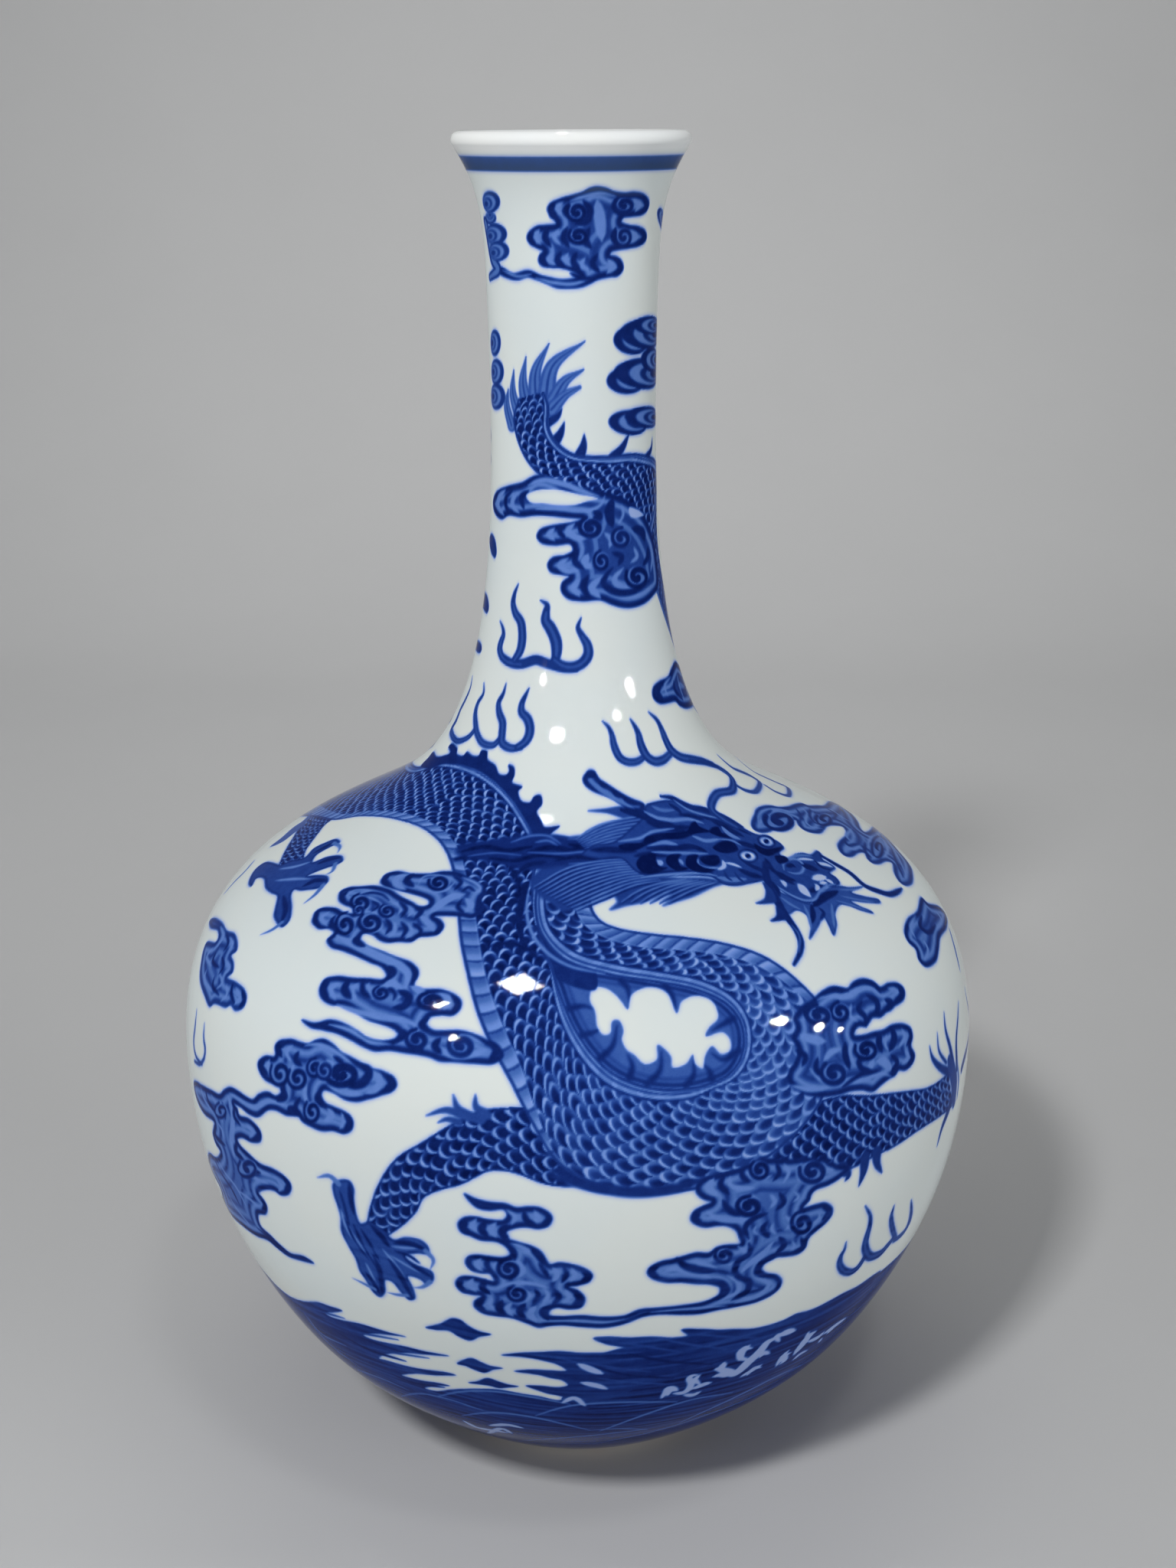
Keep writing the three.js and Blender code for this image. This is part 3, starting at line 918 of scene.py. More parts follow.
# Rungs of the dragon's body, from under the mane to the tail: the belly edge, the back edge, the shares
# of belly plates and of back band, the width of a scale in millimetres, and the ink
BODY_RUNGS = (
    (772, 1172, 700, 1150, 0.3, 0.2, 3.4, 0.74),
    (776, 1190, 697, 1183, 0.3, 0.2, 3.4, 0.74),
    (788, 1204, 703, 1216, 0.3, 0.2, 3.4, 0.74),
    (812, 1213, 732, 1252, 0.3, 0.24, 3.3, 0.74),
    (850, 1219, 790, 1273, 0.33, 0.26, 3.2, 0.72),
    (900, 1224, 850, 1283, 0.3, 0.24, 3.3, 0.66),
    (950, 1232, 900, 1292, 0.26, 0.22, 3.3, 0.62),
    (1000, 1249, 940, 1308, 0.22, 0.18, 3.4, 0.58),
    (1045, 1282, 962, 1330, 0.16, 0.14, 3.5, 0.52),
    (1080, 1325, 969, 1355, 0.08, 0.11, 3.6, 0.48),
    (1090, 1385, 965, 1382, 0.03, 0.1, 3.7, 0.46),
    (1070, 1445, 950, 1402, 0.02, 0.1, 3.5, 0.5),
    (1020, 1500, 922, 1415, 0.02, 0.09, 3.7, 0.56),
    (960, 1538, 890, 1421, 0.02, 0.12, 3.7, 0.62),
    (900, 1556, 855, 1420, 0.02, 0.13, 3.8, 0.64),
    (840, 1557, 825, 1412, 0.02, 0.14, 3.8, 0.62),
    (780, 1549, 798, 1398, 0.02, 0.14, 3.8, 0.6),
    (728, 1520, 775, 1376, 0.05, 0.14, 3.8, 0.64),
    (694, 1468, 755, 1347, 0.12, 0.15, 3.7, 0.72),
    (665, 1412, 740, 1316, 0.2, 0.14, 3.7, 0.78),
    (641, 1368, 730, 1288, 0.22, 0.1, 3.6, 0.82),
    (622, 1322, 722, 1262, 0.22, 0.05, 3.5, 0.84),
    (609, 1272, 712, 1235, 0.22, 0.04, 3.6, 0.86),
    (600, 1228, 703, 1205, 0.24, 0.04, 3.4, 0.88),
    (597, 1195, 698, 1170, 0.22, 0.04, 3.3, 0.88),
    (594, 1162, 700, 1138, 0.16, 0.05, 3.2, 0.88),
    (590, 1136, 707, 1112, 0.14, 0.07, 3.1, 0.88),
    (583, 1115, 699, 1090, 0.15, 0.09, 3.1, 0.88),
    (572, 1098, 688, 1068, 0.15, 0.1, 3.1, 0.87),
    (555, 1084, 672, 1043, 0.15, 0.1, 3.1, 0.86),
    (535, 1075, 650, 1020, 0.15, 0.1, 3.1, 0.86),
    (507, 1068, 620, 1001, 0.15, 0.1, 3.1, 0.84),
    (472, 1066, 582, 992, 0.14, 0.1, 3.1, 0.8),
    (436, 1071, 548, 1001, 0.13, 0.1, 3.1, 0.78),
)
# Behind the vase, the edges are in degrees round the axis and millimetres of height
BODY_HIDDEN_RUNGS = (
    (-95, 173.6, -99, 188.5, 0.13, 0.1, 3.0, 0.78),
    (-103, 170, -113, 186, 0.15, 0.1, 3.1, 0.78),
    (-113, 164.5, -128, 183, 0.16, 0.1, 3.1, 0.78),
    (-128, 158, -144, 180, 0.16, 0.1, 3.1, 0.8),
    (-145, 154, -164, 180, 0.16, 0.1, 3.1, 0.8),
    (-165, 157, -188, 186, 0.16, 0.1, 3.0, 0.8),
    (-186, 170, -222, 198, 0.16, 0.1, 2.9, 0.8),
    (-210, 187, -262, 215, 0.15, 0.11, 2.7, 0.8),
    (-240, 210, -292, 236, 0.14, 0.12, 2.6, 0.82),
    (-268, 232, -305, 252, 0.12, 0.13, 2.6, 0.84),
)
TAIL_RUNGS = (
    (846, 690, 862, 612, 0.05, 0.16, 2.5, 0.86),
    (800, 664, 835, 592, 0.05, 0.18, 2.5, 0.86),
    (756, 648, 790, 595, 0.05, 0.2, 2.5, 0.86),
    (716, 630, 750, 592, 0.05, 0.2, 2.5, 0.86),
    (690, 606, 728, 576, 0.05, 0.2, 2.5, 0.84),
    (675, 575, 718, 556, 0.05, 0.18, 2.4, 0.84),
    (670, 545, 718, 530, 0.05, 0.14, 2.4, 0.82),
    (676, 522, 712, 512, 0.05, 0.1, 2.3, 0.8),
)
LOOP_INSIDE = (
    (716, 1258), (745, 1266), (790, 1272), (850, 1282), (900, 1291), (940, 1307), (963, 1330),
    (970, 1355), (966, 1382), (951, 1403), (922, 1416), (890, 1422), (855, 1421), (825, 1413),
    (798, 1399), (775, 1377), (754, 1347), (739, 1316), (729, 1288),
)
LOOP_HOLE = (
    (774, 1290), (790, 1290), (803, 1298), (812, 1308), (820, 1318), (824, 1300), (838, 1291),
    (854, 1289), (872, 1297), (884, 1323), (890, 1308), (908, 1300), (926, 1304), (934, 1312),
    (938, 1330), (926, 1343), (922, 1353), (944, 1348), (954, 1358), (954, 1372), (942, 1377),
    (930, 1367), (921, 1380), (918, 1396), (908, 1390), (905, 1378), (896, 1390), (878, 1394),
    (876, 1380), (859, 1365), (858, 1384), (842, 1390), (828, 1378), (818, 1371), (812, 1358),
    (814, 1346), (808, 1333), (800, 1334), (797, 1350), (788, 1352), (780, 1342), (777, 1322),
    (770, 1306),
)
LOOP_STROKES = (
    ((812, 1281), (820, 1292), (822, 1308)), ((868, 1286), (878, 1300), (883, 1316)),
    ((958, 1330), (944, 1338), (930, 1346)), ((966, 1372), (944, 1384), (930, 1376)),
    ((896, 1418), (906, 1404), (906, 1386)), ((846, 1416), (862, 1398), (864, 1374)),
    ((782, 1384), (800, 1366), (806, 1340)), ((741, 1318), (762, 1314), (776, 1318)),
    ((738, 1268), (758, 1276), (772, 1288)), ((822, 1408), (826, 1392), (820, 1378)),
    ((930, 1410), (926, 1398), (918, 1390)), ((760, 1352), (776, 1348), (784, 1344)),
)
CREST = (
    (550, 1001), (560, 989), (566, 982), (570, 988), (580, 987), (588, 983), (586, 975), (591, 971),
    (597, 977), (597, 985), (605, 987), (610, 982), (617, 987), (625, 987), (629, 980), (636, 981),
    (637, 992), (647, 1000), (652, 1011), (661, 1012), (665, 1007), (664, 999), (671, 1002), (672, 1012),
    (669, 1022), (682, 1028), (677, 1033), (681, 1046), (692, 1048), (698, 1040), (706, 1039),
    (708, 1050), (701, 1060), (707, 1072), (711, 1080), (731, 1079), (724, 1085), (712, 1094),
    (702, 1096), (690, 1076), (674, 1051), (655, 1029), (634, 1011), (606, 1000), (580, 998), (560, 1004),
)
TAIL_CREST = (
    (9, (842, 600), (850, 588), (852, 572)), (13, (800, 598), (812, 586), (822, 566)),
    (14, (756, 598), (762, 582), (763, 568)), (13, (724, 578), (732, 566), (737, 552)),
    (11, (716, 552), (728, 544), (734, 534)),
)
BODY_GAPS = (
    ((722, 1528), (760, 1526), (800, 1536), (850, 1544), (900, 1540), (930, 1536), (900, 1554),
     (850, 1562), (800, 1560), (760, 1552)),
    ((694, 1206), (714, 1220), (740, 1244), (776, 1264), (778, 1292), (742, 1286), (712, 1266),
     (694, 1240)),
)
COLUMN_SHADES = (
    (((596, 1122), (630, 1114), (668, 1110), (712, 1108), (742, 1110)), 15),
    (((664, 1128), (676, 1150), (680, 1180), (676, 1210)), 10),
    (((640, 1236), (664, 1232), (690, 1240), (706, 1256)), 9),
)


LEFT_LEG = (
    (760, 1552, 760, 1440, 0.02, 0.02, 3.8, 0.84),
    (715, 1548, 712, 1446, 0.02, 0.02, 3.8, 0.86),
    (670, 1532, 660, 1446, 0.02, 0.02, 3.8, 0.88),
    (640, 1530, 620, 1452, 0.02, 0.02, 3.8, 0.9),
    (604, 1547, 582, 1472, 0.02, 0.02, 3.8, 0.9),
    (572, 1556, 550, 1492, 0.02, 0.02, 3.7, 0.9),
    (553, 1566, 520, 1510, 0.02, 0.02, 3.7, 0.88),
    (545, 1582, 503, 1530, 0.02, 0.02, 3.6, 0.86),
    (530, 1598, 488, 1560, 0.02, 0.02, 3.5, 0.84),
    (508, 1614, 478, 1598, 0.02, 0.02, 3.6, 0.8),
)
RIGHT_LEG = (
    (1243, 1446, 1238, 1402, 0.02, 0.02, 3.3, 0.74),
    (1218, 1465, 1212, 1420, 0.02, 0.02, 3.4, 0.8),
    (1195, 1480, 1190, 1424, 0.02, 0.02, 3.6, 0.84),
    (1170, 1497, 1165, 1427, 0.02, 0.02, 3.5, 0.86),
    (1140, 1512, 1135, 1430, 0.02, 0.02, 3.5, 0.88),
    (1100, 1532, 1100, 1430, 0.02, 0.02, 3.6, 0.88),
    (1050, 1540, 1065, 1438, 0.02, 0.02, 3.6, 0.86),
    (985, 1540, 1010, 1440, 0.02, 0.02, 3.6, 0.8),
)
UPPER_LEG = (
    (452, 1062, 424, 1042, 0.02, 0.02, 2.8, 0.8),
    (436, 1069, 408, 1062, 0.02, 0.02, 2.8, 0.8),
    (425, 1077, 394, 1076, 0.02, 0.02, 2.8, 0.82),
    (416, 1088, 384, 1092, 0.02, 0.02, 2.8, 0.82),
    (407, 1100, 374, 1108, 0.02, 0.02, 2.8, 0.82),
    (399, 1112, 368, 1120, 0.02, 0.02, 2.8, 0.82),
    (397, 1124, 364, 1130, 0.02, 0.02, 2.8, 0.8),
)
COLUMN_LIGHT = ((694, 1150), (688, 1180), (692, 1212), (712, 1242), (745, 1262), (790, 1272))
BELLY_SHADE = ((720, 1536), (770, 1549), (830, 1557), (880, 1552), (925, 1538))
LOOP_INK = 0.46
# The bare spot's middle, half width, half height, ink and tilt
LOOP_SPOT = (757, 1284, 7, 5, 0.12, -10)
LOOP_BANDS = ((0.4, 1.3, 0.78), (1.8, 2.6, 0.6))
SPIKE_INK = 0.8
CREST_INK = 0.84
COLUMN_INK = 0.95


def leg(rungs, seed, facing=70, fade_in=0.0, fade_out=0.0):
    """A scaly leg over its rungs, which may fade into the body at either end."""
    limb = Strip(rungs, fade_in=fade_in, fade_out=fade_out)
    limb.lay(limb.tone)
    scaled(limb, seed, lean=0.2, facing=facing)
    edged(limb, tone=0.8, width=0.6)


def tail_fin():
    """The fin at the tail's end, and the spikes along the tail."""
    for points, widths in TAIL_FIN_TIPS:
        for share, tone in FIN_INKS:
            stroke(points, np.asarray(widths) * share, tone)
    for width, *points in TAIL_CREST:
        tapered(points, width, SPIKE_INK)


def body_loop():
    """The web inside the body's loop, with a gap of bare glaze."""
    fill(LOOP_INSIDE, LOOP_INK, bands=LOOP_BANDS, edge=0.9)
    for points in LOOP_STROKES:
        tapered(points, width=9, tone=SPIKE_INK, edge=1.2)
    fill(LOOP_HOLE, BARE)
    spot(*LOOP_SPOT)


def dragon_body():
    """The tail, three legs and the body, each over the one before."""
    tail_fin()
    leg(LEFT_LEG, seed=3, fade_in=6)
    leg(RIGHT_LEG, seed=7, fade_out=6)
    leg(UPPER_LEG, seed=11, facing=115, fade_in=2)
    body_loop()
    for ring in BODY_GAPS:
        fill(ring, SPIKE_INK)
    body = Strip(BODY_RUNGS, BODY_HIDDEN_RUNGS, TAIL_RUNGS)
    body.lay(body.tone)
    scaled(body)
    plated(body)
    backed(body)
    edged(body, tone=0.72, width=0.9)
    fill(CREST, CREST_INK)
    for points, width in COLUMN_SHADES:
        brush(points, width, COLUMN_INK, edge=1.6, ends=0.4)
    brush(COLUMN_LIGHT, width=6, tone=0.3)
    brush(BELLY_SHADE, width=15, tone=0.76, edge=1.4)


LEFT_FOOT = (
    (435, 1546), (445, 1541), (456, 1542), (462, 1552), (462, 1568), (465, 1585), (471, 1598),
    (482, 1596), (500, 1606), (514, 1619), (530, 1616), (550, 1620), (560, 1630), (560, 1638),
    (545, 1637), (530, 1640), (538, 1650), (552, 1655), (565, 1662), (566, 1672), (558, 1678),
    (549, 1671), (533, 1667), (540, 1684), (542, 1696), (535, 1698), (524, 1688), (512, 1674),
    (503, 1672), (503, 1688), (497, 1694), (487, 1687), (478, 1672), (470, 1660), (465, 1645),
    (455, 1627), (446, 1608), (445, 1590), (441, 1575), (436, 1560),
)
LEFT_FOOT_LIGHTS = (
    (9, (445, 1580), (452, 1600), (466, 1622), (484, 1640)), (5, (478, 1650), (484, 1662), (490, 1674)),
    (6, (500, 1632), (515, 1650), (528, 1668)), (5, (512, 1628), (530, 1630), (545, 1630)),
    (5, (510, 1640), (530, 1652), (548, 1662)),
)
LEFT_FOOT_DARKS = (
    (8, (456, 1546), (458, 1565), (462, 1585)), (8, (488, 1640), (496, 1660), (499, 1690)),
    (9, (508, 1645), (522, 1665), (538, 1694)), (8, (515, 1624), (535, 1624), (556, 1632)),
    (7, (530, 1646), (548, 1658), (564, 1668)), (9, (484, 1600), (496, 1612), (508, 1628)),
    (4, (450, 1590), (462, 1618), (482, 1646)), (4, (472, 1606), (484, 1626), (496, 1648)),
    (4, (462, 1600), (474, 1626), (492, 1656)), (7, (478, 1662), (488, 1676), (496, 1690)),
    (4, (516, 1634), (534, 1640), (548, 1650)), (4, (444, 1556), (450, 1576), (456, 1600)),
)
LEFT_TALONS = (
    (9, (442, 1546), (430, 1536), (414, 1538)), (8, (556, 1634), (566, 1646), (562, 1658)),
    (7, (562, 1674), (552, 1681), (540, 1682)), (6, (532, 1692), (518, 1691), (506, 1688)),
    (6, (490, 1684), (474, 1676), (460, 1669)),
)
LEFT_ELBOW = (
    (14, (628, 1462), (604, 1456), (582, 1450), (557, 1457)), (13, (612, 1458), (598, 1448), (592, 1430)),
    (13, (636, 1456), (622, 1446), (621, 1430)), (10, (600, 1466), (584, 1462), (572, 1466)),
)
RIGHT_TOES = (
    (12, (1243, 1402), (1228, 1394), (1218, 1382), (1214, 1366)),
    (5, (1236, 1388), (1227, 1374), (1224, 1348)),
    (10, (1246, 1396), (1241, 1368), (1235, 1345), (1233, 1322)),
    (8, (1250, 1396), (1249, 1360), (1251, 1330), (1252, 1308)),
    (11, (1256, 1396), (1264, 1362), (1266, 1330), (1260, 1290)),
    (16, (1246, 1425), (1238, 1452), (1230, 1474), (1224, 1497)),
)
UPPER_FOOT = (
    (398, 1120), (410, 1108), (424, 1101), (440, 1096), (444, 1100), (436, 1104), (424, 1110),
    (412, 1118), (408, 1126), (428, 1119), (446, 1118), (448, 1124), (438, 1130), (428, 1133),
    (412, 1139), (402, 1144), (414, 1143), (428, 1145), (428, 1152), (416, 1160), (404, 1162),
    (392, 1163), (384, 1162), (380, 1170), (381, 1184), (378, 1202), (368, 1211), (358, 1198),
    (360, 1184), (362, 1170), (354, 1166), (347, 1160), (345, 1148), (340, 1146), (334, 1148),
    (328, 1158), (325, 1155), (328, 1144), (336, 1133), (348, 1126), (360, 1128), (366, 1130),
    (380, 1124),
)
UPPER_TALONS = (
    (7, (436, 1101), (444, 1106), (441, 1114)), (7, (438, 1128), (434, 1138), (426, 1142)),
    (8, (422, 1156), (412, 1168), (397, 1180)), (7, (368, 1205), (356, 1214), (340, 1221)),
)


UPPER_FOOT_LIGHTS = (
    (6, (365, 1135), (385, 1132), (405, 1126)), (6, (360, 1150), (385, 1148), (405, 1148)),
)
UPPER_FOOT_DARKS = (
    (7, (410, 1114), (425, 1106), (438, 1099)), (8, (415, 1128), (432, 1122), (445, 1120)),
    (9, (395, 1158), (412, 1150), (427, 1150)), (9, (370, 1170), (373, 1188), (368, 1204)),
)
RIGHT_ELBOW = (
    ((1100, 1525), (1108, 1535), (1104, 1542)), ((1130, 1512), (1128, 1530), (1122, 1549)),
    ((1145, 1505), (1146, 1520), (1152, 1532)),
)
RIGHT_PALM = ((1240, 1385), (1246, 1410), (1246, 1440))
RIGHT_PALM_LIGHT = ((1250, 1385), (1252, 1410), (1250, 1435))
TALON_INK = 0.34
UPPER_TALON_INK = 0.36
TOE_INK = 0.7


def talons(lines, tone):
    """The claws of a foot, each running out to a point."""
    for width, *points in lines:
        tapered(points, width, tone)


def left_foot():
    """The foot at the lower left, with five claws."""
    motif(LEFT_FOOT, LEFT_FOOT_LIGHTS, LEFT_FOOT_DARKS, tone=0.58, rim=0.72, rim_width=0.6, bands=())
    talons(LEFT_TALONS, TALON_INK)


def right_foot():
    """The foot at the vase's right edge, and the hair at its elbow."""
    for points in RIGHT_ELBOW:
        tapered(points, width=18, tone=0.72)
    talons(RIGHT_TOES, TOE_INK)
    brush(RIGHT_PALM, width=26, tone=0.6, ends=0.6)
    brush(RIGHT_PALM_LIGHT, width=6, tone=0.4)


def feet():
    """The three feet that the photograph shows."""
    for width, *points in LEFT_ELBOW:
        tapered(points, width, tone=0.6, edge=0.8)
    left_foot()
    right_foot()
    motif(UPPER_FOOT, UPPER_FOOT_LIGHTS, UPPER_FOOT_DARKS, tone=0.62, rim=0.78, rim_width=0.6, bands=())
    talons(UPPER_TALONS, UPPER_TALON_INK)


MIDDLE_CLOUD = (
    (499, 1150), (502, 1143), (518, 1138), (538, 1141), (560, 1141), (580, 1138), (600, 1140),
    (620, 1150), (632, 1157), (636, 1166), (630, 1172), (627, 1184), (626, 1194), (616, 1199),
    (602, 1197), (582, 1196), (568, 1197), (576, 1202), (578, 1212), (573, 1220), (560, 1223),
    (548, 1224), (538, 1230), (522, 1230), (506, 1231), (496, 1228), (486, 1221), (474, 1220),
    (471, 1228), (480, 1235), (498, 1242), (518, 1250), (538, 1258), (546, 1268), (542, 1280),
    (542, 1289), (556, 1292), (574, 1292), (590, 1297), (600, 1306), (602, 1316), (592, 1326),
    (576, 1326), (561, 1329), (557, 1337), (565, 1345), (582, 1346), (600, 1346), (618, 1350),
    (636, 1358), (652, 1366), (658, 1379), (646, 1389), (620, 1389), (592, 1387), (574, 1386),
    (562, 1381), (548, 1378), (528, 1375), (508, 1372), (490, 1373), (474, 1367), (458, 1358),
    (440, 1350), (420, 1345), (406, 1342), (394, 1332), (410, 1336), (432, 1332), (450, 1337),
    (466, 1346), (480, 1355), (498, 1359), (516, 1356), (520, 1349), (510, 1342), (498, 1338),
    (480, 1332), (464, 1322), (450, 1314), (432, 1312), (420, 1304), (418, 1290), (424, 1279),
    (440, 1275), (458, 1277), (480, 1278), (500, 1279), (505, 1274), (498, 1263), (486, 1258),
    (468, 1250), (448, 1242), (432, 1237), (427, 1228), (436, 1218), (430, 1213), (416, 1213),
    (409, 1204), (411, 1192), (420, 1186), (438, 1186), (450, 1192), (465, 1192), (468, 1186),
    (452, 1183), (443, 1176), (444, 1165), (456, 1159), (470, 1158), (490, 1157), (510, 1162),
    (522, 1170), (538, 1178), (548, 1184), (560, 1181), (560, 1176), (550, 1171), (536, 1167),
    (520, 1163), (506, 1158),
)
MIDDLE_LIGHTS = (
    (10, (534, 1142), (518, 1147), (517, 1155), (530, 1162)),
    (4, (546, 1156), (552, 1146), (572, 1143), (590, 1148)),
    (5, (594, 1152), (582, 1163), (560, 1163), (545, 1158)),
    (4, (560, 1150), (575, 1147), (588, 1153), (576, 1160)),
    (6, (604, 1146), (622, 1154), (628, 1162), (616, 1166)),
    (14, (606, 1168), (590, 1172), (574, 1182), (562, 1192)), (10, (608, 1173), (615, 1183), (608, 1191)),
    (4, (452, 1178), (456, 1166), (472, 1162), (496, 1166), (516, 1176)),
    (5, (462, 1180), (480, 1172), (494, 1178), (502, 1186)), (5, (474, 1190), (490, 1192), (504, 1196)),
    (6, (512, 1178), (524, 1185), (520, 1195)), (6, (531, 1182), (539, 1189), (533, 1197)),
    (7, (430, 1191), (419, 1200), (428, 1210)), (6, (440, 1197), (452, 1198), (462, 1204), (462, 1214)),
    (7, (474, 1212), (486, 1217), (498, 1210), (496, 1200)), (8, (512, 1204), (516, 1214), (508, 1224)),
    (7, (532, 1206), (538, 1216), (530, 1226)), (10, (548, 1196), (560, 1206), (566, 1216)),
    (14, (440, 1222), (456, 1230), (480, 1242), (502, 1252), (524, 1262), (534, 1275), (530, 1290)),
    (9, (444, 1284), (432, 1292), (438, 1306)), (8, (468, 1284), (460, 1294), (466, 1306)),
    (10, (482, 1284), (480, 1296), (494, 1304)), (12, (500, 1288), (512, 1284), (524, 1296), (520, 1304)),
    (12, (536, 1288), (552, 1298), (556, 1314)), (12, (570, 1298), (586, 1306), (580, 1318)),
    (9, (440, 1312), (470, 1322), (500, 1330), (535, 1334), (548, 1350)),
    (7, (430, 1338), (456, 1345), (480, 1360), (510, 1364)),
    (12, (572, 1366), (585, 1376), (610, 1378), (635, 1372)), (6, (590, 1352), (612, 1354), (632, 1364)),
)
MIDDLE_DARKS = (
    (9, (508, 1144), (501, 1150), (508, 1158)), (10, (540, 1142), (531, 1150), (540, 1158)),
    (6, (592, 1144), (602, 1152), (594, 1162)), (5, (604, 1164), (612, 1159), (620, 1164)),
    (6, (604, 1174), (598, 1184), (606, 1193)), (8, (626, 1176), (630, 1186), (622, 1194)),
    (8, (454, 1164), (447, 1172), (452, 1180)), (4, (470, 1169), (486, 1166), (500, 1169), (508, 1176)),
    (5, (486, 1177), (494, 1183), (486, 1190)), (6, (522, 1178), (530, 1188), (524, 1198)),
    (8, (544, 1184), (550, 1190), (542, 1200)), (7, (438, 1196), (433, 1204), (438, 1212)),
    (8, (416, 1192), (411, 1202), (418, 1210)), (6, (504, 1200), (510, 1210), (504, 1220)),
    (6, (524, 1204), (530, 1214), (524, 1226)), (5, (540, 1206), (550, 1216), (544, 1224)),
    (8, (570, 1202), (576, 1210), (568, 1220)), (9, (470, 1222), (464, 1228), (476, 1236)),
    (10, (508, 1262), (514, 1270), (506, 1278)), (8, (538, 1262), (543, 1272), (538, 1284)),
    (12, (430, 1280), (422, 1292), (428, 1306)), (12, (456, 1280), (450, 1292), (458, 1304)),
    (8, (474, 1280), (474, 1294), (484, 1304)), (5, (502, 1296), (510, 1292), (516, 1299), (514, 1306)),
    (12, (520, 1294), (534, 1302), (528, 1314), (514, 1316)), (8, (560, 1330), (550, 1338), (558, 1348)),
    (8, (518, 1346), (530, 1350), (520, 1360)), (12, (538, 1352), (545, 1362), (552, 1372)),
    (10, (575, 1356), (568, 1366), (576, 1376)), (10, (640, 1360), (648, 1372), (640, 1386)),
    (8, (590, 1300), (599, 1310), (590, 1322)), (4, (404, 1338), (430, 1342), (460, 1354), (486, 1368)),
)
MIDDLE_SPOTS = (
    (573, 1153, 6, 4.5, 0.95), (471, 1179, 6, 5, 0.92), (506, 1190, 5, 4, 0.9),
    (469, 1189, 3.5, 3.5, 0.9), (451, 1208, 6, 7, 0.92), (484, 1205, 7, 6, 0.9), (498, 1297, 5, 4, 0.9),
    (563, 1308, 8, 5, 0.9), (545, 1358, 7, 6, 0.85), (603, 1366, 8, 7, 0.8),
)


LOW_CLOUD = (
    (606, 1559), (620, 1565), (640, 1570), (660, 1572), (674, 1577), (690, 1576), (704, 1577),
    (716, 1583), (721, 1591), (717, 1601), (704, 1605), (688, 1603), (674, 1604), (662, 1609),
    (661, 1616), (676, 1622), (696, 1628), (708, 1636), (714, 1646), (718, 1651), (730, 1649),
    (750, 1652), (766, 1658), (774, 1666), (770, 1674), (756, 1679), (744, 1681), (756, 1686),
    (764, 1696), (760, 1707), (744, 1710), (728, 1708), (719, 1711), (717, 1717), (732, 1719),
    (760, 1718), (790, 1720), (816, 1718), (836, 1710), (860, 1708), (890, 1705), (916, 1701),
    (930, 1696), (939, 1690), (940, 1682), (930, 1678), (910, 1677), (890, 1675), (870, 1675),
    (854, 1671), (846, 1664), (848, 1656), (862, 1648), (880, 1644), (894, 1640), (910, 1636),
    (926, 1636), (936, 1629), (950, 1626), (967, 1624), (965, 1616), (962, 1608), (952, 1602),
    (938, 1601), (922, 1603), (910, 1600), (902, 1592), (906, 1582), (918, 1575), (929, 1570),
    (918, 1566), (909, 1557), (910, 1547), (920, 1538), (940, 1533), (970, 1524), (994, 1514),
    (1030, 1514), (1060, 1512), (1090, 1520), (1110, 1524), (1098, 1538), (1082, 1548), (1066, 1554),
    (1060, 1560), (1058, 1567), (1050, 1577), (1066, 1573), (1078, 1571), (1087, 1577), (1087, 1586),
    (1078, 1598), (1066, 1608), (1056, 1618), (1052, 1630), (1042, 1638), (1026, 1641), (1010, 1643),
    (999, 1650), (995, 1658), (1002, 1663), (1014, 1665), (1021, 1672), (1019, 1681), (1010, 1690),
    (990, 1700), (966, 1706), (938, 1711), (914, 1716), (890, 1717), (860, 1717), (840, 1720),
    (816, 1729), (790, 1734), (760, 1733), (736, 1731), (716, 1732), (704, 1734), (690, 1729),
    (670, 1722), (648, 1719), (630, 1715), (619, 1706), (620, 1699), (628, 1693), (616, 1691),
    (602, 1687), (595, 1676), (600, 1668), (616, 1667), (630, 1670), (645, 1673), (640, 1664),
    (628, 1663), (616, 1659), (608, 1650), (610, 1642), (622, 1639), (640, 1641), (658, 1642),
    (666, 1638), (660, 1628), (648, 1622), (628, 1620), (614, 1614), (602, 1609), (598, 1598),
    (606, 1590), (620, 1589), (640, 1593), (658, 1593), (662, 1587), (658, 1580), (640, 1581),
    (624, 1578), (614, 1570),
)
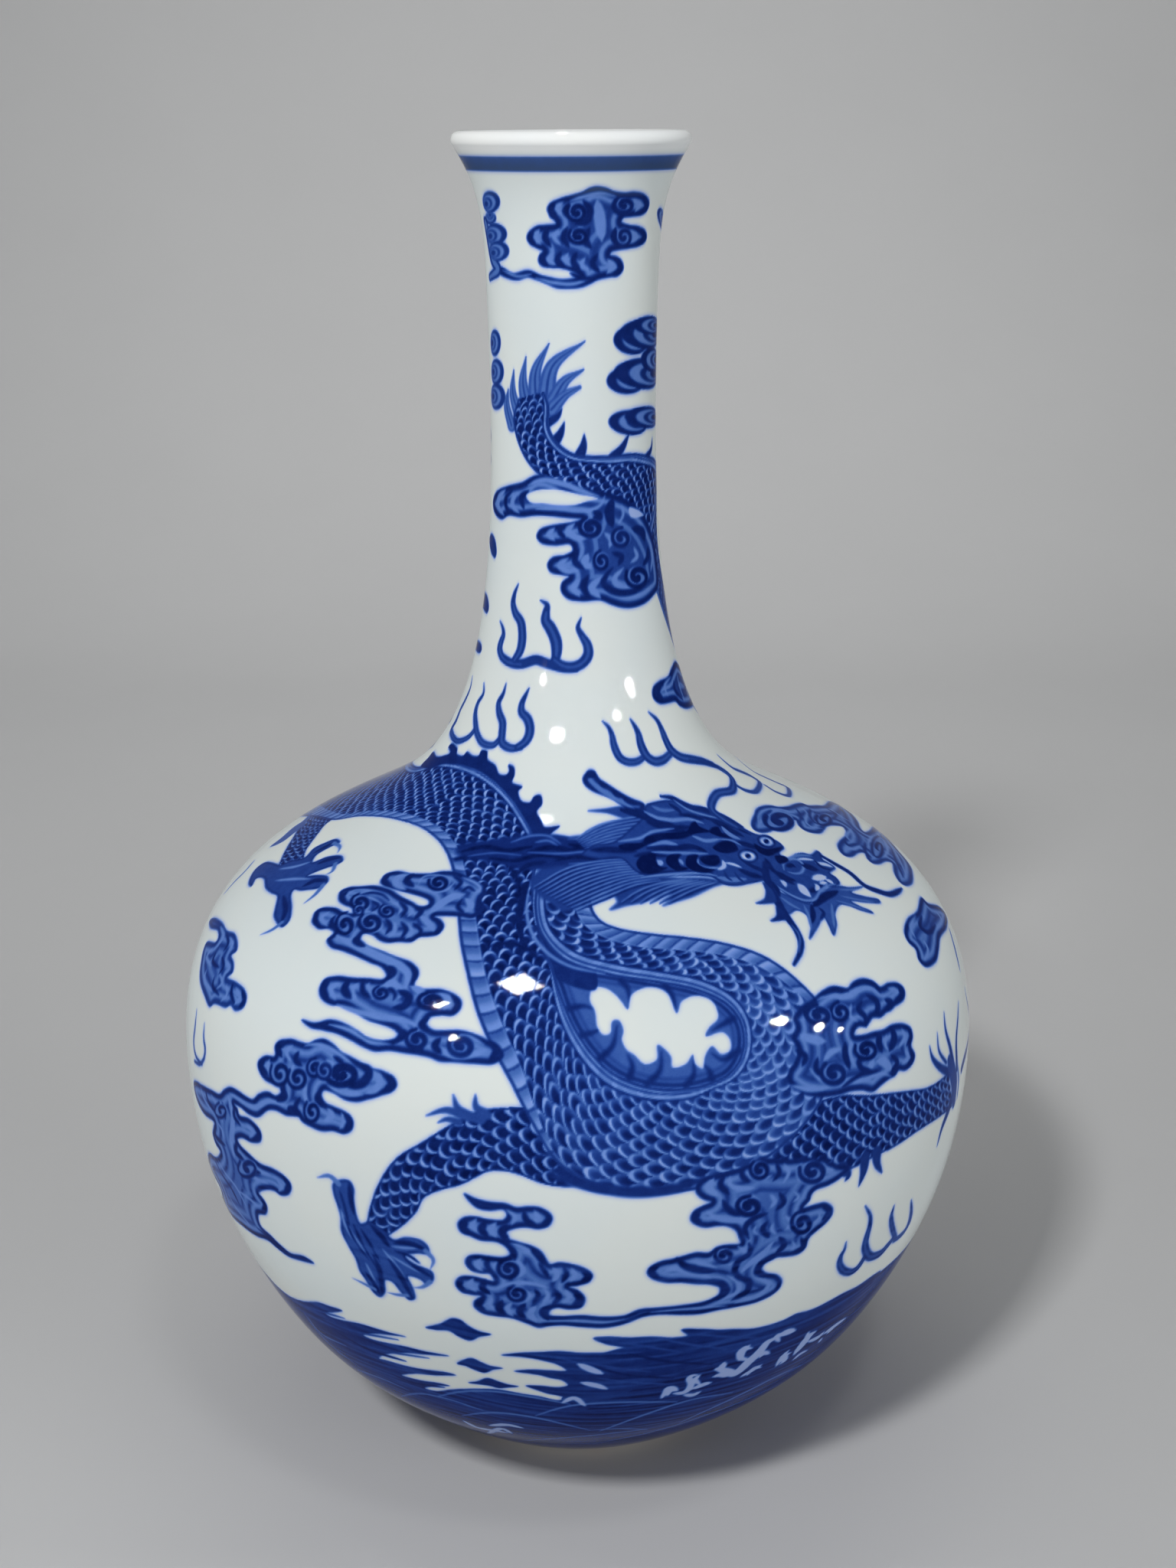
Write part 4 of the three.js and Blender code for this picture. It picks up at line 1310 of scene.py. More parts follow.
LOW_LIGHTS = (
    (8, (622, 1592), (617, 1601), (626, 1610)), (9, (648, 1597), (641, 1606), (648, 1616)),
    (7, (662, 1580), (672, 1590), (668, 1600)), (8, (698, 1581), (703, 1590), (697, 1598)),
    (8, (668, 1624), (684, 1630), (698, 1640), (702, 1648)), (8, (628, 1644), (622, 1652), (630, 1660)),
    (6, (648, 1648), (646, 1655), (653, 1661)), (10, (676, 1646), (682, 1658), (676, 1668)),
    (10, (722, 1656), (728, 1664), (722, 1674)), (7, (746, 1656), (751, 1664), (745, 1674)),
    (9, (618, 1670), (614, 1678), (622, 1687)), (8, (650, 1682), (664, 1677), (690, 1676), (716, 1682)),
    (6, (686, 1684), (692, 1692), (686, 1700)), (8, (712, 1684), (716, 1692), (709, 1702)),
    (8, (738, 1684), (744, 1693), (736, 1702)), (7, (643, 1696), (640, 1704), (646, 1710)),
    (9, (668, 1702), (662, 1710), (670, 1719)), (11, (700, 1706), (693, 1715), (700, 1727)),
    (4, (712, 1726), (750, 1725), (790, 1727), (815, 1723)), (12, (932, 1540), (926, 1550), (936, 1562)),
    (9, (954, 1537), (953, 1547), (966, 1552), (985, 1552)),
    (7, (975, 1528), (980, 1537), (995, 1540), (1008, 1535)),
    (7, (1024, 1520), (1030, 1532), (1024, 1544)),
    (8, (1046, 1520), (1042, 1534), (1054, 1544), (1070, 1540)),
    (7, (1072, 1518), (1080, 1526), (1090, 1528)),
    (10, (924, 1583), (936, 1591), (960, 1594), (985, 1590)),
    (7, (962, 1566), (962, 1578), (976, 1585), (992, 1580)), (5, (966, 1562), (980, 1561), (992, 1568)),
    (8, (1006, 1560), (1012, 1569), (1006, 1578)), (6, (1038, 1557), (1043, 1563), (1036, 1570)),
    (6, (988, 1601), (985, 1608), (990, 1613)), (7, (1010, 1598), (1008, 1606), (1014, 1612)),
    (8, (1026, 1588), (1034, 1598), (1026, 1606)), (6, (1070, 1584), (1070, 1591), (1062, 1598)),
    (5, (1034, 1620), (1038, 1628), (1032, 1634)),
    (12, (1010, 1622), (998, 1636), (980, 1650), (968, 1662)),
    (9, (964, 1628), (974, 1636), (968, 1646), (952, 1652)),
    (9, (950, 1666), (963, 1674), (964, 1686), (944, 1698)),
    (9, (988, 1668), (1004, 1677), (994, 1690), (960, 1702)),
    (11, (866, 1662), (880, 1657), (900, 1661), (928, 1669)), (8, (904, 1647), (918, 1651), (936, 1655)),
    (5, (938, 1634), (933, 1641), (940, 1647)), (4, (850, 1714), (880, 1711), (915, 1708), (950, 1706)),
)
LOW_DARKS = (
    (11, (610, 1594), (605, 1603), (614, 1612)), (11, (634, 1596), (629, 1606), (637, 1615)),
    (10, (662, 1600), (655, 1609), (664, 1618)), (9, (684, 1582), (688, 1594), (700, 1600)),
    (8, (714, 1584), (717, 1592), (708, 1600)), (7, (664, 1626), (672, 1636), (672, 1646)),
    (8, (694, 1632), (704, 1642), (710, 1652)), (8, (638, 1642), (636, 1652), (642, 1662)),
    (7, (614, 1644), (613, 1652), (620, 1660)), (7, (704, 1650), (711, 1660), (716, 1668)),
    (7, (736, 1654), (740, 1664), (734, 1675)), (10, (760, 1658), (768, 1667), (760, 1675)),
    (10, (634, 1672), (630, 1682), (640, 1690)), (8, (604, 1671), (600, 1679), (608, 1686)),
    (7, (698, 1683), (703, 1692), (696, 1702)), (8, (724, 1684), (730, 1694), (722, 1704)),
    (10, (750, 1688), (757, 1697), (748, 1707)), (11, (656, 1699), (652, 1709), (660, 1718)),
    (10, (686, 1703), (679, 1713), (686, 1724)), (8, (632, 1698), (626, 1705), (634, 1712)),
    (9, (716, 1706), (708, 1714), (716, 1724)), (9, (946, 1536), (941, 1547), (952, 1560)),
    (8, (968, 1528), (970, 1536), (978, 1544)), (7, (1014, 1520), (1018, 1532), (1010, 1542)),
    (10, (914, 1584), (908, 1592), (916, 1598)), (9, (944, 1568), (952, 1580), (966, 1588)),
    (8, (1018, 1558), (1024, 1570), (1014, 1580)),
    (9, (1002, 1585), (984, 1592), (973, 1604), (978, 1618)),
    (9, (1002, 1596), (996, 1606), (1004, 1616)), (8, (1074, 1576), (1082, 1581), (1074, 1594)),
    (10, (1018, 1616), (1024, 1626), (1014, 1636)), (8, (1046, 1616), (1049, 1628), (1036, 1636)),
    (10, (978, 1624), (980, 1636), (964, 1648), (960, 1662), (972, 1670)),
    (9, (1016, 1640), (994, 1650), (988, 1662), (998, 1668)),
    (10, (960, 1668), (978, 1674), (976, 1686), (956, 1698)),
    (11, (884, 1643), (894, 1653), (914, 1659), (934, 1660)), (10, (860, 1652), (851, 1661), (860, 1670)),
    (9, (925, 1672), (943, 1676), (950, 1686), (936, 1698)),
)
LOW_SPOTS = (
    (665, 1658, 7, 6, 0.92), (676, 1690, 6, 5, 0.9), (993, 1528, 6, 6, 0.92), (1062, 1530, 8, 7, 0.85),
    (979, 1576, 8, 6, 0.92), (1048, 1598, 7, 7, 0.9), (946, 1640, 6, 5, 0.88),
)
LEFT_CLOUD = (
    (360, 1365), (370, 1359), (380, 1357), (392, 1361), (402, 1363), (411, 1359), (423, 1357),
    (435, 1364), (446, 1374), (457, 1380), (470, 1387), (482, 1394), (500, 1399), (512, 1407),
    (518, 1417), (512, 1425), (497, 1431), (480, 1436), (465, 1439), (450, 1436), (435, 1427),
    (423, 1424), (420, 1430), (425, 1440), (437, 1446), (450, 1452), (459, 1462), (460, 1475),
    (450, 1481), (435, 1477), (420, 1477), (405, 1471), (395, 1465), (388, 1457), (375, 1457),
    (360, 1450), (350, 1450), (337, 1459), (325, 1455), (314, 1446), (306, 1442), (310, 1448),
    (313, 1457), (323, 1460), (332, 1467), (341, 1480), (340, 1491), (329, 1492), (316, 1486),
    (310, 1488), (314, 1496), (326, 1508), (340, 1520), (357, 1527), (372, 1537), (380, 1550),
    (377, 1560), (367, 1561), (358, 1555), (345, 1554), (338, 1558), (343, 1565), (349, 1577),
    (347, 1586), (338, 1586), (340, 1600), (355, 1615), (367, 1627), (380, 1637), (397, 1641),
    (410, 1650), (392, 1646), (377, 1641), (362, 1630), (350, 1620), (335, 1614), (318, 1602),
    (303, 1588), (293, 1570), (288, 1552), (280, 1536), (273, 1519), (273, 1506), (283, 1512),
    (288, 1505), (282, 1494), (278, 1480), (280, 1466), (268, 1456), (260, 1443), (255, 1428),
    (254, 1412), (265, 1418), (276, 1424), (287, 1429), (293, 1423), (301, 1420), (311, 1425),
    (321, 1432), (330, 1436), (338, 1429), (350, 1426), (360, 1431), (366, 1428), (368, 1420),
    (360, 1417), (347, 1411), (339, 1400), (337, 1387), (347, 1379), (358, 1380), (360, 1375),
)
LEFT_LIGHTS = (
    (8, (382, 1366), (374, 1374), (380, 1386)),
    (7, (398, 1366), (414, 1364), (432, 1370), (450, 1382), (462, 1392)),
    (9, (352, 1384), (350, 1394), (360, 1404)), (7, (384, 1390), (382, 1402), (392, 1412)),
    (6, (402, 1386), (402, 1398), (412, 1406)), (8, (426, 1384), (436, 1392), (434, 1406)),
    (7, (452, 1392), (464, 1402), (456, 1414), (440, 1412)),
    (11, (480, 1398), (496, 1408), (492, 1422), (478, 1428)), (8, (400, 1416), (398, 1430), (404, 1446)),
    (8, (428, 1418), (450, 1428), (474, 1430)), (9, (428, 1448), (434, 1456), (424, 1464)),
    (8, (446, 1454), (450, 1464), (444, 1474)),
    (8, (300, 1428), (318, 1440), (334, 1446), (352, 1438), (370, 1444)),
    (6, (262, 1420), (267, 1436), (278, 1452)), (7, (276, 1430), (284, 1446), (292, 1468)),
    (13, (298, 1432), (304, 1460), (302, 1490), (306, 1512)), (6, (284, 1466), (290, 1476), (292, 1488)),
    (8, (322, 1470), (330, 1478), (326, 1486)), (7, (314, 1516), (318, 1530), (336, 1540), (350, 1546)),
    (6, (330, 1520), (340, 1530), (352, 1534)), (7, (362, 1542), (368, 1550), (364, 1556)),
    (6, (284, 1514), (294, 1532), (308, 1550), (322, 1576)), (6, (312, 1556), (326, 1566), (338, 1576)),
    (5, (298, 1560), (310, 1580), (328, 1602)),
)
LEFT_DARKS = (
    (12, (374, 1360), (363, 1368), (368, 1380)), (9, (390, 1374), (386, 1384), (394, 1392)),
    (10, (346, 1382), (341, 1393), (350, 1404)), (7, (436, 1380), (446, 1388), (450, 1398)),
    (13, (472, 1390), (482, 1400), (474, 1414), (456, 1420)), (13, (506, 1404), (512, 1416), (502, 1426)),
    (9, (416, 1426), (414, 1436), (424, 1446)), (8, (392, 1434), (386, 1446), (394, 1458)),
    (11, (450, 1454), (457, 1466), (450, 1478)), (9, (366, 1420), (373, 1432), (362, 1438)),
    (7, (306, 1444), (306, 1458), (314, 1470)), (9, (332, 1470), (338, 1482), (330, 1490)),
    (9, (310, 1490), (308, 1504), (318, 1514)), (8, (320, 1516), (326, 1526), (340, 1532)),
    (10, (370, 1538), (377, 1548), (372, 1558)), (6, (268, 1422), (272, 1438), (284, 1456)),
    (8, (280, 1470), (282, 1484), (294, 1496)), (6, (290, 1440), (294, 1450), (294, 1462)),
    (5, (280, 1514), (290, 1534), (302, 1552), (314, 1576)), (8, (338, 1562), (346, 1574), (342, 1584)),
    (5, (336, 1604), (356, 1620), (378, 1638)), (10, (388, 1446), (378, 1450), (392, 1456)),
)
LEFT_SPOTS = (
    (366, 1402, 6, 8, 0.9), (389, 1408, 6, 7, 0.9), (411, 1396, 5, 6, 0.9), (447, 1403, 10, 7, 0.9),
    (424, 1398, 5, 6, 0.85), (408, 1452, 5, 7, 0.92), (289, 1451, 4, 5, 0.9), (324, 1526, 6, 6, 0.85),
)
EDGE_CLOUD = (
    (280, 1199), (290, 1205), (297, 1216), (306, 1219), (310, 1230), (309, 1242), (302, 1248),
    (305, 1257), (304, 1270), (297, 1277), (307, 1282), (319, 1292), (322, 1305), (317, 1317),
    (307, 1320), (301, 1313), (295, 1316), (280, 1311), (274, 1315), (267, 1300), (262, 1285),
    (261, 1272), (263, 1255), (266, 1240), (271, 1230), (281, 1231), (285, 1225), (284, 1215),
    (275, 1212), (274, 1202),
)
EDGE_LIGHTS = (
    (7, (288, 1210), (292, 1222), (284, 1236)), (6, (300, 1224), (304, 1233), (298, 1242)),
    (7, (278, 1238), (270, 1250), (276, 1262)), (6, (296, 1254), (300, 1264), (294, 1272)),
    (7, (270, 1266), (267, 1280), (278, 1296)), (6, (286, 1270), (290, 1284), (282, 1292)),
    (6, (296, 1286), (296, 1300), (288, 1308)), (8, (308, 1290), (314, 1302), (306, 1312)),
)
EDGE_DARKS = (
    (5, (296, 1220), (298, 1232), (292, 1242)), (6, (282, 1244), (278, 1256), (286, 1264)),
    (5, (290, 1250), (292, 1262), (286, 1272)), (5, (280, 1276), (278, 1288), (286, 1300)),
    (7, (304, 1284), (302, 1298), (306, 1310)), (8, (316, 1294), (319, 1306), (312, 1316)),
)
RIGHT_CLOUD = (
    (1050, 1312), (1060, 1306), (1068, 1299), (1076, 1294), (1087, 1289), (1100, 1291), (1108, 1290),
    (1114, 1283), (1126, 1279), (1140, 1282), (1150, 1289), (1160, 1284), (1172, 1284), (1180, 1290),
    (1182, 1300), (1176, 1309), (1166, 1316), (1158, 1322), (1150, 1329), (1140, 1329), (1136, 1335),
    (1131, 1341), (1122, 1341), (1117, 1346), (1116, 1352), (1126, 1352), (1140, 1348), (1154, 1345),
    (1164, 1339), (1178, 1337), (1189, 1342), (1192, 1354), (1190, 1366), (1195, 1378), (1191, 1390),
    (1182, 1398), (1174, 1398), (1170, 1404), (1160, 1410), (1150, 1418), (1140, 1426), (1126, 1424),
    (1112, 1425), (1096, 1430), (1076, 1433), (1056, 1431), (1040, 1424), (1030, 1414), (1030, 1400),
    (1038, 1386), (1042, 1370), (1034, 1356), (1040, 1342), (1036, 1330), (1042, 1320),
)
RIGHT_LIGHTS = (
    (9, (1068, 1306), (1082, 1300), (1100, 1302), (1118, 1294), (1136, 1290), (1148, 1298)),
    (7, (1160, 1291), (1170, 1293), (1172, 1302)), (9, (1090, 1318), (1090, 1328), (1102, 1332)),
    (7, (1112, 1312), (1110, 1326), (1120, 1334)), (14, (1046, 1352), (1060, 1357), (1078, 1360)),
    (10, (1076, 1386), (1086, 1374), (1098, 1370)), (9, (1112, 1360), (1110, 1376), (1116, 1392)),
    (10, (1140, 1376), (1138, 1390), (1132, 1402)), (15, (1146, 1386), (1156, 1388), (1164, 1396)),
    (7, (1158, 1352), (1156, 1364), (1160, 1372)), (8, (1178, 1344), (1182, 1354), (1174, 1368)),
    (7, (1182, 1372), (1186, 1382), (1178, 1390)),
    (9, (1058, 1396), (1074, 1411), (1100, 1413), (1130, 1404)),
    (7, (1110, 1416), (1130, 1410), (1150, 1402), (1164, 1406)),
    (8, (1034, 1418), (1056, 1423), (1080, 1422)), (7, (1078, 1392), (1080, 1400), (1088, 1408)),
)
RIGHT_DARKS = (
    (8, (1070, 1300), (1090, 1292), (1108, 1294)),
    (8, (1112, 1288), (1126, 1282), (1142, 1286), (1150, 1296)),
    (10, (1174, 1290), (1178, 1300), (1168, 1310)),
    (9, (1126, 1308), (1121, 1318), (1130, 1328), (1131, 1340)),
    (10, (1132, 1300), (1145, 1308), (1146, 1320), (1138, 1328)),
    (9, (1100, 1318), (1102, 1328), (1096, 1334)), (11, (1156, 1306), (1164, 1310), (1158, 1320)),
    (12, (1150, 1350), (1148, 1362), (1152, 1374)), (13, (1164, 1342), (1168, 1356), (1162, 1372)),
    (6, (1186, 1344), (1190, 1354), (1184, 1366)), (8, (1188, 1372), (1192, 1382), (1184, 1394)),
    (11, (1104, 1362), (1104, 1378), (1110, 1396)),
    (9, (1134, 1380), (1122, 1386), (1126, 1396), (1138, 1398)),
    (9, (1164, 1378), (1172, 1388), (1164, 1400)), (9, (1068, 1382), (1066, 1396), (1076, 1406)),
    (8, (1060, 1310), (1052, 1322), (1060, 1336)), (9, (1040, 1372), (1052, 1380), (1048, 1392)),
    (6, (1100, 1420), (1124, 1404), (1150, 1398)),
)
RIGHT_SPOTS = (
    (1132, 1371, 7, 6, 0.92), (1090, 1402, 8, 7, 0.85), (1098, 1322, 6, 6, 0.9), (1070, 1326, 8, 6, 0.85),
)
UPPER_RIGHT_CLOUD = (
    (981, 1076), (985, 1064), (988, 1057), (995, 1053), (1006, 1052), (1018, 1054), (1030, 1053),
    (1039, 1050), (1047, 1049), (1056, 1052), (1068, 1052), (1077, 1052), (1083, 1047), (1091, 1049),
    (1101, 1055), (1112, 1063), (1120, 1073), (1124, 1082), (1130, 1087), (1136, 1085), (1141, 1080),
    (1151, 1087), (1163, 1099), (1173, 1111), (1184, 1124), (1191, 1136), (1191, 1154), (1184, 1157),
    (1175, 1152), (1168, 1140), (1165, 1127), (1156, 1125), (1150, 1128), (1141, 1128), (1133, 1122),
    (1129, 1114), (1121, 1114), (1113, 1119), (1104, 1118), (1097, 1112), (1094, 1104), (1098, 1097),
    (1104, 1092), (1105, 1086), (1101, 1080), (1090, 1078), (1080, 1079), (1077, 1083), (1072, 1088),
    (1062, 1088), (1050, 1084), (1043, 1078), (1039, 1071), (1034, 1073), (1030, 1079), (1022, 1080),
    (1013, 1083), (1003, 1087), (992, 1087), (984, 1083),
)
UPPER_RIGHT_LIGHTS = (
    (5, (990, 1074), (992, 1062), (1004, 1057), (1024, 1058), (1038, 1062)),
    (6, (1006, 1078), (1002, 1070), (1008, 1062), (1024, 1062), (1032, 1070)),
    (5, (1046, 1054), (1054, 1062), (1052, 1072), (1060, 1080), (1074, 1082)),
    (6, (1062, 1060), (1060, 1070), (1070, 1076)),
    (5, (1070, 1057), (1086, 1058), (1098, 1066), (1112, 1074)),
    (6, (1112, 1082), (1106, 1092), (1110, 1098)), (6, (1106, 1108), (1116, 1109), (1124, 1104)),
    (7, (1134, 1108), (1136, 1096), (1148, 1093), (1158, 1104), (1158, 1116), (1146, 1121)),
    (5, (1150, 1092), (1166, 1108), (1178, 1130), (1184, 1146)),
)
UPPER_RIGHT_DARKS = (
    (6, (999, 1078), (998, 1066), (1008, 1058)), (5, (1040, 1056), (1046, 1066), (1045, 1074)),
    (5, (1058, 1056), (1058, 1066), (1064, 1074), (1076, 1078)),
    (5, (1080, 1056), (1092, 1064), (1088, 1070)), (6, (1102, 1096), (1108, 1104), (1120, 1102)),
    (6, (1130, 1100), (1130, 1112), (1138, 1120)), (6, (1164, 1108), (1172, 1128), (1180, 1146)),
)
UPPER_RIGHT_SPOTS = ((1019, 1072, 9, 6, 0.85), (1077, 1070, 5, 4, 0.85), (1147, 1108, 4, 7, 0.85))
NECK_FOOT_CLOUD = (
    (882, 864), (877, 873), (872, 884), (861, 890), (853, 898), (853, 911), (862, 919), (872, 918),
    (882, 916), (888, 922), (897, 925), (905, 921), (900, 907), (894, 890), (888, 872),
)
SMALL_RIGHT_CLOUD = (
    (1203, 1172), (1212, 1180), (1226, 1184), (1236, 1196), (1236, 1212), (1228, 1224), (1226, 1240),
    (1222, 1256), (1210, 1263), (1200, 1254), (1196, 1240), (1186, 1230), (1181, 1216), (1186, 1200),
    (1198, 1190),
)


NECK_FOOT_LIGHTS = ((5, (876, 884), (868, 896), (872, 908)), (4, (884, 880), (888, 898), (894, 914)))
NECK_FOOT_DARKS = ((9, (864, 894), (859, 904), (866, 914)), (6, (880, 890), (882, 902), (892, 914)))
SMALL_RIGHT_LIGHTS = (
    (6, (1196, 1196), (1189, 1210), (1196, 1226)), (7, (1222, 1190), (1230, 1202), (1222, 1216)),
    (6, (1206, 1228), (1212, 1240), (1208, 1254)),
)
SMALL_RIGHT_DARKS = ((8, (1204, 1196), (1202, 1210), (1214, 1218), (1222, 1208)),)
# Clouds of which only an edge shows
SLIVERS = (
    (((1240, 1213), (1247, 1238), (1254, 1268)), 5),
    (((293, 1167), (306, 1152), (320, 1138), (332, 1124)), 4), (((898, 908), (908, 926), (919, 943)), 3),
    (((858, 712), (862, 745), (869, 790), (879, 836)), 6),
)


def middle_cloud():
    """The cloud left of the dragon's column."""
    motif(MIDDLE_CLOUD, MIDDLE_LIGHTS, MIDDLE_DARKS, MIDDLE_SPOTS)


def low_cloud():
    """The wide cloud under the body, over the waves."""
    motif(LOW_CLOUD, LOW_LIGHTS, LOW_DARKS, LOW_SPOTS)


def left_cloud():
    """The cloud at the left edge, over the foot."""
    motif(LEFT_CLOUD, LEFT_LIGHTS, LEFT_DARKS, LEFT_SPOTS)


def right_cloud(tone=CLOUD_INK):
    """The cloud right of the body's loop."""
    motif(RIGHT_CLOUD, RIGHT_LIGHTS, RIGHT_DARKS, RIGHT_SPOTS, tone)


def curled_cloud(tone=CLOUD_INK, rim=CLOUD_RIM_INK, dark=CLOUD_DARK):
    """The cloud right of the head."""
    motif(UPPER_RIGHT_CLOUD, UPPER_RIGHT_LIGHTS, UPPER_RIGHT_DARKS, UPPER_RIGHT_SPOTS, tone, rim, dark=dark)


def clouds():
    """The clouds on the belly and on the shoulder."""
    middle_cloud()
    low_cloud()
    left_cloud()
    motif(EDGE_CLOUD, EDGE_LIGHTS, EDGE_DARKS, tone=0.5, rim=0.7)
    right_cloud(tone=0.52)
    curled_cloud(tone=0.5, rim=0.72, dark=0.74)
    motif(NECK_FOOT_CLOUD, NECK_FOOT_LIGHTS, NECK_FOOT_DARKS, tone=0.72, rim=0.88)
    motif(SMALL_RIGHT_CLOUD, SMALL_RIGHT_LIGHTS, SMALL_RIGHT_DARKS, tone=0.52)
    for points, width in SLIVERS:
        brush(points, width, tone=0.62)


# The flames: the width of each tongue, then its line from the tip down
FLAMES = (
    (10, (653, 811), (658, 826), (654, 840), (653, 852), (662, 864), (680, 868)),
    (12, (677, 763), (671, 780), (671, 796), (680, 812), (682, 830), (680, 848), (672, 862)),
    (15, (706, 784), (715, 791), (712, 808), (721, 824), (727, 842), (726, 860)),
    (13, (759, 807), (755, 822), (764, 836), (769, 850), (764, 863), (750, 871), (736, 870), (724, 862)),
    (8, (617, 883), (613, 903), (603, 923), (595, 943), (589, 958), (597, 968), (610, 964), (621, 952)),
    (9, (632, 892), (632, 904), (622, 923), (621, 942), (623, 958), (631, 971), (645, 973), (654, 964)),
    (11, (661, 893), (657, 907), (650, 923), (656, 941), (656, 956), (654, 966), (662, 976), (680, 976)),
    (12, (691, 899), (683, 916), (680, 927), (690, 941), (692, 954), (688, 967), (676, 976)),
    (10, (787, 942), (797, 953), (802, 973), (810, 990), (827, 996), (841, 989)),
    (12, (823, 939), (833, 956), (838, 975), (847, 990), (861, 995), (875, 985)),
    (12, (847, 930), (860, 943), (868, 963), (878, 981), (892, 990), (913, 993), (932, 999)),
    (12, (900, 992), (932, 999), (951, 1012), (963, 1028), (946, 1034), (932, 1040), (928, 1052),
     (938, 1065), (962, 1080)),
    (7, (937, 986), (957, 1003), (980, 1013), (993, 1024), (989, 1033), (976, 1033), (962, 1026)),
    (6, (959, 987), (983, 1007), (1010, 1020), (1030, 1030), (1036, 1038), (1020, 1037), (1000, 1026)),
    (11, (1105, 1622), (1103, 1632), (1097, 1644), (1098, 1656), (1108, 1662), (1120, 1656),
     (1130, 1640)),
    (13, (1130, 1575), (1137, 1590), (1135, 1606), (1130, 1624), (1133, 1640), (1145, 1640), (1158, 1628),
     (1168, 1616)),
    (9, (1168, 1574), (1164, 1590), (1166, 1606), (1170, 1618)),
    (10, (1190, 1567), (1190, 1584), (1186, 1600), (1178, 1612), (1168, 1620)),
    (5, (257, 1318), (255, 1340), (253, 1362), (257, 1382), (264, 1390)),
    (5, (267, 1336), (266, 1356), (268, 1374), (262, 1390), (254, 1386)),
)


FLAME_BASE = ((656, 858), (668, 866), (682, 867), (700, 862), (716, 867), (735, 872), (752, 873))
FLAME_BASE_WIDTHS = (9, 11, 12, 12, 12, 12, 10)
FLAME_BASE_INK = 0.72
FLAME_INK = 0.7
FLAME_CORE_INK = 0.5
FLAME_CORE_SHARE = 0.3
# The tongues over the neck's root, which are copied round the back without their pale cores
BACK_TONGUES = 4
UPPER_LEFT_TUFT = (
    (353, 1106), (368, 1094), (384, 1080), (396, 1072), (408, 1060), (398, 1076), (384, 1088),
    (368, 1100),
)


def tongue(points, width):
    """A tongue of fire's line, the share along it, and its widths: it swells from the tip down."""
    line = even(points)
    share = np.linspace(0, 1, len(line))
    return line, share, width * (0.1 + 0.9 * np.minimum(1, share * 2.2) ** 0.8)


def all_flames():
    """The flames in front, each with a paler core."""
    fill(UPPER_LEFT_TUFT, tone=0.5)
    stroke(FLAME_BASE, FLAME_BASE_WIDTHS, FLAME_BASE_INK)
    for width, *points in FLAMES:
        line, share, swell = tongue(points, width)
        swell = swell * (1 - 0.25 * ease(0.8, 1, share))
        stroke(line, swell, FLAME_INK)
        stroke(line[2:], swell[2:] * FLAME_CORE_SHARE, FLAME_CORE_INK, edge=0.7)


def four_flames():
    """Four tongues on their base, for the back."""
    for width, *points in FLAMES[:BACK_TONGUES]:
        line, _, swell = tongue(points, width)
        stroke(line, swell, FLAME_INK)
    stroke(FLAME_BASE, 11, FLAME_BASE_INK)


HORN = (
    (761, 1017), (765, 1010), (772, 1007), (778, 1010), (784, 1018), (795, 1025), (807, 1033),
    (823, 1042), (842, 1051), (840, 1060), (826, 1060), (812, 1052), (798, 1043), (783, 1037),
    (772, 1032), (763, 1024),
)
UPPER_MANE = (
    (752, 1097), (764, 1087), (778, 1079), (797, 1073), (815, 1070), (806, 1066), (793, 1062),
    (768, 1059), (792, 1056), (812, 1053), (835, 1054), (870, 1068), (905, 1080), (890, 1094),
    (850, 1100), (810, 1106), (770, 1112), (745, 1112), (724, 1104), (722, 1092), (738, 1092),
)
LOWER_MANE = (
    (692, 1152), (700, 1140), (722, 1126), (760, 1116), (800, 1114), (832, 1122), (845, 1140),
    (880, 1146), (925, 1147), (946, 1153), (930, 1159), (905, 1171), (882, 1178), (866, 1183),
    (875, 1174), (873, 1162), (861, 1169), (842, 1178), (818, 1183), (797, 1188), (806, 1178),
    (802, 1168), (808, 1156), (790, 1162), (776, 1170), (766, 1180), (754, 1186), (736, 1190),
    (720, 1180), (706, 1172),
)
HEAD = (
    (800, 1100), (826, 1080), (840, 1066), (843, 1052), (857, 1047), (874, 1045), (884, 1047),
    (894, 1054), (915, 1058), (936, 1066), (956, 1073), (972, 1082), (986, 1089), (998, 1092),
    (1010, 1096), (1020, 1102), (1024, 1108), (1018, 1114), (1022, 1119), (1032, 1120), (1038, 1116),
    (1048, 1114), (1060, 1116), (1067, 1111), (1073, 1116), (1074, 1122), (1082, 1127), (1091, 1134),
    (1084, 1140), (1092, 1146), (1097, 1154), (1090, 1158), (1080, 1159), (1074, 1166), (1068, 1176),
    (1058, 1180), (1044, 1177), (1030, 1170), (1016, 1160), (1004, 1150), (985, 1153), (962, 1157),
    (945, 1155), (930, 1146), (890, 1144), (850, 1145), (830, 1138), (812, 1122), (780, 1122),
    (760, 1116), (775, 1104),
)
BEARD = (
    (1014, 1164), (1026, 1168), (1046, 1177), (1062, 1180), (1072, 1170), (1080, 1161), (1094, 1157),
    (1110, 1159), (1128, 1158), (1112, 1165), (1130, 1171), (1148, 1175), (1150, 1179), (1132, 1179),
    (1112, 1177), (1124, 1184), (1138, 1190), (1141, 1193), (1124, 1189), (1108, 1183), (1097, 1182),
    (1091, 1192), (1093, 1208), (1089, 1222), (1082, 1208), (1075, 1197), (1070, 1208), (1057, 1227),
    (1059, 1210), (1053, 1195), (1040, 1189), (1030, 1194), (1018, 1184), (1012, 1172),
)
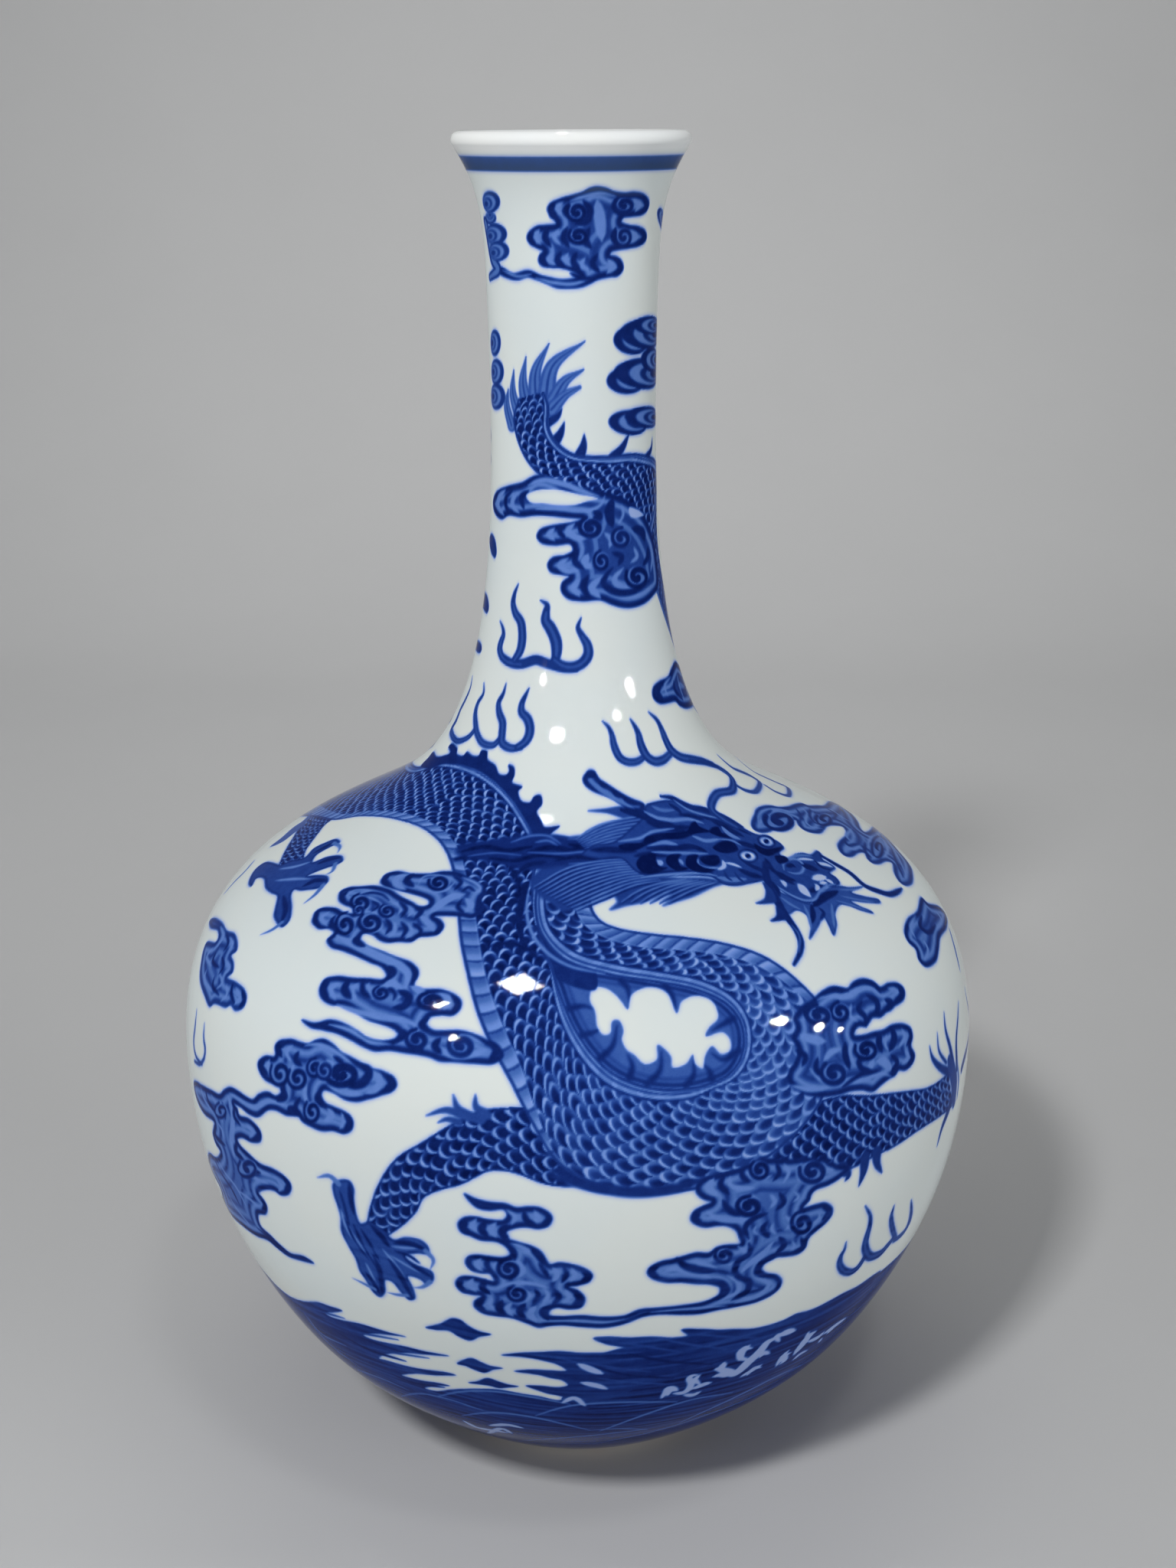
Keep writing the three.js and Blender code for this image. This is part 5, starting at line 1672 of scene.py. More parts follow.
HEAD_BLACKS = (
    ((808, 1105), (816, 1102), (838, 1100), (844, 1093), (858, 1089), (882, 1087), (898, 1084),
     (903, 1075), (908, 1073), (913, 1079), (927, 1086), (908, 1089), (893, 1095), (866, 1097),
     (845, 1104), (832, 1110), (812, 1110)),
    ((926, 1086), (930, 1081), (938, 1080), (943, 1088), (956, 1095), (938, 1092)),
    ((931, 1107), (940, 1100), (950, 1098), (960, 1102), (964, 1110), (954, 1114), (940, 1113)),
    ((838, 1118), (856, 1116), (857, 1126), (863, 1132), (872, 1133), (858, 1140), (840, 1140),
     (831, 1128)),
    ((872, 1118), (890, 1116), (886, 1122), (889, 1131), (899, 1134), (887, 1138), (876, 1133),
     (870, 1126)),
    ((898, 1118), (912, 1117), (910, 1126), (920, 1133), (934, 1136), (925, 1140), (908, 1138),
     (896, 1130)),
    ((914, 1120), (926, 1117), (938, 1118), (940, 1127), (932, 1131), (918, 1127)),
    ((985, 1102), (998, 1108), (1010, 1108), (1022, 1106), (1016, 1113), (1004, 1118), (990, 1112)),
    ((1012, 1118), (1026, 1119), (1030, 1124), (1018, 1128)),
)
# Strokes on the head: ink, width and line
HEAD_STROKES = (
    (0.88, 14, (812, 1058), (838, 1064), (866, 1076), (892, 1085)),
    (0.3, 7, (842, 1060), (858, 1068), (878, 1071), (900, 1070), (918, 1075)),
    (0.8, 9, (863, 1040), (880, 1043), (898, 1053), (922, 1058), (946, 1067), (970, 1080)),
    (0.3, 4, (880, 1045), (898, 1057), (922, 1065), (942, 1069)),
    (0.85, 6, (874, 1050), (886, 1058), (890, 1063)), (0.4, 6, (852, 1053), (864, 1058), (880, 1058)),
    (0.85, 6, (914, 1066), (934, 1072), (958, 1080), (980, 1090)),
    (0.3, 5, (808, 1099), (838, 1094), (850, 1087), (880, 1082)),
    (0.32, 8, (846, 1104), (866, 1100), (884, 1103)), (0.3, 7, (905, 1092), (922, 1098), (940, 1096)),
    (0.3, 8, (943, 1080), (952, 1089), (966, 1096)), (0.32, 6, (852, 1113), (886, 1114), (924, 1115)),
    (0.9, 8, (890, 1104), (906, 1106), (922, 1112)),
    (0.92, 9, (690, 1152), (682, 1176), (678, 1206), (684, 1236)),
    (0.3, 6, (838, 1146), (862, 1143), (892, 1141), (922, 1141), (936, 1144)),
    (0.28, 6, (882, 1126), (888, 1124), (892, 1129)),
    (0.25, 5, (911, 1120), (912, 1129), (924, 1134), (938, 1133)),
    (0.2, 8, (859, 1124), (863, 1127), (860, 1130)), (0.12, 7, (944, 1124), (946, 1131), (938, 1136)),
    (0.1, 6, (948, 1127), (958, 1129), (968, 1133)), (0.35, 9, (938, 1146), (954, 1149), (974, 1148)),
    (0.75, 4, (946, 1138), (950, 1146), (956, 1150)), (0.75, 4, (960, 1140), (966, 1148), (972, 1152)),
    (0.85, 8, (972, 1126), (984, 1132), (1000, 1140), (1006, 1152)),
    (0.3, 4, (940, 1096), (956, 1098), (968, 1104)),
    (0.3, 5, (1024, 1136), (1023, 1128), (1032, 1122), (1044, 1124), (1050, 1134), (1044, 1141),
     (1030, 1139)),
    (0.9, 8, (1028, 1132), (1034, 1130), (1038, 1132)),
    (0.9, 9, (1048, 1130), (1058, 1134), (1066, 1137)),
    (0.9, 9, (1018, 1140), (1028, 1147), (1038, 1150)),
    (0.35, 5, (1030, 1121), (1044, 1117), (1060, 1118)),
    (0.1, 6, (1042, 1122), (1052, 1122), (1062, 1123)),
    (0.1, 8, (1066, 1127), (1078, 1129), (1087, 1132)),
    (0.85, 5, (1064, 1124), (1074, 1133), (1086, 1136)),
    (0.08, 13, (1062, 1148), (1070, 1146), (1078, 1145)),
    (0.1, 8, (1079, 1149), (1084, 1151), (1088, 1154)),
    (0.1, 7, (1071, 1154), (1076, 1153), (1080, 1153)),
    (0.1, 8, (1065, 1155), (1068, 1158), (1066, 1163)),
    (0.12, 8, (1020, 1150), (1024, 1153), (1026, 1158)),
    (0.3, 5, (1010, 1154), (1028, 1166), (1048, 1175), (1062, 1176), (1070, 1166), (1078, 1158),
     (1092, 1155)),
    (0.88, 8, (1000, 1148), (1014, 1160), (1018, 1170)),
)
HEAD_SHADES = (
    (10, (772, 1110), (800, 1110), (830, 1112)), (12, (846, 1074), (880, 1082), (900, 1080)),
    (10, (846, 1108), (880, 1108), (910, 1106)), (10, (830, 1118), (850, 1116), (870, 1118)),
    (8, (836, 1140), (880, 1140), (930, 1140)), (10, (930, 1072), (950, 1082), (970, 1092)),
    (10, (964, 1100), (978, 1104), (990, 1108)), (10, (966, 1136), (980, 1142), (996, 1146)),
    (9, (1010, 1136), (1022, 1146), (1036, 1154)), (9, (1046, 1128), (1058, 1132), (1068, 1136)),
    (8, (1000, 1122), (1006, 1132), (1012, 1140)), (8, (1052, 1166), (1064, 1162), (1074, 1156)),
    (7, (888, 1064), (904, 1066), (918, 1070)), (7, (940, 1092), (952, 1090), (962, 1092)),
)
# The eyes: middle, half width, half height and tilt
EYES = ((1001, 1099, 10, 5.5, 20), (977, 1118, 11, 6.5, 12))
FANG = ((1040, 1153), (1047, 1154), (1055, 1160), (1061, 1173), (1053, 1171), (1043, 1164))
BEARD_STROKES = (
    (0.92, 12, (1062, 1184), (1076, 1172), (1094, 1164)),
    (0.92, 8, (1060, 1182), (1062, 1194), (1060, 1206)),
    (0.36, 5, (1050, 1182), (1056, 1196), (1060, 1214)),
    (0.36, 5, (1086, 1180), (1088, 1196), (1090, 1212)),
    (0.38, 4, (1096, 1162), (1112, 1162), (1124, 1160)),
    (0.38, 4, (1098, 1170), (1120, 1175), (1142, 1178)),
    (0.38, 4, (1092, 1176), (1112, 1182), (1134, 1190)),
    (0.36, 5, (1020, 1172), (1034, 1182), (1046, 1188)),
    (0.85, 5, (1070, 1186), (1076, 1192), (1072, 1202)),
)


NAPE = (
    (600, 1104), (640, 1097), (690, 1090), (716, 1089), (736, 1094), (760, 1092), (830, 1096),
    (836, 1128), (790, 1130), (740, 1130), (700, 1136), (660, 1130), (622, 1122), (596, 1114),
)
# The hairs of the mane: the first and the last of a lock, and the number between them
LOCKS = (
    (((846, 1064), (815, 1070), (786, 1078), (752, 1096)),
     ((856, 1092), (826, 1094), (796, 1100), (764, 1108)), 7),
    (((836, 1122), (790, 1124), (742, 1134), (698, 1158)),
     ((862, 1150), (830, 1156), (796, 1170), (752, 1188)), 11),
    (((896, 1148), (862, 1154), (834, 1164), (812, 1178)),
     ((936, 1152), (912, 1160), (894, 1168), (874, 1178)), 6),
)
NAPE_STROKES = (
    (0.97, 8, (604, 1112), (632, 1106), (662, 1111), (694, 1106)),
    (0.97, 7, (640, 1121), (672, 1124), (704, 1117), (738, 1121)),
    (0.96, 9, (690, 1112), (720, 1107), (748, 1111), (776, 1105)),
    (0.97, 10, (744, 1103), (764, 1106), (784, 1101), (806, 1105)),
    (0.95, 7, (726, 1124), (756, 1119), (786, 1123), (818, 1121)),
    (0.38, 4, (668, 1100), (692, 1092), (716, 1092), (732, 1102)),
    (0.38, 4, (700, 1100), (716, 1098), (728, 1104)),
    (0.4, 4, (690, 1113), (730, 1115), (770, 1112), (826, 1115)),
    (0.42, 3, (612, 1118), (646, 1114), (680, 1117)), (0.4, 3, (744, 1128), (780, 1127), (816, 1129)),
    (0.4, 3, (742, 1096), (770, 1096), (800, 1097)), (0.92, 8, (678, 1140), (690, 1130), (712, 1126)),
)


# The whiskers, with their widths, and the tufts of hair behind the jaw
FRONT_WHISKER = (
    (1073, 1118), (1090, 1128), (1110, 1140), (1130, 1157), (1147, 1164), (1163, 1168), (1173, 1164),
    (1178, 1160),
)
FRONT_WHISKER_WIDTHS = (6, 8, 9, 9, 10, 9, 7, 2)
LOWER_WHISKER = (
    (1000, 1128), (1001, 1146), (1008, 1163), (1018, 1182), (1028, 1198), (1040, 1215), (1046, 1230),
    (1045, 1244), (1037, 1260),
)
LOWER_WHISKER_WIDTHS = (9, 11, 12, 12, 11, 9, 9, 7, 4)
LOWER_WHISKER_LIGHT = ((1034, 1208), (1044, 1222), (1044, 1244))
JAW_TUFT = ((996, 1152), (1000, 1164), (998, 1174), (987, 1180), (1004, 1180), (1014, 1178), (1008, 1162))
CHIN_TUFT = ((1014, 1184), (1014, 1196), (1006, 1203), (1022, 1202), (1030, 1200), (1024, 1190))
HORN_LIGHTS = ((8, (769, 1019), (784, 1031), (806, 1044), (828, 1056)),)
HORN_DARKS = (
    (11, (766, 1013), (772, 1011), (778, 1014)), (6, (782, 1020), (790, 1027), (796, 1029)),
    (7, (800, 1033), (806, 1038), (812, 1041)), (7, (814, 1042), (822, 1047), (832, 1051)),
)
HAIR_INK = 0.88
HAIR_GAP_INK = 0.34
# How far a hair lies under the pale gap over it
HAIR_DROP = (0, 2.4)
# An eye's rings: how much wider and higher than the eye each is, and its ink
EYE_RINGS = ((2.5, 2.5, 0.85), (0, 0, 0.3), (-2, -1.6, 0.06))
PUPIL = (3.4, 2.8, 0.98)


def mane():
    """The mane behind the head: soft ground, dark strokes at the nape, and locks of fine hairs."""
    fill(UPPER_MANE, tone=0.62, edge=0.9)
    fill(LOWER_MANE, tone=0.66, edge=1.4)
    fill(NAPE, tone=0.8, edge=1.8)
    for tone, width, *points in NAPE_STROKES:
        brush(points, width, tone, edge=0.8, ends=0.35)
    for first, last, count in LOCKS:
        for number in range(count):
            points = np.array(first) + (np.array(last) - first) * (number / (count - 1))
            brush(points, width=4.4, tone=HAIR_GAP_INK, edge=0.6)
            brush(points + HAIR_DROP, width=3, tone=HAIR_INK, edge=0.6)


def eye(x, y, wide, high, tilt):
    """An eye: a dark lid round a pale ball with its pupil."""
    for wider, higher, tone in EYE_RINGS:
        spot(x, y, wide + wider, high + higher, tone, tilt)
    spot(x, y, *PUPIL, tilt)


def head():
    """The head from its horn to its beard and whiskers."""
    motif(HORN, HORN_LIGHTS, HORN_DARKS, tone=0.5, rim=0.82, light=0.34)
    fill(HEAD, tone=0.64, rim=0.78, rim_width=0.5)
    for width, *points in HEAD_SHADES:
        brush(points, width, tone=0.9, edge=1.0, ends=0.3)
    fill(BEARD, tone=0.56, rim=0.7, rim_width=0.4)
    for tone, width, *points in BEARD_STROKES:
        brush(points, width, tone, edge=0.5)
    for tone, width, *points in HEAD_STROKES:
        brush(points, width, tone, edge=0.45, ends=0.35)
    for ring in HEAD_BLACKS:
        fill(ring, tone=1.0)
    fill(FANG, tone=0.1, rim=0.6, rim_width=0.3)
    for numbers in EYES:
        eye(*numbers)
    stroke(FRONT_WHISKER, FRONT_WHISKER_WIDTHS, tone=0.82)
    stroke(LOWER_WHISKER, LOWER_WHISKER_WIDTHS, tone=0.84)
    brush(LOWER_WHISKER_LIGHT, width=3, tone=0.4)
    fill(JAW_TUFT, tone=0.68)
    fill(CHIN_TUFT, tone=0.8)


# The edge of the waves, from the left side of the front to the right, and the crests along it
WAVE_EDGE = (
    (345, 1661), (365, 1686), (385, 1704), (420, 1730), (455, 1752), (490, 1778), (520, 1800),
    (545, 1814), (575, 1819), (600, 1817), (650, 1817), (700, 1824), (732, 1830), (744, 1806),
    (752, 1784), (775, 1770), (815, 1760), (850, 1752), (900, 1745), (960, 1738), (1000, 1733),
    (1040, 1718), (1080, 1702), (1120, 1681), (1150, 1661),
)
WAVE_FRINGE = (
    (345, 1661), (362, 1680), (380, 1694), (397, 1700), (415, 1701), (430, 1706), (447, 1712),
    (435, 1714), (425, 1715), (430, 1719), (445, 1724), (470, 1729), (490, 1735), (510, 1741),
    (530, 1746), (505, 1743), (485, 1742), (475, 1744), (485, 1749), (505, 1754), (530, 1759),
    (555, 1765), (586, 1771), (555, 1769), (525, 1767), (500, 1770), (495, 1774), (505, 1777),
    (530, 1784), (555, 1789), (580, 1792), (595, 1796), (567, 1796), (545, 1794), (525, 1796),
    (537, 1800), (555, 1804), (570, 1806), (587, 1810), (570, 1810), (555, 1813), (570, 1817),
    (590, 1815), (620, 1814), (650, 1815), (680, 1820), (705, 1824), (730, 1829), (740, 1826),
    (730, 1823), (715, 1820), (700, 1815), (687, 1810), (705, 1810), (730, 1812), (742, 1809),
    (735, 1803), (720, 1800), (705, 1796), (672, 1791), (692, 1789), (717, 1790), (740, 1790),
    (730, 1783), (705, 1776), (680, 1772), (655, 1770), (680, 1767), (705, 1766), (730, 1765),
    (760, 1767), (790, 1767), (815, 1769), (838, 1766), (815, 1760), (790, 1755), (775, 1748),
    (790, 1746), (820, 1747), (852, 1746), (880, 1747), (898, 1744), (890, 1737), (915, 1736),
    (940, 1737), (960, 1736), (980, 1736), (1000, 1732), (1020, 1726), (1040, 1716), (1060, 1711),
    (1080, 1701), (1100, 1690), (1120, 1680), (1140, 1666), (1150, 1660), (1132, 1682), (1104, 1706),
    (1070, 1728), (1030, 1748), (980, 1764), (930, 1780), (870, 1800), (810, 1822), (750, 1846),
    (690, 1850), (620, 1846), (560, 1838), (510, 1820), (460, 1786), (420, 1750), (385, 1712),
)
# Strokes in the waves: ink, width and line, then width and line
WAVE_HAIRS = (
    (0.62, 3, (760, 1778), (800, 1786), (850, 1792)), (0.62, 3, (800, 1752), (840, 1758), (890, 1766)),
    (0.6, 3, (860, 1748), (900, 1756), (950, 1762)), (0.62, 3, (900, 1742), (950, 1746), (1000, 1748)),
    (0.62, 3, (700, 1770), (740, 1776), (790, 1790)), (0.6, 3, (780, 1800), (830, 1806), (880, 1808)),
    (0.62, 3, (940, 1760), (980, 1752), (1020, 1740)),
    (0.62, 3, (1040, 1730), (1080, 1712), (1120, 1688)), (0.92, 4, (770, 1784), (820, 1796), (880, 1800)),
    (0.92, 4, (820, 1768), (870, 1778), (930, 1782)), (0.62, 3, (420, 1722), (460, 1738), (520, 1750)),
    (0.62, 3, (450, 1750), (500, 1764), (560, 1774)), (0.62, 3, (470, 1772), (520, 1788), (570, 1796)),
    (0.92, 4, (440, 1740), (480, 1762), (530, 1778)), (0.62, 3, (380, 1698), (410, 1710), (450, 1722)),
    (0.9, 4, (510, 1794), (540, 1806), (580, 1812)),
)
DIAMONDS = (
    ((556, 1734), (575, 1729), (590, 1722), (601, 1724), (612, 1732), (626, 1739), (641, 1743),
     (626, 1746), (614, 1751), (600, 1746), (586, 1738), (570, 1737)),
    ((597, 1781), (606, 1776), (616, 1774), (628, 1779), (640, 1784), (656, 1787), (644, 1789),
     (633, 1793), (620, 1789), (608, 1784)),
    ((612, 1806), (624, 1804), (636, 1800), (650, 1804), (662, 1808), (677, 1811), (664, 1812),
     (652, 1813), (640, 1810), (626, 1808)),
)
WAVE_LINES = (
    (4, (572, 1824), (600, 1818), (640, 1817), (690, 1824), (744, 1834)),
    (3, (524, 1824), (545, 1820), (580, 1826), (630, 1842)),
    (4, (604, 1849), (640, 1845), (690, 1850), (770, 1868)),
    (4, (700, 1849), (740, 1837), (800, 1832), (884, 1831)),
    (4, (784, 1869), (850, 1845), (900, 1829), (956, 1819)),
    (4, (888, 1858), (960, 1825), (1018, 1796), (1046, 1783)), (3, (680, 1882), (760, 1876), (845, 1867)),
    (3, (770, 1868), (810, 1866), (845, 1867)), (3, (775, 1886), (860, 1868), (950, 1838), (1040, 1798)),
    (3, (398, 1716), (420, 1742), (452, 1758)), (2.5, (466, 1789), (500, 1801), (534, 1816)),
    (2.5, (400, 1722), (430, 1755), (470, 1786)),
)
FOAM = (
    (9, (606, 1856), (622, 1864), (642, 1868), (662, 1871)), (8, (640, 1862), (662, 1861), (682, 1865)),
    (7, (638, 1872), (655, 1866), (668, 1872)), (10, (872, 1822), (874, 1814), (884, 1816)),
    (8, (880, 1820), (895, 1818), (903, 1808), (900, 1799), (910, 1796)),
    (8, (905, 1814), (920, 1808), (928, 1806)),
    (13, (936, 1788), (946, 1790), (960, 1794), (974, 1782), (990, 1768), (1004, 1752), (1012, 1748)),
    (9, (940, 1790), (944, 1784), (946, 1780)), (10, (966, 1776), (970, 1764), (978, 1758)),
    (7, (978, 1776), (992, 1768), (1004, 1766)), (7, (968, 1798), (982, 1790), (994, 1783)),
    (10, (1018, 1744), (1028, 1740), (1038, 1738)),
    (12, (1038, 1768), (1048, 1756), (1056, 1746), (1064, 1740)),
    (8, (1056, 1752), (1068, 1747), (1076, 1740)), (8, (1076, 1742), (1090, 1732), (1104, 1722)),
    (7, (1014, 1784), (1022, 1772), (1030, 1764)), (6, (1036, 1776), (1046, 1768), (1054, 1764)),
    (9, (756, 1782), (775, 1790), (786, 1794)), (8, (760, 1806), (780, 1810), (792, 1814)),
    (7, (735, 1832), (750, 1826), (764, 1836)),
    (7, (982, 1761), (974, 1762), (966, 1766), (968, 1774), (978, 1776)),
    (6, (1005, 1768), (998, 1768), (992, 1773)), (6, (994, 1786), (985, 1787), (976, 1796)),
    (7, (1018, 1752), (1014, 1746), (1024, 1742)), (6, (1056, 1740), (1054, 1746), (1055, 1752)),
    (5, (1073, 1748), (1070, 1753)), (5, (1047, 1767), (1038, 1774)), (6, (1090, 1733), (1080, 1742)),
    (6, (1033, 1767), (1027, 1770), (1026, 1776), (1018, 1782)), (6, (1020, 1772), (1023, 1778)),
    (7, (948, 1798), (940, 1796), (932, 1798)), (6, (872, 1812), (868, 1820), (864, 1826)),
    (7, (894, 1822), (905, 1822), (914, 1818)), (6, (914, 1808), (908, 1802), (914, 1796)),
)


# The water: the arc that it can reach, its ink, how it pales to its edge, and where the brush hairs stop
WATER_TOP = 160
WATER_INK = 0.8
WATER_STREAK = 0.05
WATER_PALER = 0.12
WATER_EDGE = 9
HAIR_TOP = 130
HAIR_WIDTH = 0.9
# Over this arc the hairs gain strength and the painted shade near the foot fades out, and over these inks
# they show
HAIR_RISE = (8, 30)
HAIR_WATER = (0.5, 0.68)
# How much wider than their tables the strokes in the waves are, and their inks
WAVE_HAIR_SWELL = 1.4
WAVE_LINE_SWELL = 1.45
FOAM_SWELL = 1.5
WAVE_LINE_INK = 0.36
FOAM_INK = 0.13
FRINGE_INK = 0.74
DIAMOND_INK = 0.76


def wave_ring():
    """The dark water all round the foot, up to the edge of the waves, which comes twice round the vase."""
    places = on_vase(np.array(WAVE_EDGE, float))[0]
    angles = np.concatenate([places[:, 0], places[:, 0] + math.pi]) % FULL_TURN
    tops = np.concatenate([places[:, 1], places[:, 1]])
    order = np.argsort(angles)
    angles, tops = angles[order], tops[order]
    spots = np.arange(COLUMNS) * ANGLE_STEP
    thrice = np.concatenate([angles - FULL_TURN, angles, angles + FULL_TURN])
    edge = np.interp(spots, thrice, np.tile(tops, 3))
    rows = np.arange(int(WATER_TOP / CANVAS_STEP))
    arc = rows[:, None] * CANVAS_STEP
    depth = edge[None] - arc
    wide_streak = np.sin(arc * 2.1 + 5 * np.sin(spots * 3)[None])
    fine_streak = np.sin(arc * 3.7 + 4 * np.sin(spots * 5 + 1)[None])
    paler = WATER_PALER * (1 - ease(0, WATER_EDGE, depth))
    tone = WATER_INK + WATER_STREAK * (wide_streak + fine_streak) - paler
    ink[rows] += (tone - ink[rows]) * ease(-0.3, 0.3, depth)


def brush_hairs():
    """The hairs of the brush in the water: lanes of paler and darker blue that run round the vase. Near the
    foot the water is also inked darker, as painted shade under the belly.
    """
    rows = np.arange(int(HAIR_TOP / CANVAS_STEP))
    arc = (rows * CANVAS_STEP)[:, None] + np.zeros((1, COLUMNS))
    angle = (np.arange(COLUMNS) * ANGLE_STEP)[None] + np.zeros_like(arc)
    lane = (arc + 3.0 * np.sin(3 * angle) + 1.2 * np.sin(7 * angle + 2)) / HAIR_WIDTH
    share = lane - np.floor(lane)
    tone = 0
    for step, weight in ((0, 1 - ease(0, 1, share)), (1, ease(0, 1, share))):
        number = np.floor(lane) + step
        turns = np.round(5 + 12 * chance(number, 3))
        swing = np.sin(turns * angle + 6.3 * chance(number, 8))
        tone = tone + weight * swing * (0.4 + 0.6 * chance(number, 5))
    away = ease(*HAIR_RISE, arc)
    water = ink[rows]
    # Near the foot the water gains ink as painted shade under the belly, fading out over HAIR_RISE
    change = 0.09 - 0.17 * away * 0.5 - (0.08 + 0.07 * away) * tone
    ink[rows] = water + ease(*HAIR_WATER, water) * change


def wave_fringe():
    """The crests along the edge of the water, and the small diamonds of foam on the left."""
    fill(WAVE_FRINGE, FRINGE_INK)
    for ring in DIAMONDS:
        fill(ring, DIAMOND_INK)


def wave_marks():
    """The strokes in the water: its hairs, the lines of the swell, and the bare foam."""
    for tone, width, *points in WAVE_HAIRS:
        brush(points, width * WAVE_HAIR_SWELL, tone)
    for width, *points in WAVE_LINES:
        brush(points, width * WAVE_LINE_SWELL, WAVE_LINE_INK, ends=0.4)
    for width, *points in FOAM:
        brush(points, width * FOAM_SWELL, FOAM_INK, edge=0.7, ends=0.4)


def copied(draw, pivot, degrees, height, size=1.0, mirror=False, spin=0):
    """Draw a motif again, with a point of it set at another angle and height of the vase."""
    with Placing(pivot, math.radians(degrees), height, size, mirror, math.radians(spin)):
        draw()


def hind_leg():
    """The fourth leg, a copy of the left one."""
    leg(LEFT_LEG, 3, fade_in=6)


# What the photograph doesn't show, all copies of the front's motifs: the motif and its point that is set
# down, the degrees from the front and the height where it goes, its size, whether it is mirrored, its turn
BACK_COPIES = (
    (middle_cloud, (526, 1262), -112, 112),
    (right_cloud, (1112, 1356), -146, 84, 1.0, True),
    (low_cloud, (850, 1620), 178, 96),
    (left_cloud, (390, 1470), 126, 96, 1.0, True),
    (curled_cloud, (1086, 1090), 128, 156, 1.0, True),
    (curled_cloud, (1086, 1090), -170, 140, 1.05),
    (curled_cloud, (1086, 1090), -150, 206, 0.8, False, 8),
    (right_cloud, (1112, 1356), 100, 128, 0.9, True),
    (four_flames, (705, 860), -118, 66),
    (four_flames, (705, 860), 155, 128, 1.0, True),
    (four_flames, (705, 860), 100, 66),
    (four_flames, (705, 860), 168, 222, 0.9),
    (neck_cloud, (768, 310), 178, 312),
    (neck_cloud, (768, 310), 150, 262, 0.9, True),
    (neck_cloud, (768, 310), -120, 272, 0.8),
)
HIND_LEG_PLACE = ((715, 1500), -160, 160, 0.9)
WAVES_PIVOT = (750, 1760)


def twice(draw):
    """Draw a part of the waves in front, and again behind."""
    draw()
    height = float(height_at(seen(WAVES_PIVOT)[0][0][1]))
    with Placing(WAVES_PIVOT, math.pi, height):
        draw()


def paint():
    """The whole painting, from what lies behind to what lies on top."""
    rim_line()
    neck_clouds()
    for copy in BACK_COPIES:
        copied(*copy)
    copied(hind_leg, *HIND_LEG_PLACE)
    dragon_body()
    copied(left_foot, *HIND_LEG_PLACE)
    neck_low_cloud()
    mane()
    feet()
    clouds()
    head()
    all_flames()
    wave_ring()
    twice(wave_fringe)
    brush_hairs()
    twice(wave_marks)


paint()

# The soft halo round the ink, where the cobalt bled into the glaze: its strength, and its reach in steps
HALO_SHARE = 0.4
HALO_REACH = 2


def spread(values, reach):
    """A soft blur of the canvas in both directions."""
    for axis in (0, 1):
        total = values.copy()
        for shift in range(1, reach + 1):
            total += np.roll(values, shift, axis) + np.roll(values, -shift, axis)
        values = total / (2 * reach + 1)
    return values


finished_ink = np.maximum(ink, HALO_SHARE * spread(spread(ink, HALO_REACH), HALO_REACH))


def ink_at(angles, arcs):
    """The finished ink at each row of arc and each column of angle."""
    row = np.clip(arcs / CANVAS_STEP, 0, ROWS - 1.001)
    column = angles / ANGLE_STEP
    low, left = row.astype(int), np.floor(column).astype(int)
    up, right = (row - low)[:, None], (column - left)[None]
    near, far = left % COLUMNS, (left + 1) % COLUMNS
    below = finished_ink[low][:, near] * (1 - right) + finished_ink[low][:, far] * right
    above = finished_ink[low + 1][:, near] * (1 - right) + finished_ink[low + 1][:, far] * right
    return below * (1 - up) + above * up


# Millimetres between the points of the painted skins: along the profile, and round the widest ring
ROW_GRAIN = 0.34
COLUMN_GRAIN = 0.41
BELLY_COLUMNS = int(FULL_TURN * BELLY_RADIUS / COLUMN_GRAIN)
NECK_COLUMNS = int(FULL_TURN * radius_at(arc_at(NECK_SEAM)) / COLUMN_GRAIN)
MOUTH_COLUMNS = int(FULL_TURN * MOUTH_RADIUS / COLUMN_GRAIN)
# How much closer together the columns stand at the front
FRONT_SHARE = 0.24
# Half the stretch of the profile over which its direction is taken
WAY_REACH = 0.3

# Rows and columns of the plain faces
WALL_ROWS = 40
WALL_COLUMNS = 144
FLOOR_ROWS = 10
LIP_ROWS = 24
RING_COLUMNS = 288
ROUND_ROWS = 5
# The flat of the floor and of the base inside the smallest ring, and small steps beside sharp edges
CAP_RADIUS = 6
BASE_BEVEL = 1
FLOOR_OVERLAP = 0.2

# Shares of the bake's map: the skin in four quarters on the left, the walls, floor and base on the right
SKIN_MAP = (0, 0, 0.88, 1)
WALL_MAP = (0.88, 0, 1, 0.86)
FLOOR_MAP = (0.88, 0.86, 1, 0.93)
BASE_MAP = (0.88, 0.93, 1, 1)
BASE_CAP_MAP = (0.90, 0.935, 0.93, 0.965)
FLOOR_CAP_MAP = (0.90, 0.965, 0.93, 0.995)
WHOLE_MAP = (0, 0, 1, 1)
MAP_MARGIN = 0.004
QUARTERS = 4


def profile_way(arcs):
    """Directions along the outer profile, as radius and height."""
    low, high = np.clip(arcs - WAY_REACH, 0, ARC_LENGTH), np.clip(arcs + WAY_REACH, 0, ARC_LENGTH)
    way = np.stack([radius_at(high) - radius_at(low), height_at(high) - height_at(low)], 1)
    return way / np.hypot(way[:, 0], way[:, 1])[:, None]


def outward(way):
    """Directions turned from along a line to out of it."""
    return np.stack([way[:, 1], -way[:, 0]], 1)


def directions_of(points):
    """Outward directions of a line of points, taken from the line itself."""
    way = np.gradient(np.asarray(points, float), axis=0)
    return outward(way / np.hypot(way[:, 0], way[:, 1])[:, None])


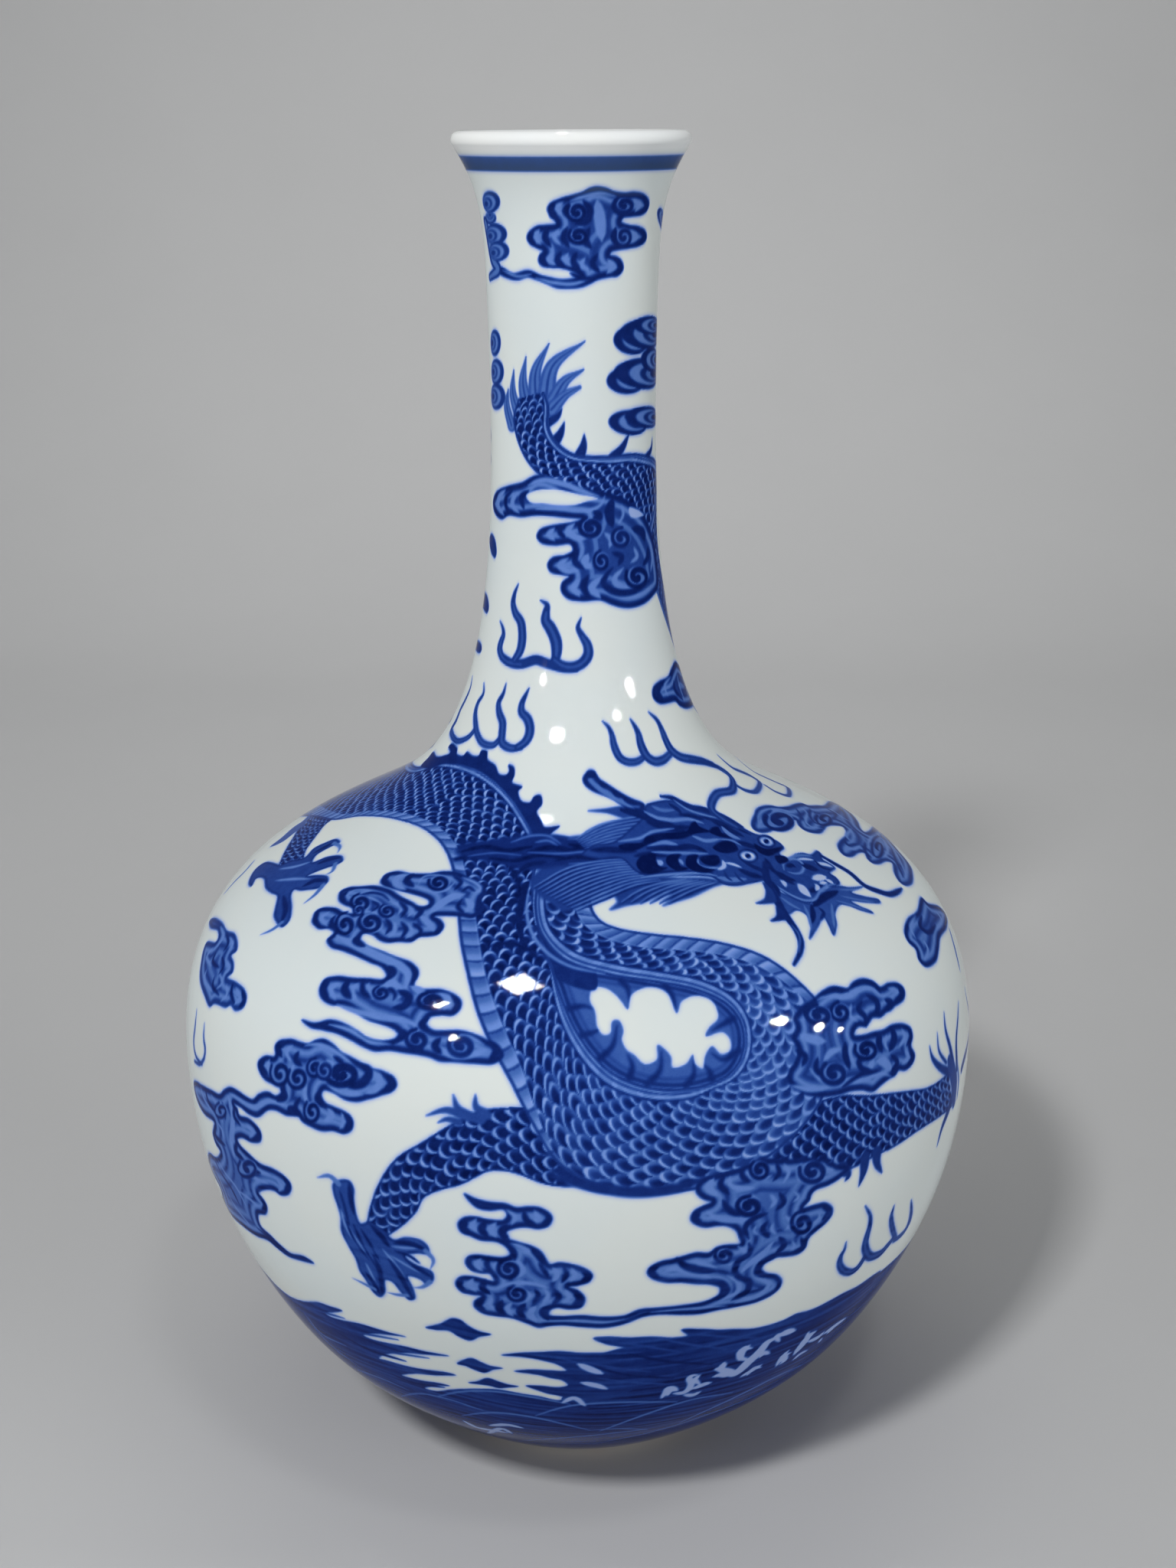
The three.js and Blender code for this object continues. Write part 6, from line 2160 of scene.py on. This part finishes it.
def skin_line(low, high):
    """The outer profile between two heights in even steps: its points, outward directions and arcs."""
    first, last = arc_at(low), arc_at(high)
    arcs = np.linspace(first, last, int((last - first) / ROW_GRAIN) + 2)
    return np.stack([radius_at(arcs), height_at(arcs)], 1), outward(profile_way(arcs)), arcs


# The inner wall as radius and height, one wall's thickness inside the skin
INNER_WALL = SKIN - WALL * outward(profile_way(SKIN_ARC))
INNER_HEIGHTS = np.maximum.accumulate(INNER_WALL[:, 1])


def inner_radius(height):
    """The inner wall's radius at a height."""
    return np.interp(height, INNER_HEIGHTS, INNER_WALL[:, 0])


def inner_line(high, low):
    """The inner wall between two heights, going down."""
    heights = np.linspace(high, low, WALL_ROWS)
    return np.stack([inner_radius(heights), heights], 1)


def column_angles(count, front_share=0.0):
    """Angles of the columns round the axis, closer together at the front by a share."""
    turn = FULL_TURN * (np.arange(count) / count)
    return turn - front_share * np.sin(turn)


def in_box(places, box):
    """Places from 0 to 1, set in a box of the bake's map with a margin."""
    low = np.array(box[:2]) + MAP_MARGIN
    size = np.array(box[2:]) - np.array(box[:2]) - 2 * MAP_MARGIN
    return low + places * size


def in_quarters(across, up, column_share, box):
    """Places on the skin, cut in four upright quarters that lie two over two in a box."""
    quarter = np.minimum((column_share * QUARTERS).astype(int), QUARTERS - 1)
    size = (np.array(box[2:]) - np.array(box[:2])) / 2
    corner = np.array(box[:2]) + np.stack([quarter % 2, quarter // 2], -1) * size
    inner = np.stack([across * QUARTERS - quarter, up], -1)
    return corner + MAP_MARGIN + inner * (size - 2 * MAP_MARGIN)


class Turning:
    """A turned form built up from grids of rings round the axis, for one mesh."""

    def __init__(self):
        self.places, self.directions, self.tones, self.faces, self.maps = [], [], [], [], []
        self.count = 0

    def grid(self, rings, out, angles, box=WHOLE_MAP, arcs=(), closed=False):
        """Rings given as radius and height, painted over the arcs of the first ones."""
        rings, out = np.asarray(rings, float), np.asarray(out, float)
        rows, columns, painted = len(rings), len(angles), len(arcs)
        turn = np.stack([np.sin(angles), -np.cos(angles)], 1)
        for numbers, store in ((rings, self.places), (out, self.directions)):
            block = np.empty((rows, columns, 3), np.float32)
            block[..., :2] = numbers[:, 0, None, None] * turn
            block[..., 2] = numbers[:, 1, None]
            store.append(block.reshape(-1, 3))
        tones = np.zeros((rows, columns), np.float32)
        if painted:
            tones[:painted] = ink_at(angles, arcs)
        self.tones.append(tones.ravel())
        bands = rows if closed else rows - 1
        row, column = np.repeat(np.arange(bands), columns), np.tile(np.arange(columns), bands)
        here, above, after = row * columns, (row + 1) % rows * columns, (column + 1) % columns
        corners = [here + column, here + after, above + after, above + column]
        self.faces.append(np.stack(corners, -1) + self.count)
        steps = np.hypot(*np.diff(np.concatenate([rings, rings[:1]]), axis=0).T)[:bands]
        run = np.concatenate([[0], np.cumsum(steps)])
        split = run[painted - 1] if painted else 0.0
        skin = row < painted - 1
        places = np.empty((len(row), len(corners), 2), np.float32)
        for corner, (right, up) in enumerate(((0, 0), (1, 0), (1, 1), (0, 1))):
            across = (column + right) / columns
            height = run[row + up]
            wall = in_box(np.stack([(height - split) / (run[-1] - split), across], -1), box)
            if painted:
                painted_place = in_quarters(across, height / split, column / columns, SKIN_MAP)
                wall = np.where(skin[:, None], painted_place, wall)
            places[:, corner] = wall
        self.maps.append(places.reshape(-1, 2))
        self.count += rows * columns

    def cap(self, first, columns, upward, box):
        """Close the ring that starts at a vertex with a ladder of quads."""
        left = np.arange(columns // 2 - 1)
        rungs = np.stack([left, left + 1, columns - 2 - left, columns - 1 - left], -1)
        if not upward:
            rungs = rungs[:, ::-1]
        angle = FULL_TURN * rungs / columns
        disc = 0.5 + 0.5 * np.stack([np.sin(angle), -np.cos(angle)], -1)
        self.faces.append(rungs + first)
        self.maps.append(in_box(disc, box).reshape(-1, 2).astype(np.float32))

    def piece(self, name, material, slot, node):
        """The form as an object that stands for a node, with its ink, its map and its material."""
        faces = np.concatenate(self.faces).astype(np.int32)
        mesh = bpy.data.meshes.new(name)
        mesh.vertices.add(self.count)
        mesh.vertices.foreach_set("co", (np.concatenate(self.places) * MILLIMETRE).ravel())
        mesh.loops.add(faces.size)
        mesh.loops.foreach_set("vertex_index", faces.ravel())
        mesh.polygons.add(len(faces))
        mesh.polygons.foreach_set("loop_start", np.arange(0, faces.size, 4, dtype=np.int32))
        mesh.update(calc_edges=True)
        mesh.shade_smooth()
        mesh.normals_split_custom_set_from_vertices(np.concatenate(self.directions))
        layer = mesh.attributes.new("ink", "FLOAT", "POINT")
        layer.data.foreach_set("value", np.concatenate(self.tones))
        layer = mesh.uv_layers.new(name="OFBake")
        layer.data.foreach_set("uv", np.concatenate(self.maps).ravel())
        mesh.materials.append(material)
        piece = bpy.data.objects.new(name, mesh)
        bpy.context.scene.collection.objects.link(piece)
        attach(piece, "root")
        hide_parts(node)


GLAZE_COLOUR = (0.675, 0.72, 0.715)
# The lip's thinner, whiter glaze, made lighter still as painted light that the upturned lip takes from
# above
LIP_GLAZE_AND_LIGHT = (0.80, 0.81, 0.805)
# The greyer blue of the band round the mouth, and the heights in metres over which it and the bare
# lip set in
RIM_GREY = (0.055, 0.09, 0.145)
RIM_SETS_IN = (0.335, 0.338)
LIP_SETS_IN = (0.3448, 0.3460)
BISCUIT_COLOUR = (0.62, 0.56, 0.47)
FLUSH_COLOUR = (0.50, 0.30, 0.17)
SLIP_COLOUR = (0.70, 0.72, 0.69)
# Colours of the painting under its glaze, from no ink to the thickest
BLUE_STOPS = (
    (0.0, GLAZE_COLOUR),
    (0.12, (0.32, 0.42, 0.74)),
    (0.22, (0.145, 0.26, 0.65)),
    (0.35, (0.064, 0.15, 0.46)),
    (0.5, (0.027, 0.079, 0.34)),
    (0.65, (0.012, 0.042, 0.235)),
    (0.8, (0.006, 0.021, 0.15)),
    (1.0, (0.002, 0.007, 0.066)),
)
# Faint warm and cool patches in the glaze
TINT_STOPS = ((0.35, (0.97, 0.99, 1.0)), (0.65, (1.0, 1.0, 0.985)))
PATCH_STOPS = ((0.42, (0, 0, 0)), (0.72, (1, 1, 1)))
GLAZE_SPECULAR = 0.012
GLAZE_ROUGHNESS = (0.03, 0.05)
BISCUIT_ROUGHNESS = (0.72, 0.9)
SLIP_ROUGHNESS = (0.25, 0.4)
PAPER_ROUGHNESS = (0.75, 0.85)
# How much the ink's thickness varies in clouds and in specks
INK_CLOUDS = (0.90, 1.10)
INK_SPECKS = (0.93, 1.07)
# Heights of the ripple in the glaze and of the grain of the clay, in metres
GLAZE_RIPPLE = 0.0006
CLAY_GRAIN = 0.0003
PAPER_FIBRE_COLOUR = (0.2, 0.2, 0.2)
# Sockets of the colour mix node, which has one of each name for every kind of value
MIX_SHARE, MIX_FIRST, MIX_SECOND, MIX_RESULT = 0, 6, 7, 2


class Nodes:
    """Short ways to add and join the nodes of one material."""

    def __init__(self, name):
        self.material = bpy.data.materials.new(name)
        self.material.use_nodes = True
        self.tree = self.material.node_tree
        self.shader = self.tree.nodes["Principled BSDF"]

    def add(self, kind, **settings):
        """A new node with settings of its own."""
        node = self.tree.nodes.new(kind)
        for setting, value in settings.items():
            setattr(node, setting, value)
        return node

    def join(self, source, target):
        """A link between two sockets."""
        self.tree.links.new(source, target)

    def noise(self, scale, detail=2.0, roughness=0.5):
        """A noise over the object's own coordinates, with its scale in cells per metre."""
        place = self.add("ShaderNodeTexCoord")
        noise = self.add("ShaderNodeTexNoise")
        noise.inputs["Scale"].default_value = scale
        noise.inputs["Detail"].default_value = detail
        noise.inputs["Roughness"].default_value = roughness
        self.join(place.outputs["Object"], noise.inputs["Vector"])
        return noise.outputs["Fac"]

    def math(self, operation, *values):
        """The result of a sum on numbers or on other nodes' values."""
        node = self.add("ShaderNodeMath", operation=operation)
        for socket, value in zip(node.inputs, values):
            if isinstance(value, (int, float)):
                socket.default_value = value
            else:
                self.join(value, socket)
        return node.outputs["Value"]

    def span(self, value, low, high):
        """The value, taken from 0 to 1, spread between two limits."""
        node = self.add("ShaderNodeMapRange")
        node.inputs["To Min"].default_value = low
        node.inputs["To Max"].default_value = high
        self.join(value, node.inputs["Value"])
        return node.outputs["Result"]

    def ramp(self, value, stops):
        """A colour for each value, between stops."""
        node = self.add("ShaderNodeValToRGB")
        while len(node.color_ramp.elements) < len(stops):
            node.color_ramp.elements.new(0.5)
        for element, (place, colour) in zip(node.color_ramp.elements, stops):
            element.position = place
            element.color = (*colour, 1)
        self.join(value, node.inputs["Fac"])
        return node.outputs["Color"]

    def mix(self, share, first, second, blend="MIX"):
        """A blend of two colours by a share."""
        node = self.add("ShaderNodeMix", data_type="RGBA", blend_type=blend)
        for value, place in ((share, MIX_SHARE), (first, MIX_FIRST), (second, MIX_SECOND)):
            socket = node.inputs[place]
            if isinstance(value, (int, float)):
                socket.default_value = value
            elif isinstance(value, tuple):
                socket.default_value = (*value, 1)
            else:
                self.join(value, socket)
        return node.outputs[MIX_RESULT]

    def bump(self, height, strength, distance):
        """Roughen the shader's normal by a height, over a distance in metres."""
        node = self.add("ShaderNodeBump")
        node.inputs["Strength"].default_value = strength
        node.inputs["Distance"].default_value = distance
        self.join(height, node.inputs["Height"])
        self.join(node.outputs["Normal"], self.shader.inputs["Normal"])


def darker(colour, share):
    """A share of a colour."""
    return tuple(share * channel for channel in colour)


def above(nodes, low, high):
    """0 up to one height of the vase, and 1 from another one on."""
    place = nodes.add("ShaderNodeTexCoord")
    parts = nodes.add("ShaderNodeSeparateXYZ")
    nodes.join(place.outputs["Object"], parts.inputs["Vector"])
    rise = nodes.add("ShaderNodeMapRange")
    rise.inputs["From Min"].default_value = low
    rise.inputs["From Max"].default_value = high
    nodes.join(parts.outputs["Z"], rise.inputs["Value"])
    return rise.outputs["Result"]


def painted_glaze():
    """Cobalt blue under a clear, faintly bluish glaze: the ink's thickness sets its colour."""
    nodes = Nodes("painted_glaze")
    painted = nodes.add("ShaderNodeAttribute", attribute_name="ink").outputs["Fac"]
    cloudy = nodes.span(nodes.noise(420, 3), *INK_CLOUDS)
    speckled = nodes.span(nodes.noise(2600, 2), *INK_SPECKS)
    thickness = nodes.math("MULTIPLY", nodes.math("MULTIPLY", painted, cloudy), speckled)
    blue = nodes.ramp(thickness, BLUE_STOPS)
    tint = nodes.ramp(nodes.noise(28, 2), TINT_STOPS)
    greyed = nodes.mix(nodes.math("MULTIPLY", thickness, above(nodes, *RIM_SETS_IN)), blue, RIM_GREY)
    # Above the blue band: the lip's whiter glaze, lightened as painted light from above
    lipped = nodes.mix(above(nodes, *LIP_SETS_IN), greyed, LIP_GLAZE_AND_LIGHT)
    nodes.join(nodes.mix(1.0, lipped, tint, "MULTIPLY"), nodes.shader.inputs["Base Color"])
    nodes.join(nodes.span(nodes.noise(60, 2), *GLAZE_ROUGHNESS), nodes.shader.inputs["Roughness"])
    ripple = nodes.math("ADD", nodes.noise(90, 2), nodes.math("MULTIPLY", nodes.noise(900, 1), 0.05))
    nodes.bump(ripple, 0.12, GLAZE_RIPPLE)
    nodes.shader.inputs["Specular IOR Level"].default_value = GLAZE_SPECULAR
    return nodes.material


def biscuit():
    """Unglazed fired clay, fine and matt, flushed orange where the glaze ends."""
    nodes = Nodes("biscuit")
    grain = nodes.noise(1900, 3, 0.6)
    patch = nodes.ramp(nodes.noise(110, 3), PATCH_STOPS)
    clay = nodes.mix(grain, darker(BISCUIT_COLOUR, 0.86), BISCUIT_COLOUR)
    flush = nodes.mix(0.35, BISCUIT_COLOUR, FLUSH_COLOUR)
    nodes.join(nodes.mix(patch, clay, flush), nodes.shader.inputs["Base Color"])
    nodes.join(nodes.span(grain, *BISCUIT_ROUGHNESS), nodes.shader.inputs["Roughness"])
    nodes.bump(grain, 0.35, CLAY_GRAIN)
    return nodes.material


def slip():
    """The slip that lutes the sections, glazed over inside the vase."""
    nodes = Nodes("slip")
    grain = nodes.noise(500, 3, 0.6)
    body = nodes.mix(grain, darker(SLIP_COLOUR, 0.93), SLIP_COLOUR)
    nodes.join(body, nodes.shader.inputs["Base Color"])
    nodes.join(nodes.span(grain, *SLIP_ROUGHNESS), nodes.shader.inputs["Roughness"])
    nodes.bump(grain, 0.2, CLAY_GRAIN)
    return nodes.material


def paper():
    """The plain matt paper that the vase stands on and before."""
    nodes = Nodes("grey_paper")
    fibre = nodes.noise(9, 2)
    soft = nodes.mix(nodes.math("MULTIPLY", fibre, 0.06), PAPER_COLOUR, PAPER_FIBRE_COLOUR)
    nodes.join(soft, nodes.shader.inputs["Base Color"])
    nodes.join(nodes.span(fibre, *PAPER_ROUGHNESS), nodes.shader.inputs["Roughness"])
    return nodes.material


def section(low, high, columns, base=()):
    """A section between two seams: its painted skin, its seams and its inner wall, as one closed ring.

    A base, if it has one, is the line from the inner wall's foot down and out to the skin."""
    skin, skin_out, arcs = skin_line(low, high)
    wall = inner_line(high, base[0][1] if base else low)
    below = np.reshape(base[1:], (-1, 2))
    rings = np.concatenate([skin, wall, below])
    out = np.concatenate([skin_out, directions_of(wall), np.tile([0.0, -1.0], (len(below), 1))])
    form = Turning()
    form.grid(rings, out, column_angles(columns, FRONT_SHARE), WALL_MAP, arcs, closed=True)
    return form


def disc(form, radii, height, up, box):
    """A flat ring of the floor or of the base, which faces up or down."""
    rings = np.stack([radii, np.full(FLOOR_ROWS, height)], 1)
    form.grid(rings, np.tile([0.0, up], (FLOOR_ROWS, 1)), column_angles(WALL_COLUMNS), box)


def lower_belly(material):
    """The bowl of the vase: the painted wall, with the flat floor set across it above the foot."""
    underside = FOOT_HEIGHT + BASE_RECESS
    floor = underside + FLOOR_THICKNESS
    reach = float(inner_radius(floor))
    inside = FOOT_RADIUS - FOOT_WIDTH
    base = ((reach, floor), (inside + BASE_BEVEL, underside + BASE_BEVEL), (inside, FOOT_HEIGHT))
    form = section(FOOT_HEIGHT, BELLY_SEAM, BELLY_COLUMNS, base)
    first = form.count
    disc(form, np.linspace(CAP_RADIUS, inside, FLOOR_ROWS), underside, -1.0, BASE_MAP)
    form.cap(first, WALL_COLUMNS, False, BASE_CAP_MAP)
    disc(form, np.linspace(reach + FLOOR_OVERLAP, CAP_RADIUS, FLOOR_ROWS), floor, 1.0, FLOOR_MAP)
    form.cap(form.count - WALL_COLUMNS, WALL_COLUMNS, True, FLOOR_CAP_MAP)
    form.piece("painted_lower_belly", material, "painted_glaze", "lower_belly")


def upper_belly(material):
    """The shoulder of the vase, up to the neck's root."""
    form = section(BELLY_SEAM, NECK_SEAM, BELLY_COLUMNS)
    form.piece("painted_upper_belly", material, "painted_glaze", "upper_belly")


def neck(material):
    """The long tube between the shoulder and the mouth."""
    form = section(NECK_SEAM, MOUTH_SEAM, NECK_COLUMNS)
    form.piece("painted_neck", material, "painted_glaze", "neck")


def mouth_rim(material):
    """The flared mouth, with its painted line and its rolled lip."""
    skin, skin_out, arcs = skin_line(MOUTH_SEAM, SKIN[-1, 1])
    turn = np.linspace(-LIP_LEAN, math.pi - LIP_LEAN, LIP_ROWS)[1:]
    way = np.stack([np.cos(turn), np.sin(turn)], 1)
    wall = inner_line(INNER_HEIGHTS[-1], MOUTH_SEAM)[1:]
    rings = np.concatenate([skin, np.array(LIP_CENTRE) + LIP_RADIUS * way, wall])
    out = np.concatenate([skin_out, way, directions_of(wall)])
    form = Turning()
    form.grid(rings, out, column_angles(MOUTH_COLUMNS, FRONT_SHARE), WALL_MAP, arcs, closed=True)
    form.piece("mouth_lip", material, "clear_glaze", "mouth_rim")


# Corners of the turned rings: how much of a side a round may take, and the rounds in millimetres
ROUND_LIMIT = 0.4
SLIP_ROUND = 0.35
FOOT_ROUND = 0.5


def rounded(corners, bevel):
    """An outline with each corner cut to a small round, given anticlockwise as radius and height."""
    corners = np.asarray(corners, float)
    rounds = []
    for before, corner, after in zip(np.roll(corners, 1, 0), corners, np.roll(corners, -1, 0)):
        one, two = before - corner, after - corner
        cut = min(bevel, np.hypot(*one) * ROUND_LIMIT, np.hypot(*two) * ROUND_LIMIT)
        start = corner + one / np.hypot(*one) * cut
        end = corner + two / np.hypot(*two) * cut
        for share in np.linspace(0, 1, ROUND_ROWS):
            rounds.append((1 - share) ** 2 * start + 2 * share * (1 - share) * corner + share ** 2 * end)
    return np.array(rounds)


def turned_ring(name, corners, material, slot, node, bevel):
    """A smooth ring turned from its outline, with small rounds worked into its corners."""
    rings = rounded(corners, bevel)
    closed = np.concatenate([rings[-1:], rings, rings[:1]])
    way = closed[2:] - closed[:-2]
    out = outward(way / np.hypot(way[:, 0], way[:, 1])[:, None])
    form = Turning()
    form.grid(rings, out, column_angles(RING_COLUMNS), WHOLE_MAP, closed=True)
    form.piece(name, material, slot, node)


def slip_ring(name, height, node, material, radii, outside):
    """A ring of slip at a seam, over the inner wall's radii at its top, middle and bottom."""
    inside_top, middle, inside_bottom = radii
    edge = middle + SLIP_WALL_SHARE * (outside - middle)
    top, bottom = height + SLIP_HEIGHT / 2, height - SLIP_HEIGHT / 2
    bead_top, bead_bottom = height + SLIP_HEIGHT / 4, height - SLIP_HEIGHT / 4
    corners = (
        (edge, bottom), (edge, top), (inside_top, top),
        ((inside_top + middle) / 2 - SLIP_BEAD, bead_top),
        ((inside_bottom + middle) / 2 - SLIP_BEAD, bead_bottom), (inside_bottom, bottom),
    )
    turned_ring(name, corners, material, "slip", node, SLIP_ROUND)


def wall_slip(name, height, node, material):
    """The slip in a seam of the wall, which beads a little into the vase."""
    heights = (height + SLIP_HEIGHT / 2, height, height - SLIP_HEIGHT / 2)
    radii = [float(inner_radius(place)) for place in heights]
    slip_ring(name, height, node, material, radii, float(radius_at(arc_at(height))))


def foot(material):
    """The unglazed foot ring, with a narrow land to stand on and turned bevels."""
    land_outside = FOOT_RADIUS - (FOOT_WIDTH - FOOT_LAND_WIDTH) / 2
    land_inside = land_outside - FOOT_LAND_WIDTH
    bevel = (FOOT_WIDTH - FOOT_LAND_WIDTH) / 2 - FOOT_TAPER
    inside = FOOT_RADIUS - FOOT_WIDTH
    edge = inside + SLIP_WALL_SHARE * FOOT_WIDTH
    step = FOOT_HEIGHT - SLIP_HEIGHT / 2
    corners = (
        (land_inside, 0), (land_outside, 0), (FOOT_RADIUS - FOOT_TAPER, bevel), (FOOT_RADIUS, FOOT_HEIGHT),
        (edge, FOOT_HEIGHT), (edge, step), (inside, step), (inside + FOOT_TAPER, bevel),
    )
    turned_ring("turned_foot", corners, material, "biscuit", "foot_ring", FOOT_ROUND)


# The camera's sensor in millimetres, and the height in metres that the lamps look at
SENSOR = 36
LAMP_AIM = 0.16

# The soft lamps: name, azimuth and lift in degrees, distance and size in metres, and watts
SOFT_LIGHTS = (
    ("key", -22, 42, 1.1, 0.11, 7.2),
    ("right_fill", 20, 60, 1.9, 0.2, 2.5),
    ("right_wash", 62, 5, 2.0, 1.0, 17),
    ("left_wash", -72, 3, 2.0, 1.0, 11),
)
# The lamp that lights the paper behind the vase, and the place behind and above that it looks at
BACK_PLACE = (0, 0.5, 1.35)
BACK_SIZE = 0.9
BACK_POWER = 1.9
BACK_AIM = (0.95, 0.05)
BACK_SPREAD = math.radians(90)

# Bright patches that the glaze mirrors: the photograph's pixel, the lamp's width and depth in metres,
# and its brightness
GLINTS = (
    ((680, 1286), 0.056, 0.053, 14), ((728, 960), 0.080, 0.030, 60), ((823, 896), 0.050, 0.020, 40),
    ((1019, 1334), 0.024, 0.028, 32), ((710, 885), 0.036, 0.011, 40), ((576, 1312), 0.013, 0.028, 36),
    ((593, 1356), 0.013, 0.022, 18), ((805, 933), 0.034, 0.012, 50), ((1070, 1342), 0.022, 0.017, 32),
    ((1096, 1345), 0.015, 0.012, 32), ((742, 1158), 0.012, 0.012, 30),
)
# The patches' distance from the glaze in millimetres, how narrowly they shine, and half the stretch of
# the profile over which the glaze's slope is taken
GLINT_DISTANCE = 400
GLINT_SPREAD = math.radians(14)
SLOPE_REACH = 0.5

# The room's soft light: its colour, and its strength on the vase and as the camera sees it
WORLD_COLOUR = (0.95, 0.98, 1.0, 1)
WORLD_STRENGTH = 0.09
WORLD_SEEN_STRENGTH = 0.42

# The sheet of paper, in metres: how far it comes to the front, where it bends up, and its top
PAPER_COLOUR = (0.60, 0.603, 0.605)
PAPER_FRONT = 3.0
PAPER_BEND_START = 0.75
PAPER_BEND_RADIUS = 0.6
PAPER_BEND_STEPS = 24
PAPER_TOP = 3.2
PAPER_HALF_WIDTH = 3.0


def camera():
    """The camera at the photograph's place, with its lens, pitch and small turns."""
    lens = bpy.data.cameras.new("camera")
    lens.lens = FOCAL_PIXELS / FRAME_HEIGHT * SENSOR
    lens.sensor_width = SENSOR
    lens.sensor_fit = "AUTO"
    eye = bpy.data.objects.new("camera", lens)
    bpy.context.scene.collection.objects.link(eye)
    eye.matrix_world = (
        Matrix.Translation((0, -CAMERA_DISTANCE * MILLIMETRE, CAMERA_HEIGHT * MILLIMETRE))
        @ Matrix.Rotation(CAMERA_YAW, 4, "Z")
        @ Matrix.Rotation(math.pi / 2 - CAMERA_PITCH, 4, "X")
        @ Matrix.Rotation(CAMERA_ROLL, 4, "Z")
    )
    bpy.context.scene.camera = eye


def around(azimuth, lift, distance):
    """A place round the vase: azimuth from the front to the right, and lift from level, in degrees."""
    side, up = math.radians(azimuth), math.radians(lift)
    way = Vector((math.cos(up) * math.sin(side), -math.cos(up) * math.cos(side), math.sin(up)))
    return Vector((0, 0, LAMP_AIM)) + distance * way


def lamp(name, place, width, depth, power, aim=(0, LAMP_AIM)):
    """A rectangular lamp at a place, which looks at the vase or at a given depth and height behind it."""
    light = bpy.data.lights.new(name, "AREA")
    light.shape = "RECTANGLE"
    light.size, light.size_y = width, depth
    light.energy = power
    holder = bpy.data.objects.new(name, light)
    bpy.context.scene.collection.objects.link(holder)
    holder.location = place
    holder.rotation_euler = (holder.location - Vector((0, *aim))).to_track_quat("Z", "Y").to_euler()
    return holder


def soft_light(name, place, size, power, aim=(0, LAMP_AIM)):
    """A lamp that lights the vase or the paper, but isn't mirrored in the glaze."""
    light = lamp(name, place, size, size, power, aim)
    light.visible_glossy = False
    return light


def glint(name, pixel, width, depth, brightness):
    """A bright patch that is only mirrored in the glaze, where the photograph shows it at a pixel."""
    angle, arc = seen(pixel)[0][0]
    low, high = arc - SLOPE_REACH, arc + SLOPE_REACH
    slope = np.array([radius_at(high) - radius_at(low), height_at(high) - height_at(low)])
    slope /= np.linalg.norm(slope)
    way = np.array([math.sin(angle), -math.cos(angle)])
    place = np.array([*(radius_at(arc) * way), height_at(arc)])
    normal = np.array([*(slope[1] * way), -slope[0]])
    sight = (place - EYE) / np.linalg.norm(place - EYE)
    mirrored = sight - 2 * sight.dot(normal) * normal
    light = lamp(name, Vector(place + mirrored * GLINT_DISTANCE) * MILLIMETRE, width, depth, 1)
    light.data.energy = brightness * math.pi * width * depth
    light.data.spread = GLINT_SPREAD
    light.rotation_euler = Vector(mirrored).to_track_quat("Z", "Y").to_euler()
    light.visible_diffuse = False


def backdrop():
    """A sheet of pale grey paper: flat under the vase, and swept up behind it."""
    rows = [(-PAPER_FRONT, 0.0), (PAPER_BEND_START, 0.0)]
    for step in range(1, PAPER_BEND_STEPS + 1):
        turn = math.pi / 2 * step / PAPER_BEND_STEPS
        back, up = PAPER_BEND_RADIUS * math.sin(turn), PAPER_BEND_RADIUS * (1 - math.cos(turn))
        rows.append((PAPER_BEND_START + back, up))
    rows.append((PAPER_BEND_START + PAPER_BEND_RADIUS, PAPER_TOP))
    places = [(side * PAPER_HALF_WIDTH, y, z) for y, z in rows for side in (-1, 1)]
    faces = [(2 * i, 2 * i + 1, 2 * i + 3, 2 * i + 2) for i in range(len(rows) - 1)]
    mesh = bpy.data.meshes.new("studio_paper")
    mesh.from_pydata(places, [], faces)
    mesh.shade_smooth()
    mesh.materials.append(paper())
    sheet = bpy.data.objects.new("studio_paper", mesh)
    bpy.context.scene.collection.objects.link(sheet)


def studio_world():
    """Soft daylight from all round, which the glaze doesn't mirror."""
    world = bpy.data.worlds.new("studio")
    bpy.context.scene.world = world
    world.use_nodes = True
    nodes, links = world.node_tree.nodes, world.node_tree.links
    background = nodes["Background"]
    background.inputs["Color"].default_value = WORLD_COLOUR
    path = nodes.new("ShaderNodeLightPath")
    strength = nodes.new("ShaderNodeMapRange")
    strength.inputs["To Min"].default_value = WORLD_STRENGTH
    strength.inputs["To Max"].default_value = WORLD_SEEN_STRENGTH
    links.new(path.outputs["Is Camera Ray"], strength.inputs["Value"])
    links.new(strength.outputs["Result"], background.inputs["Strength"])
    world.cycles_visibility.glossy = False


def studio_light():
    """Lamps high on the left and all round, and small patches that the glaze mirrors."""
    bpy.context.scene.view_settings.view_transform = "Standard"
    studio_world()
    for name, azimuth, lift, distance, size, power in SOFT_LIGHTS:
        soft_light(name, around(azimuth, lift, distance), size, power)
    wash = soft_light("back_wash", Vector(BACK_PLACE), BACK_SIZE, BACK_POWER, BACK_AIM)
    wash.data.spread = BACK_SPREAD
    for number, place in enumerate(GLINTS):
        glint("glint_%d" % number, *place)


camera()
blue = painted_glaze()
plain_slip = slip()
seat = FOOT_RADIUS - FOOT_WIDTH
foot(biscuit())
slip_ring("foot_seam_slip", FOOT_HEIGHT, "foot_slip", plain_slip, (seat, seat, seat), FOOT_RADIUS)
lower_belly(blue)
wall_slip("belly_seam_slip", BELLY_SEAM, "belly_slip", plain_slip)
upper_belly(blue)
wall_slip("neck_seam_slip", NECK_SEAM, "neck_slip", plain_slip)
neck(blue)
wall_slip("mouth_seam_slip", MOUTH_SEAM, "mouth_slip", plain_slip)
mouth_rim(blue)
backdrop()
studio_light()
